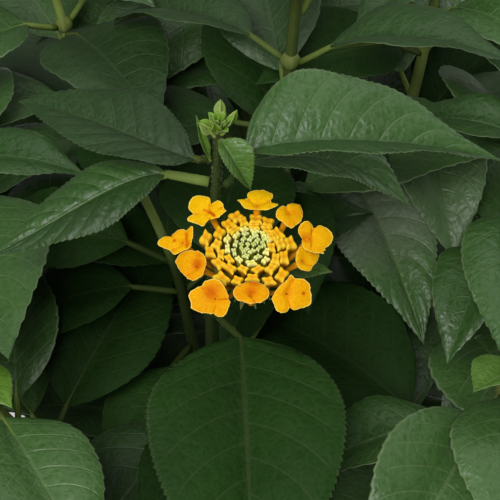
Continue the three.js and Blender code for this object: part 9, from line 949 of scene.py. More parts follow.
def leaf(pc, L, quality, seed, tone, young=0.0, teeth=1.0, petiole=0.30):
    node, kind, P, W, fold, up, peak, rnd, rp = L
    P = np.asarray(P, float)
    foot, mid, up = P[0], P[1:], unit(up)
    tooth_x, cols, spacing, psides, prings = QUALITY[quality]
    # leaves painted in shade take the matt copy, without sheen
    skin = M_LEAF if tone > 0.255 or young > 0.2 else M_SHADED_MATT
    tooth_x = np.array(tooth_x)
    length = np.linalg.norm(np.diff(bezier(mid, np.linspace(0, 1, 9)), axis=0), axis=1).sum()
    spacing *= min(1.0, max(0.45, length / 50))
    nt = max(7, int(round(length * 0.92 / spacing)))
    t0, t1 = 0.05, 0.985
    k = np.arange(nt)
    ph = (k[:, None] + tooth_x[None]).ravel()
    tt = t0 + (t1 - t0) * ph / nt
    out = np.interp(np.tile(tooth_x, nt), [0, 0.3, 0.62, 0.9, 1], [0.1, 0.6, 1.0, 0.55, 0.1])
    base_t = np.array([0.0, 0.012, 0.03]) if quality == 0 else np.array([0.0, 0.02])
    t = np.concatenate([base_t, tt, [0.992, 1.0]])
    o = np.concatenate([base_t * 0 + 0.5, out, [0.5, 0.5]])
    env = smooth(0.03, 0.12, t) * (1 - 0.75 * smooth(0.82, 1.0, t))
    c, tan = bezier(mid, t), bezier_tangent(mid, t)
    S = unit(np.cross(tan, up))
    N = np.cross(S, tan)
    width = np.maximum(W * blade_width(np.clip(t, 0.0, 0.998), peak, rnd), 0.12 + rp * 0.9 * (1 - smooth(0.0, 0.05, t)))
    width[-1] = 0.04
    s = np.linspace(-1, 1, cols - 2)
    s = np.sign(s) * np.abs(s) ** 0.92
    s = np.sort(np.concatenate([s, [-0.965, 0.965]]))
    a = np.abs(s)
    phi = math.radians(fold)
    depth = teeth * (0.52 if quality == 0 else 0.50) * (W / 16.0) ** 0.6 * env
    edge = smooth(0.72, 1.0, a)
    wv = width[:, None] * s[None] + np.sign(s)[None] * edge[None] * (depth * (o - 0.55))[:, None]
    lean = edge[None] * (depth * 0.55 * (o - 0.3))[:, None]
    ph2 = (t[:, None] - 0.03 - VEIN_RISE * a[None] ** 1.2) * VEINS + np.where(s > 0, 0.42, 0.0)[None]
    f = ph2 - np.floor(ph2)
    veind = np.minimum(f, 1 - f)
    lobe = np.sin(np.pi * f) ** 0.7
    body = smooth(0.03, 0.16, a) * (1 - 0.55 * smooth(0.85, 1.0, a))
    size = min(1.0, length / 55.0)
    arch = 0.085 * np.sin(np.pi * a**0.9) - 0.03 * a**4
    q = 0.42 * size * (lobe - 0.55) * body[None] * np.minimum(1, width / (0.35 * W))[:, None]
    rn = np.random.RandomState(seed)
    w1, w2 = rn.uniform(0, 6.28, 2)
    wave = 0.55 * size * np.sin(2 * np.pi * (2.6 * t[:, None] + 0.12 * s[None]) + w1 + (s[None] > 0) * w2) * a[None] ** 2.2 * env[:, None]
    rise = a[None] * width[:, None] * math.sin(phi) + arch[None] * width[:, None] + q + wave
    rise = rise - 0.30 * size * np.exp(-((wv / 0.55) ** 2)) * env[:, None]
    ctr = c[:, None] + S[:, None] * (wv * math.cos(phi))[..., None] + tan[:, None] * lean[..., None] + N[:, None] * rise[..., None]
    thick = np.broadcast_to(0.17 * np.ones_like(t)[:, None] * (1 - 0.6 * smooth(0.9, 1.0, a))[None], rise.shape)
    rib = 0.16 * size * np.exp(-((veind / 0.05) ** 2)) * body[None] * (quality == 0)
    topco = ctr + N[:, None] * thick[..., None]
    lowco = ctr - N[:, None] * (thick + rib)[..., None]
    R, C = rise.shape
    # painted shade on one half of the blade
    half, half_shade = SHADED_HALF.get(node, (1, 0.0))
    # painted light and shade along the blade
    light_along = np.interp(t, [0.0, 0.45, 0.75, 1.0], LIGHT_ALONG.get(node, [1.0] * 4))[:, None]
    lf = np.stack([np.broadcast_to(t[:, None], (R, C)), np.broadcast_to(s[None], (R, C)), np.broadcast_to(tone * light_along * (1 - half_shade * smooth(-0.02, 0.06, s * half)), (R, C))], -1)
    top_k = np.broadcast_to(np.array([0.0, young, seed % 17 / 17.0]), (R, C, 3))
    low_k = np.broadcast_to(np.array([1.0, young, seed % 17 / 17.0]), (R, C, 3))
    i0 = pc.points(topco, lf.reshape(-1, 3), top_k.reshape(-1, 3))
    top = i0 + np.arange(R * C).reshape(R, C)
    i1 = pc.points(lowco[:, 1:-1], lf[:, 1:-1].reshape(-1, 3), low_k[:, 1:-1].reshape(-1, 3))
    low = np.concatenate([top[:, :1], i1 + np.arange(R * (C - 2)).reshape(R, C - 2), top[:, -1:]], 1)
    pc.quads(np.stack([top[:-1, :-1], top[1:, :-1], top[1:, 1:], top[:-1, 1:]], -1)[..., ::-1], skin)
    pc.quads(np.stack([low[:-1, :-1], low[1:, :-1], low[1:, 1:], low[:-1, 1:]], -1), skin)
    for row in (0, -1):  # the two ends of the blade
        a0, b0 = top[row, :-1], top[row, 1:]
        a1, b1 = low[row, :-1], low[row, 1:]
        band = np.stack([a0, b0, b1, a1], -1)[1:-1]
        if row == -1:
            band = band[:, ::-1]
        pc.quads(band, skin)
        tri = np.array([[a0[0], b0[0], b1[0]], [a0[-1], b0[-1], a1[-1]]])
        pc.tris(tri if row == 0 else tri[:, ::-1], skin)
    # petiole, running on as the raised midrib under the blade
    tm = np.linspace(0, 0.86, prings - 4)
    cm, tg = bezier(mid, tm), bezier_tangent(mid, tm)
    Sm = unit(np.cross(tg, up))
    Nm = np.cross(Sm, tg)
    rib = rp * 0.86 * (1 - tm / 0.92) ** 0.8 + 0.06
    under = cm - Nm * (0.06 + (rib - 0.02) * smooth(0.0, 0.09, tm))[:, None]
    pw = np.linspace(0, 1, 5)[:4, None]
    bend = foot + (under[0] - foot) * pw
    path = np.concatenate([bend, under])
    rad = np.concatenate([rp * (1.12 - 0.16 * pw[:, 0]), rib])
    # third value: painted shade on the petiole, dark where the leaf's tone is low, and 0.85 where petiole is 0.2 or
    # less
    yb = np.array([0.0, max(young, petiole), float(np.clip(1.25 - tone / 0.4, 0, 0.9)) if petiole > 0.2 else 0.85])
    tube(pc, path, rad, psides, M_STEM, yb, 0.05)
    if quality == 0:
        hairs(pc, path[:8], rad[:8], 46, seed + 5, 0.42, 0.03)


def shoot_path(name, n):
    return catmull(SHOOTS[name]["p"], np.linspace(0, 1, n))


NEAR = {"leaf_upper_left", "leaf_left", "leaf_upper_right", "leaf_right", "leaf_front", "young_leaf_hanging", "leaf_small_pointed", "leaf_low_right"}
# painted light and shade per leaf: a low tone paints the leaf dark, above 1 a pale painted sheen
LEAF_SHADE_TONE = {
    "leaf_upper_left": 0.26, "leaf_left": 0.64, "leaf_upper_right": 0.76, "leaf_right": 0.76, "leaf_front": 0.22, "leaf_low_right": 1.1, "leaf_small_pointed": 0.85,
    "young_leaf_hanging": 0.8, "leaf_back_inner": 0.25, "leaf_pair_02": 0.1, "leaf_pair_04": 0.1, "leaf_pair_06": 0.2, "leaf_pair_08": 0.18, "leaf_pair_10": 0.08,
    "leaf_pair_12": 0.36, "leaf_pair_14": 0.25, "leaf_pair_16": 0.20, "leaf_pair_17": 0.08,
}
YOUNG = {"young_leaf_hanging": 0.24, "leaf_small_pointed": 0.25, "leaf_front": 0.0}
INNER = ("shoot_inner_left", "shoot_centre", "shoot_back", "main_shoot")


def leaf_shade_tone(name, L):
    """Painted shade: leaves deep in the crown are given a dark tone, those on its outside a lighter one, with a random
    spread; a few get a pale painted sheen above 1.
    """
    if name in LEAF_SHADE_TONE:
        return LEAF_SHADE_TONE[name]
    c = (np.array(L[2][1], float) + np.array(L[2][4], float)) / 2
    out = smooth(55, 105, math.hypot(c[0], c[1] + 20)) if name in INNER else smooth(35, 85, math.hypot(c[0], c[1]))
    v = float(0.24 + 0.54 * out + rs.uniform(-0.06, 0.12))
    tip = L[2][4]
    if name == "shoot_centre" and tip[0] > 70:
        return 0.9
    if name == "shoot_back_right" and 50 < tip[0] < 56:
        return 1.2
    if name == "shoot_inner_left":
        return v * (0.62 if tip[0] < 0 else 1.8)
    return v


rs = np.random.RandomState(7)
groups = {}
for i, L in enumerate(LEAVES):
    groups.setdefault(L[0], []).append((i, L))

for name, s in SHOOTS.items():
    pc = Piece("plant_" + name)
    n = 44 if name == "main_shoot" else 26
    path = shoot_path(name, n)
    t = np.linspace(0, 1, n)
    rad = s["r"][0] + (s["r"][1] - s["r"][0]) * t
    wood = np.clip(1.15 - 3.0 * t, 0, 1)
    # painted shade: the inner shoots are darkened, the inner left one below its top, the main shoot slightly less at
    # its top
    shade = {"shoot_inner_left": 1 - smooth(244, 262, path[:, 2]), "main_shoot": 1 - 0.10 * smooth(283, 290, path[:, 2])}.get(name, t * 0 + (0.75 if name in INNER else 0.0))
    fresh = smooth(0.40, 0.75, t) * 0.55 if name == "shoot_inner_left" else smooth(0.55, 1.0, t) * 0.5
    b = np.stack([wood, fresh, shade], -1)
    sides = 20 if name == "main_shoot" else 12
    wob = 0.05 * NZ[0](path, 9.0)[:, None] * rad[:, None]
    tube(pc, path, rad, sides, M_STEM, b, 0.09, swell=wob)
    if name == "main_shoot":
        hairs(pc, path[26:], rad[26:], 620, 3, 0.5, 0.03)
    for i, L in groups.get(name, []):
        big = np.linalg.norm(np.array(L[2][4]) - np.array(L[2][1]))
        tip = name == "main_shoot" and L[3] < 2.5
        young = 0.95 if tip else float(np.clip((30 - big) / 18, 0, 0.8))
        # petiole 0.1 paints shade on the petioles of the inner left shoot
        leaf(pc, L, 1 if tip else 2, 100 + i, 0.9 if tip else leaf_shade_tone(name, L), young if tip or leaf_shade_tone(name, L) > 0.4 else 0.0, petiole=0.1 if name == "shoot_inner_left" else 0.30)
    if name == "main_shoot":  # crowded youngest leaves round the growing tip
        rt = np.random.RandomState(12)
        top = path[-1]
        for i in range(15):
            q = i * 2.39996 + 0.6
            ring_ = i / 14.0
            d = np.array([math.cos(q), math.sin(q), 0.0])
            rise = 0.9 + 2.0 * ring_
            ln = (4.8 - 2.2 * ring_) * rt.uniform(0.85, 1.15)
            base = top + np.array([0, 0, -3.4 + 3.2 * ring_]) + d * 0.7
            dirn = unit(d + np.array([0, 0, rise]))
            bow = np.array([0, 0, 0.22]) * ln
            P = [base, base + dirn * 0.5, base + dirn * ln * 0.4 + bow * 0.6, base + dirn * ln * 0.75 + bow * 0.5, base + dirn * ln - bow * 0.5]
            leaf(pc, [name, 0, P, ln * 0.27, 24, unit(np.array([0, 0, 1.0]) - d * 0.3), 0.42, 0.7, 0.32], 1, 700 + i, 0.9, 0.8, 0.8)
    if name == "main_shoot":
        P = [[-8.6, -35.9, 303.0], [-8.9, -36.2, 304.5], [-9.8, -36.4, 307.5], [-10.9, -35.6, 311.5], [-11.6, -33.8, 314.5]]
        leaf(pc, [name, 0, P, 1.35, 40, unit([0.5, -0.8, 0.5]), 0.45, 0.7, 0.35], 1, 731, 0.6, 0.35, 0.5)
    pc.build(FOLIAGE, "shoot", name)

for name, items in groups.items():
    if name in SHOOTS:
        continue
    pc = Piece("plant_" + name)
    for i, L in items:
        qual = 0 if name in NEAR else 1
        tone = leaf_shade_tone(name, L)
        big = np.linalg.norm(np.array(L[2][4]) - np.array(L[2][1]))
        young = YOUNG.get(name, float(np.clip((36 - big) / 40, 0, 0.4)))
        # petiole 0.1 paints shade on the petioles of leaf_right and leaf_front
        leaf(pc, L, qual, 100 + i, tone, young if tone > 0.4 else 0.0, 1.5 if name == "young_leaf_hanging" else 1.0, {"leaf_left": 0.34, "leaf_right": 0.1, "leaf_front": 0.1}.get(name, 0.30))
    for c in COLLARS:
        if c[0] == name:
            cc, dd, r = np.array(c[1]), unit(c[2]), c[3]
            zz = np.array([-2.1, -1.6, -0.9, 0.0, 0.9, 1.6, 2.1])
            rr = np.array([r + 0.06, r + 0.5, r + 0.95, r + 1.1, r + 0.95, r + 0.5, r + 0.06])
            tube(pc, cc[None] + dd[None] * zz[:, None], rr, 16, M_STEM, np.array([0.25, 0.2, 0.0]), 0.06)
    pc.build(FOLIAGE, "young_leaf" if name in ("young_leaf_hanging", "leaf_small_pointed") else "leaf", name)

# ---------------------------------------------------------------- woody base
pc = Piece("trunk")
tt = np.linspace(0, 1, 26)
tp = catmull([[0, 0, 111.0], [0, 0, 115.0], *TRUNK["p"][1:]], tt)
tr = TRUNK["r0"] + (TRUNK["r1"] - TRUNK["r0"]) * tt + 1.2 * np.exp(-tt * 9)
sides = 40
T, S, N = frames(tp)
th = np.linspace(0, 2 * np.pi, sides, endpoint=False)
dirs = np.cos(th)[None, :, None] * S[:, None] + np.sin(th)[None, :, None] * N[:, None]
co = tp[:, None] + dirs * tr[:, None, None]
co = co + dirs * (0.28 * NZ[1](co * np.array([1, 1, 0.25]), 0.9) + 0.30 * NZ[2](co, 4.0))[..., None]
pc.rings(co, 0)
pc.build([BARK], "bark", "woody_base")

# ---------------------------------------------------------------- main flower head
H = np.array(HEAD)
RZ = RECEPTACLE_Z

pc = Piece("main_head_stalk")
pn = 40
pt = np.linspace(0, 1, pn)
pp = catmull(PEDUNCLE, pt)
pr = 0.85 + 0.1 * pt + 0.25 * smooth(0.93, 1.0, pt)
tube(pc, pp, pr, 16, M_STEM, np.stack([pt * 0, 0.35 + 0 * pt, pt * 0], -1), 0.08)
hairs(pc, pp, pr, 420, 11, 0.5, 0.03)
pc.build(FOLIAGE, "stalk", "main_peduncle")

pc = Piece("receptacle")
prof = np.array([[0.95, -1.5], [1.25, -1.0], [1.9, -0.5], [2.7, 0.1], [3.15, 0.6], [3.2, 0.95], [2.6, 1.3], [1.2, 1.45]])
th = np.linspace(0, 2 * np.pi, 48, endpoint=False)
co = np.stack([H[0] + prof[:, :1] * np.cos(th), H[1] + prof[:, :1] * np.sin(th), RZ + prof[:, 1:] + 0 * th], -1)
pc.rings(co, 0)
rb = np.random.RandomState(31)
for i in range(18):
    q = 2 * np.pi * (i + rb.uniform(-0.25, 0.25)) / 18
    low = i % 2
    d, sd = np.array([math.cos(q), math.sin(q), 0]), np.array([-math.sin(q), math.cos(q), 0])
    ln = rb.uniform(4.8, 6.4)
    u = np.linspace(0, 1, 12)
    path = H * [1, 1, 0] + np.array([0, 0, RZ - 0.35 - 0.5 * low]) + d * (1.2 + ln * u)[:, None] + np.array([0, 0, 1]) * (-1.9 * u**1.5 * rb.uniform(0.5, 1.0))[:, None]
    w = 0.62 * np.sin(np.pi * np.clip(u * 0.92 + 0.1, 0, 1)) ** 0.8 + 0.03
    x = np.linspace(-1, 1, 7)
    top = path[:, None] + sd * (w[:, None] * x)[..., None] + np.array([0, 0, 1.0]) * (0.25 * np.abs(x) * w[:, None] + 0.06)[..., None]
    bot = top - np.array([0, 0, 0.12])
    ring = np.concatenate([top, bot[:, ::-1]], 1)
    pc.rings(ring, 0)
    hairs(pc, path, w * 0.9, 24, 400 + i, 0.5, 0.025, 1)
pc.build([BRACT, HAIR], "bract", "receptacle_and_bracts")


def limb(ro):
    return 0.55 * np.exp(-((ro - 2.2) ** 2) / 6)


def floret(pc, th, n, foot, pol, seed, tone, res=112, mat=0, scale=1.0, throat=0.8, folds=(), rings=13):
    """Open floret: throat at th facing n, outline pol = [angle, radius], curved tube down to foot.

    folds: [x0, y0, x1, y1, width, painted shade, step] on the limb, in mm from the throat along its two axes."""
    th, n, foot = np.asarray(th, float), unit(n), np.asarray(foot, float)
    e1 = np.array([1.0, 0, 0]) if abs(n[0]) < 0.9 else np.array([0, 1.0, 0])
    e1 = unit(e1 - n * (e1 @ n))
    e2 = np.cross(n, e1)
    ang = np.linspace(-np.pi, np.pi, res, endpoint=False)
    pol = np.array(sorted(pol))
    pa = np.concatenate([pol[-1:, 0] - 2 * np.pi, pol[:, 0], pol[:1, 0] + 2 * np.pi])
    pr = np.concatenate([pol[-1:, 1], pol[:, 1], pol[:1, 1]])
    R = np.interp(ang, pa, pr)
    ker = np.exp(-0.5 * (np.arange(-3, 4) / 0.9) ** 2)
    ker /= ker.sum()
    R = sum(np.roll(R, k) * w for k, w in zip(range(-3, 4), ker))
    # notches: local minima of the outline, where two lobes meet
    span = res // 18
    near = np.stack([np.roll(R, k) for k in range(-span, span + 1)])
    notch = [i for i in range(res) if R[i] <= near.min(0)[i] + 1e-9 and near.max(0)[i] > R[i] * 1.10]
    gap = np.full(res, np.pi)
    for i in notch:
        gap = np.minimum(gap, np.abs((ang - ang[i] + np.pi) % (2 * np.pi) - np.pi))
    rn = np.random.RandomState(seed)
    p = rn.uniform(0, 6.28, 6)
    if res > 100:  # the margin is slightly ragged
        R = R + scale * (0.030 * np.sin(27 * ang + p[3]) + 0.025 * np.sin(41 * ang + p[4]) + 0.015 * np.sin(17 * ang + p[5]))
    u = np.concatenate([[0.0, 0.04, 0.09, 0.15, 0.22, 0.30] if res > 100 else [0.0, 0.10, 0.24], np.linspace(0.38, 0.92, rings), [0.965, 0.99, 1.0]])
    r0 = (0.20 + 0.26 * throat) * scale
    ro = r0 + (R[None] - r0) * u[:, None]
    hh = limb(ro / scale) * scale
    lobe = 1 - np.exp(-(((gap[None] * ro) / (0.55 * scale)) ** 2))
    bell = np.sin(np.pi * u)[:, None] ** 0.8
    hh = hh + scale * 0.40 * (lobe - 0.7) * bell
    hh = hh + scale * (0.06 if res > 100 else 0.13) * (np.sin(5 * ang + p[0]) + 0.7 * np.sin(9 * ang + p[1]) + 0.6 * np.sin(15 * ang + p[2]))[None] * u[:, None] ** 3
    hh = hh - scale * 0.12 * smooth(0.8, 1.0, u)[:, None] * (0.6 + 0.4 * np.sin(3 * ang + p[1]))[None]
    hh = hh - scale * 0.30 * throat * np.exp(-(((ro / scale) / 0.85) ** 2))
    er = np.cos(ang)[:, None] * e1 + np.sin(ang)[:, None] * e2
    X, Y = ro * np.cos(ang), ro * np.sin(ang)
    # painted shade in the notches between lobes and along the folds, carried to the petal colour as crease
    dark = np.exp(-(((gap[None] * ro) / (0.16 * scale)) ** 2)) * smooth(0.45, 0.8, u)[:, None] * 0.55
    for x0, y0, x1, y1, wd, dk, step in folds:
        a, b = np.array([x0, y0]), np.array([x1, y1])
        ln = np.linalg.norm(b - a)
        if ln < 1e-6:
            near_d = np.exp(-(((X - x0) ** 2 + (Y - y0) ** 2) / wd**2))
            dark = np.maximum(dark, dk * near_d)
            hh = hh - step * near_d
            continue
        t = (b - a) / ln
        al = (X - x0) * t[0] + (Y - y0) * t[1]
        d = (X - x0) * -t[1] + (Y - y0) * t[0]
        over = np.maximum(np.maximum(-al, al - ln), 0)
        line = np.exp(-((d / wd) ** 2) - (over / (0.7 * wd + 0.12)) ** 2)
        dark = np.maximum(dark, dk * line)
        reach = np.exp(-((over / 0.5) ** 2))
        hh = hh - 0.14 * dk * line + 0.5 * step * np.tanh(d / (0.5 * wd)) * reach * np.exp(-((d / 1.6) ** 2))
    hh = hh + scale * (0.03 * NZ[8](np.stack([X, Y, 0 * X + seed], -1), 0.55) + 0.07 * NZ[9](np.stack([X, Y, 0 * X + seed], -1), 1.8)) * u[:, None]
    top = th + er[None] * ro[..., None] + n * hh[..., None]
    thick = 0.18 * scale * (1 - 0.6 * smooth(0.75, 1.0, u))
    rim_in = 1 - 0.02 * smooth(0.9, 1.0, u)[::-1]
    under = th + er[None] * (ro[::-1] * rim_in[:, None])[..., None] + n * (hh[::-1] - thick[::-1, None])[..., None]
    inner_r = np.array([0.5, 0.62, 0.78, 0.92]) * r0
    inner_h = np.array([-2.0, -1.2, -0.55, -0.16]) * scale * (0.35 + 0.65 * throat) + hh[0].mean()
    well = th + er[None] * inner_r[:, None, None] + n * inner_h[:, None, None]
    # tube
    m = 16 if res > 100 else 9
    L = np.linalg.norm(th - foot)
    v = np.linspace(0, 1, m)[:, None]
    ctrl = th - n * L * 0.45
    path = (1 - v) ** 2 * (th - n * 0.75 * scale) + 2 * v * (1 - v) * ctrl + v**2 * foot
    T, S, N2 = frames(path, e1)
    rad = scale * (0.84 - 0.22 * smooth(0, 0.35, v[:, 0]) + 0.05 * np.exp(-(((v[:, 0] - 0.3) / 0.14) ** 2)) - 0.14 * v[:, 0])
    tub = path[:, None] + rad[:, None, None] * (np.cos(ang)[None, :, None] * S[:, None] + np.sin(ang)[None, :, None] * (-N2[:, None]))
    co = np.concatenate([well, top, under, tub])
    K = len(co)
    A = np.zeros((K, res, 3))
    B = np.zeros((K, res, 3))
    A[..., 2] = tone
    k0, k1, k2 = 4, 4 + len(u), 4 + 2 * len(u)
    A[:k0, :, 0] = 0.3 + 0.9 * (1 - throat)
    A[k0:k1, :, 0] = ro / scale + 0.9 * (1 - throat)
    A[k0:k1, :, 1] = u[:, None]
    A[k1:k2, :, 0] = ro[::-1] / scale
    A[k1:k2, :, 1] = u[::-1][:, None]
    # painted shade down the throat well
    B[:k0, :, 1] = throat
    B[k0:k1, :, 1] = np.clip(dark, 0, 1)
    B[k1 + 1 : k2, :, 0] = 1.0
    B[k2:, :, 0] = 2.0
    B[k2:, :, 2] = 1 - v
    pc.rings(co, mat, A.reshape(-1, 3), B.reshape(-1, 3))
    return path, rad


def bud(pc, c, n, q, f, mat, tone, seed, G=12, grow=1.14, pinch=0.25, high=0.40, neck=0.50):
    """Closed bud: a four-cornered cushion of folded lobes; its wall narrows into a curved tube down to f."""
    c, n, f, q = np.asarray(c, float), unit(n), np.asarray(f, float), np.asarray(q, float)
    if np.cross(q[1] - q[0], q[2] - q[1]) @ n < 0:
        q = q[::-1]
    mean = q.mean(0)
    sz = np.linalg.norm(q - mean, axis=1).mean()
    rn = np.random.RandomState(seed)
    g = np.linspace(-1, 1, G + 1)
    g = np.sign(g) * np.abs(g) ** 0.82
    A, B = np.meshgrid(g, g, indexing="ij")
    aa, bb = np.abs(A), np.abs(B)
    w = [(1 - A) * (1 - B) / 4, (1 + A) * (1 - B) / 4, (1 + A) * (1 + B) / 4, (1 - A) * (1 + B) / 4]
    flat = sum(wi[..., None] * qi for wi, qi in zip(w, q))
    side = np.maximum((0.5 - 0.5 * aa**1.6 + 0.5 * np.exp(-((A / 0.5) ** 2))) * bb**2.5, (0.5 - 0.5 * bb**1.6 + 0.5 * np.exp(-((B / 0.5) ** 2))) * aa**2.5)
    corner = smooth(0.7, 1.0, aa) * smooth(0.7, 1.0, bb)
    p = mean + (flat - mean) * (grow * (1 - pinch * side - 0.09 * corner))[..., None]
    fall = (1 - aa**3.0) ** 0.5 * (1 - bb**3.0) ** 0.5
    puff = np.exp(-(((aa - 0.66) / 0.36) ** 2) - ((bb - 0.66) / 0.36) ** 2)
    dimple = np.exp(-((A / 0.34) ** 2) - (B / 0.34) ** 2)
    cross = np.maximum(np.exp(-((A / 0.13) ** 2)) * smooth(0.05, 0.4, bb) * (1 - 0.4 * smooth(0.7, 1, bb)), np.exp(-((B / 0.13) ** 2)) * smooth(0.05, 0.4, aa) * (1 - 0.4 * smooth(0.7, 1, aa)))
    lift = rn.uniform(-0.10, 0.10, 4)
    uneven = sum(k * wi for k, wi in zip(lift, w))
    z = sz * (high * (0.62 * fall + 0.46 * puff * fall - 0.26 * dimple - 0.12 * cross * fall) + uneven * fall)
    p = p + n * z[..., None]
    # painted shade in the central dimple and along the cross folds
    dimple_shade = np.clip(0.45 * cross * fall + 0.85 * dimple, 0, 1)
    lf = np.stack([aa * bb, fall, np.full_like(A, tone)], -1)
    lk = np.stack([0 * A, dimple_shade, 1 + 0 * A], -1)
    s0 = pc.points(p, lf.reshape(-1, 3), lk.reshape(-1, 3))
    idx = s0 + np.arange((G + 1) ** 2).reshape(G + 1, G + 1)
    pc.quads(np.stack([idx[:-1, :-1], idx[1:, :-1], idx[1:, 1:], idx[:-1, 1:]], -1), mat)
    loop_i = [(i, 0) for i in range(G)] + [(G, j) for j in range(G)] + [(i, G) for i in range(G, 0, -1)] + [(0, j) for j in range(G, 0, -1)]
    ii, jj = np.array(loop_i).T
    rim_idx, rim = idx[ii, jj], p[ii, jj]
    d = rim - mean
    d = d - n * (d @ n)[:, None]
    dn = unit(d)
    L = max(np.linalg.norm(mean - f), 2.5)
    top_t = 1.35 * sz
    P0, P1, P2 = mean - n * top_t, mean - n * max(0.5 * L, top_t * 1.2), f
    rows, la, lb = [], [], []
    for k, (rr, zz, kd) in enumerate([(1.0, 0.14, 0.12), (0.96, 0.38, 0.35), (0.80, 0.68, 0.70), (0.50, 1.0, 1.0)]):
        rows.append(mean - n * (zz * sz) + d * rr + dn * (neck * (1 - rr) * 0.75))
        la.append([1.0 - rr * 0.2, 1 - zz, tone])
        lb.append([kd, 0.0, 1 - 0.1 * k])
    for k, v in enumerate([0.0, 0.12, 0.3, 0.55, 0.8, 0.98]):
        ctr = (1 - v) ** 2 * P0 + 2 * v * (1 - v) * P1 + v * v * P2
        tan = unit(2 * (1 - v) * (P1 - P0) + 2 * v * (P2 - P1))
        o = unit(dn - tan * (dn @ tan)[:, None])
        rows.append(ctr + o * neck * (1.0 - 0.22 * v))
        la.append([0.0, 0.0, tone])
        lb.append([1.3 if k == 0 else 2.0, 0.0, 0.6 * (1 - v)])
    rows = np.array(rows)
    la, lb = (np.repeat(np.array(x)[:, None], len(rim), 1) for x in (la, lb))
    s1 = pc.points(rows, la.reshape(-1, 3), lb.reshape(-1, 3))
    ridx = s1 + np.arange(rows.shape[0] * rows.shape[1]).reshape(rows.shape[:2])
    allr = np.concatenate([rim_idx[None], ridx])
    nxt = np.roll(allr, -1, axis=1)
    pc.quads(np.stack([allr[:-1], allr[1:], nxt[1:], nxt[:-1]], -1), mat)
    cap = pc.points(rows[-1].mean(0), np.array([0.0, 0, tone]), np.array([2.0, 0, 0]))
    pc.tris(np.stack([ridx[-1], np.full(len(rim), cap), np.roll(ridx[-1], -1)], -1), mat)


for i, (name, th_, n_, foot_, pol_, tone_, throat_, folds_) in enumerate(FLORETS):
    pc = Piece("flower_" + name)
    path, rad = floret(pc, th_, n_, foot_, pol_, 50 + i, tone_, 136, throat=throat_, folds=folds_, rings=14)
    hairs(pc, path[3:], rad[3:], 90, 70 + i, 0.22, 0.018, 1)
    pc.build([PETAL, HAIR], "petal", name)

rb = np.random.RandomState(5)
for node, mats, slot, kinds in (
    ("yellow_bud_ring", [YELLOW, CORE, HAIR], "yellow_bud", ("outer", "inner")),
    ("green_bud_dome", [GREEN, CORE, HAIR, PALE], "green_bud", ("pale", "green")),
):
    pc = Piece("flower_" + node)
    for kind in kinds:
        for c, n, f, q in BUDS[kind]:
            mat = 3 if kind == "pale" else 0
            lo_t, hi_t = {"outer": (0.0, 0.5), "inner": (0.35, 0.9), "pale": (0.2, 1.0), "green": (0.1, 0.9)}[kind]
            bud(pc, c, n, q, f, mat, float(rb.uniform(lo_t, hi_t)), rb.randint(1000), 12, {"green": 1.03, "pale": 1.07}.get(kind, 1.14), 0.25 if kind != "green" else 0.30, 0.40 if kind in ("outer", "inner") else 0.55, 0.40 if kind == "green" else 0.52)
    if node == "green_bud_dome":
        prof = np.array([[1.3, RZ + 1.25], [3.0, RZ + 3.0], [4.8, H[2] - 3.4], [4.9, H[2] - 2.6], [3.6, H[2] - 1.7], [1.5, H[2] - 1.1]])
    else:
        prof = np.array([[2.0, RZ + 1.5], [3.0, RZ + 1.6], [6.5, H[2] - 4.8], [8.0, H[2] - 3.6], [7.6, H[2] - 3.0], [5.6, H[2] - 3.0], [3.4, RZ + 3.6], [2.0, RZ + 2.0]])
    th = np.linspace(0, 2 * np.pi, 56, endpoint=False)
    co = np.stack([H[0] + prof[:, :1] * np.cos(th), H[1] + prof[:, :1] * np.sin(th), prof[:, 1:] + 0 * th], -1)
    if node == "green_bud_dome":
        pc.rings(co, 1)
    else:
        pc.rings(np.concatenate([co, co[:1]]), 1, ends=(False, False))
    pc.build(mats, slot, node)

# ---------------------------------------------------------------- other flower heads
HEAD_MATS = [PETAL, YELLOW, PALE, GREEN, CORE, STEM, BRACT, HAIR]


def round_limb(r, a, seed):
    """Outline of a generic floret: four or five soft lobes, one larger."""
    rn = np.random.RandomState(seed)
    lobes = 5 if rn.rand() > 0.35 else 4
    out = []
    for i in range(72):
        q = 2 * np.pi * i / 72 - np.pi
        x = (q - a) * lobes / 2
        k = abs(math.cos(x)) ** 0.55
        big = 1 + 0.14 * math.cos(q - a)
        out.append([q, r * (0.70 + 0.38 * k) * big * (1 + 0.03 * math.sin(7 * q + seed))])
    return out


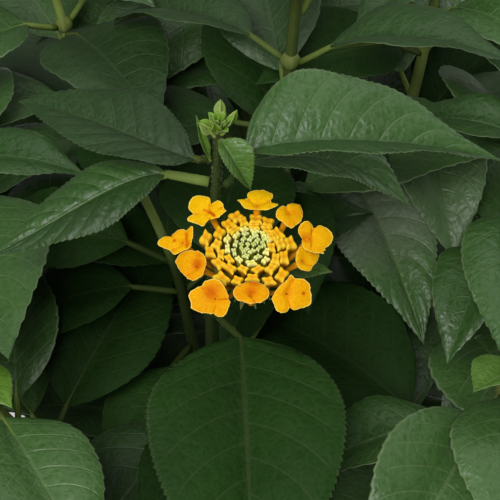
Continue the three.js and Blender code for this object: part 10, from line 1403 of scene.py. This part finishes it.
for hn, (name, h) in enumerate(HEADS.items()):
    pc = Piece("flower_" + name)
    n, c, s = unit(h["n"]), np.array(h["c"], float), h["s"]
    e1 = unit(np.cross([0, 1.0, 0.1], n))
    e2 = np.cross(n, e1)
    rr = np.random.RandomState(h["seed"])
    path = catmull([*h["ped"], list(c - n * 8.3 * s)], np.linspace(0, 1, 26))
    tube(pc, path, np.full(26, 0.88), 10, 5, np.array([0.0, 0.35, 0.0]), 0.08)
    hairs(pc, path, np.full(26, 0.88), 120, h["seed"], 0.5, 0.035, 7)
    prof = s * np.array([[0.9, -9.3], [2.4, -8.6], [3.2, -7.8], [5.6, -5.0], [7.6, -3.2], [7.2, -2.3], [4.5, -1.2], [1.6, -0.6]])
    th = np.linspace(0, 2 * np.pi, 40, endpoint=False)
    er = np.cos(th)[:, None] * e1 + np.sin(th)[:, None] * e2
    co = c + prof[:, :1, None] * er[None] + n * prof[:, 1][:, None, None]
    pc.rings(co, 4)
    for i in range(14):
        q = 2 * np.pi * (i + rr.uniform(-0.2, 0.2)) / 14
        d, sd = math.cos(q) * e1 + math.sin(q) * e2, -math.sin(q) * e1 + math.cos(q) * e2
        u = np.linspace(0, 1, 7)
        ln = rr.uniform(3.5, 5.5) * s
        p = c - n * (8.7 * s) + d * (1.4 * s + ln * u)[:, None] - n * (0.9 * u**1.5)[:, None]
        w = 0.6 * s * np.sin(np.pi * np.clip(u * 0.92 + 0.1, 0, 1)) ** 0.8 + 0.03
        x = np.linspace(-1, 1, 5)
        top = p[:, None] + sd * (w[:, None] * x)[..., None] + n * (0.25 * np.abs(x) * w[:, None] + 0.06)[..., None]
        pc.rings(np.concatenate([top, (top - n * 0.12)[:, ::-1]], 1), 6)
    for i, fl in enumerate(h["fl"]):
        floret(pc, fl[0], fl[1], fl[2], round_limb(fl[3] * 1.12, fl[4], h["seed"] * 31 + i), h["seed"] * 7 + i, float(rr.uniform(0.1, 0.9)), 40, throat=float(rr.uniform(0.2, 0.9)), rings=4)
    nb = 46 if h["kind"] != "full" else 34
    lim = (9.6 if h["kind"] != "full" else 7.2) * s
    for i in range(nb):
        rad = lim * math.sqrt((i + 0.5) / nb)
        q = i * 2.39996 + h["seed"]
        d, sd = math.cos(q) * e1 + math.sin(q) * e2, -math.sin(q) * e1 + math.cos(q) * e2
        x = rad / lim
        hz = 1.7 * s * (1 - x * x) - 0.4 * s
        cc = c + d * rad + n * hz
        ax = unit(n + d * 0.75 * x)
        t1 = unit(np.cross(sd, ax)) * -1
        half = lim * math.sqrt(math.pi / nb) * 0.5 * (0.92 + 0.16 * x)
        o1 = unit(t1 - ax * (t1 @ ax))
        quad = [cc + half * (o1 * ca + sd * cb) for ca, cb in ((1.25, 0), (0, 1.12), (-1.25, 0), (0, -1.12))]
        mat = 1 if x > 0.66 else 2 if x > 0.5 else 3
        bud(pc, cc, ax, quad, c - n * 7.6 * s + d * 2.0 * x * s, mat, float(rr.uniform(0.1, 0.9)), rr.randint(1000), 5, neck=0.45 * s)
    pc.build(HEAD_MATS, "flower_head", name)

# ---------------------------------------------------------------- pot
pc = Piece("clay_pot")
key = [
    (6.5, 0.0), (6.5, 0.0), (20, 0.0), (40, 0.0), (48.8, 0.0), (50.4, 0.35), (51.0, 1.4), (51.6, 5), (56.6, 42), (61.6, 77), (65.9, 106.6), (66.3, 108.4),
    (67.2, 109.3), (69.8, 109.5), (70.8, 109.8), (71.25, 110.8), (71.5, 114), (72.2, 123), (72.45, 126.2), (72.1, 127.4), (71.2, 127.95), (69, 128.0), (67.2, 127.95), (66.3, 127.5), (66.0, 126.4),
    (65.3, 119), (64.5, 111.5), (63.9, 106), (60.0, 77), (53.4, 42), (47.0, 11.5), (46.2, 8.8), (44.6, 8.0), (30, 8.0), (12, 8.0), (7.4, 8.0), (6.6, 7.2), (6.5, 4.0), (6.5, 0.4),
]
prof = []
for (r0, z0), (r1, z1) in zip(key[1:-1], key[2:]):
    k = max(1, int(math.hypot(r1 - r0, z1 - z0) / 4.5))
    prof += [(r0 + (r1 - r0) * j / k, z0 + (z1 - z0) * j / k) for j in range(k)]
prof.append(key[-1])
prof = np.array(prof)
th = np.linspace(0, 2 * np.pi, 144, endpoint=False)
r = np.repeat(prof[:, :1], len(th), 1)
z = np.repeat(prof[:, 1:], len(th), 1)
co = np.stack([r * np.cos(th), r * np.sin(th), z], -1)
amp = smooth(2.0, 8.0, z) * (1 - smooth(127.0, 128.0, z)) * smooth(30, 45, r)
r = r + amp * (0.10 * NZ[3](co, 14.0) + 0.07 * np.sin(z * 1.35 + 0.4 * NZ[4](co, 30.0)) - 0.12)
co = np.stack([r * np.cos(th), r * np.sin(th), z], -1)
inside = (np.arange(len(prof)) > np.argmax(prof[:, 1]) + 2).astype(float)
B = np.zeros((*co.shape[:2], 3))
B[..., 0] = inside[:, None]
pc.rings(np.concatenate([co, co[:1]]), 0, None, np.concatenate([B, B[:1]]).reshape(-1, 3), ends=(False, False))
pc.build([CLAY], "terracotta", "pot")

# ---------------------------------------------------------------- soil
pc = Piece("potting_mix")


def soil_z(x, y):
    p = np.stack([x, y, 0 * x], -1)
    r = np.hypot(x, y)
    return 111.3 + 0.9 * NZ[5](p, 16.0) + 0.55 * NZ[6](p, 5.0) + 0.35 * NZ[7](p, 2.0) - 1.3 * smooth(50, 62.4, r) + 0.8 * np.exp(-((r / 13) ** 2))


nr = 66
rad = 62.6 * (np.arange(nr)[::-1] / (nr - 1)) ** 0.85
rad[-1] = 0.25
th = np.linspace(0, 2 * np.pi, 140, endpoint=False)
x, y = rad[:, None] * np.cos(th), rad[:, None] * np.sin(th)
top = np.stack([x, y, soil_z(x, y)], -1)
low = np.array([[12.0, 8.5], [44.4, 8.5], [45.4, 9.5], [52.0, 42.0], [58.7, 77.0], [61.6, 100.0]])
side = np.stack([low[:, :1] * np.cos(th), low[:, :1] * np.sin(th), low[:, 1:] + 0 * th], -1)
pc.rings(np.concatenate([side, top]), 0)
rc = np.random.RandomState(21)


def lump(cx, cy, size, mat, kind):
    """Irregular fragment lying on the soil."""
    nu, nv = (7, 8) if kind else (6, 7)
    a = np.linspace(0.16, np.pi - 0.16, nu)[:, None]
    b = np.linspace(0, 2 * np.pi, nv, endpoint=False)[None]
    q = np.stack([np.sin(a) * np.cos(b), np.sin(a) * np.sin(b), np.cos(a) + 0 * b], -1)
    if kind == 1:
        q = np.sign(q) * np.abs(q) ** 0.55 * np.array([1.0, rc.uniform(0.35, 0.7), rc.uniform(0.22, 0.4)])
    elif kind == 2:
        q = q * np.array([1.0, 0.10, 0.09])
    q = q * (1 + 0.20 * rc.uniform(-1, 1, q.shape))
    rot = rc.uniform(0, 6.28)
    cs, sn = math.cos(rot), math.sin(rot)
    q = q @ np.array([[cs, sn, 0], [-sn, cs, 0], [0, 0, 1]])
    t1, t2 = rc.uniform(-0.4, 0.4, 2)
    q[..., 2] += q[..., 0] * t1 + q[..., 1] * t2
    q = q * size
    zz = float(soil_z(np.array(cx), np.array(cy)))
    q = q + np.array([cx, cy, zz + (0.22 if kind == 1 else 0.35 if kind == 0 else 0.05) * size])
    lim = np.hypot(q[..., 0], q[..., 1]).max()
    if lim > 63.2 or q[..., 2].max() > 116.5:
        return
    pc.rings(q, mat, np.broadcast_to([0, 0, rc.uniform(0, 1)], q.shape).reshape(-1, 3))


for i in range(520):
    rr_, q_ = 61.5 * math.sqrt(rc.uniform(0.0, 1)), rc.uniform(0, 6.28)
    if rr_ < 7.5:
        continue
    k = i % 10
    if k < 5:
        lump(rr_ * math.cos(q_), rr_ * math.sin(q_), rc.uniform(1.0, 3.4) * (1.4 if k == 0 else 1), 1, 1)
    elif k < 8:
        lump(rr_ * math.cos(q_), rr_ * math.sin(q_), rc.uniform(0.5, 1.5), 2 if k == 5 else 0, 0)
    else:
        lump(rr_ * math.cos(q_), rr_ * math.sin(q_), rc.uniform(2.0, 5.5), 1, 2)
pc.build([SOIL, CHIP, PERLITE], "soil", "potting_soil")

# ---------------------------------------------------------------- stage, light and camera
me = bpy.data.meshes.new("floor")
me.from_pydata([(-4, -4, 0), (4, -4, 0), (4, 4, 0), (-4, 4, 0)], [], [(0, 1, 2, 3)])
floor = bpy.data.objects.new("floor", me)
bpy.context.scene.collection.objects.link(floor)
fm = Mat("floor_paint")
fn = fm.noise(fm.pos(), 3.0, 2.0)
me.materials.append(fm.finish(fm.mix(fn, (0.66, 0.65, 0.63), (0.70, 0.69, 0.67)), 0.85, None, spec=0.2))

world = bpy.data.worlds.new("studio")
bpy.context.scene.world = world
world.use_nodes = True
world.node_tree.nodes["Background"].inputs[0].default_value = (0.88, 0.90, 0.90, 1)
world.node_tree.nodes["Background"].inputs[1].default_value = 0.21


def area(name, loc, target, size, power, color=(1, 1, 1)):
    li = bpy.data.lights.new(name, "AREA")
    li.shape = "RECTANGLE"
    li.size, li.size_y = size
    li.energy = power
    li.color = color
    o = bpy.data.objects.new(name, li)
    o.location = loc
    d = np.array(target, float) - np.array(loc, float)
    o.rotation_euler = Vector(d).to_track_quat("-Z", "Y").to_euler()
    bpy.context.scene.collection.objects.link(o)


area("softbox_key", (-0.30, -0.80, 1.25), (0, -0.02, 0.28), (0.7, 0.7), 19.0, (1.0, 0.99, 0.97))
area("softbox_top", (0.20, 0.45, 1.25), (0, 0, 0.24), (0.8, 0.8), 3.2, (1.0, 1.0, 0.99))
area("softbox_side", (1.2, 0.5, 0.7), (0, 0, 0.22), (0.9, 0.9), 4.0, (0.97, 0.99, 1.0))

cam = bpy.data.cameras.new("camera")
cam.lens = 120.0
cam.sensor_width = 36.0
cam.clip_start = 0.005
cam.clip_end = 50
co = bpy.data.objects.new("camera", cam)
bpy.context.scene.collection.objects.link(co)
el = math.radians(46.0)
fw = np.array([0, math.cos(el), -math.sin(el)])
co.location = np.array([0, -0.060, 0.300]) - fw * 0.350
co.rotation_euler = (math.pi / 2 - el, 0, 0)
bpy.context.scene.camera = co
bpy.context.scene.view_settings.view_transform = "Standard"
bpy.context.scene.view_settings.look = "None"
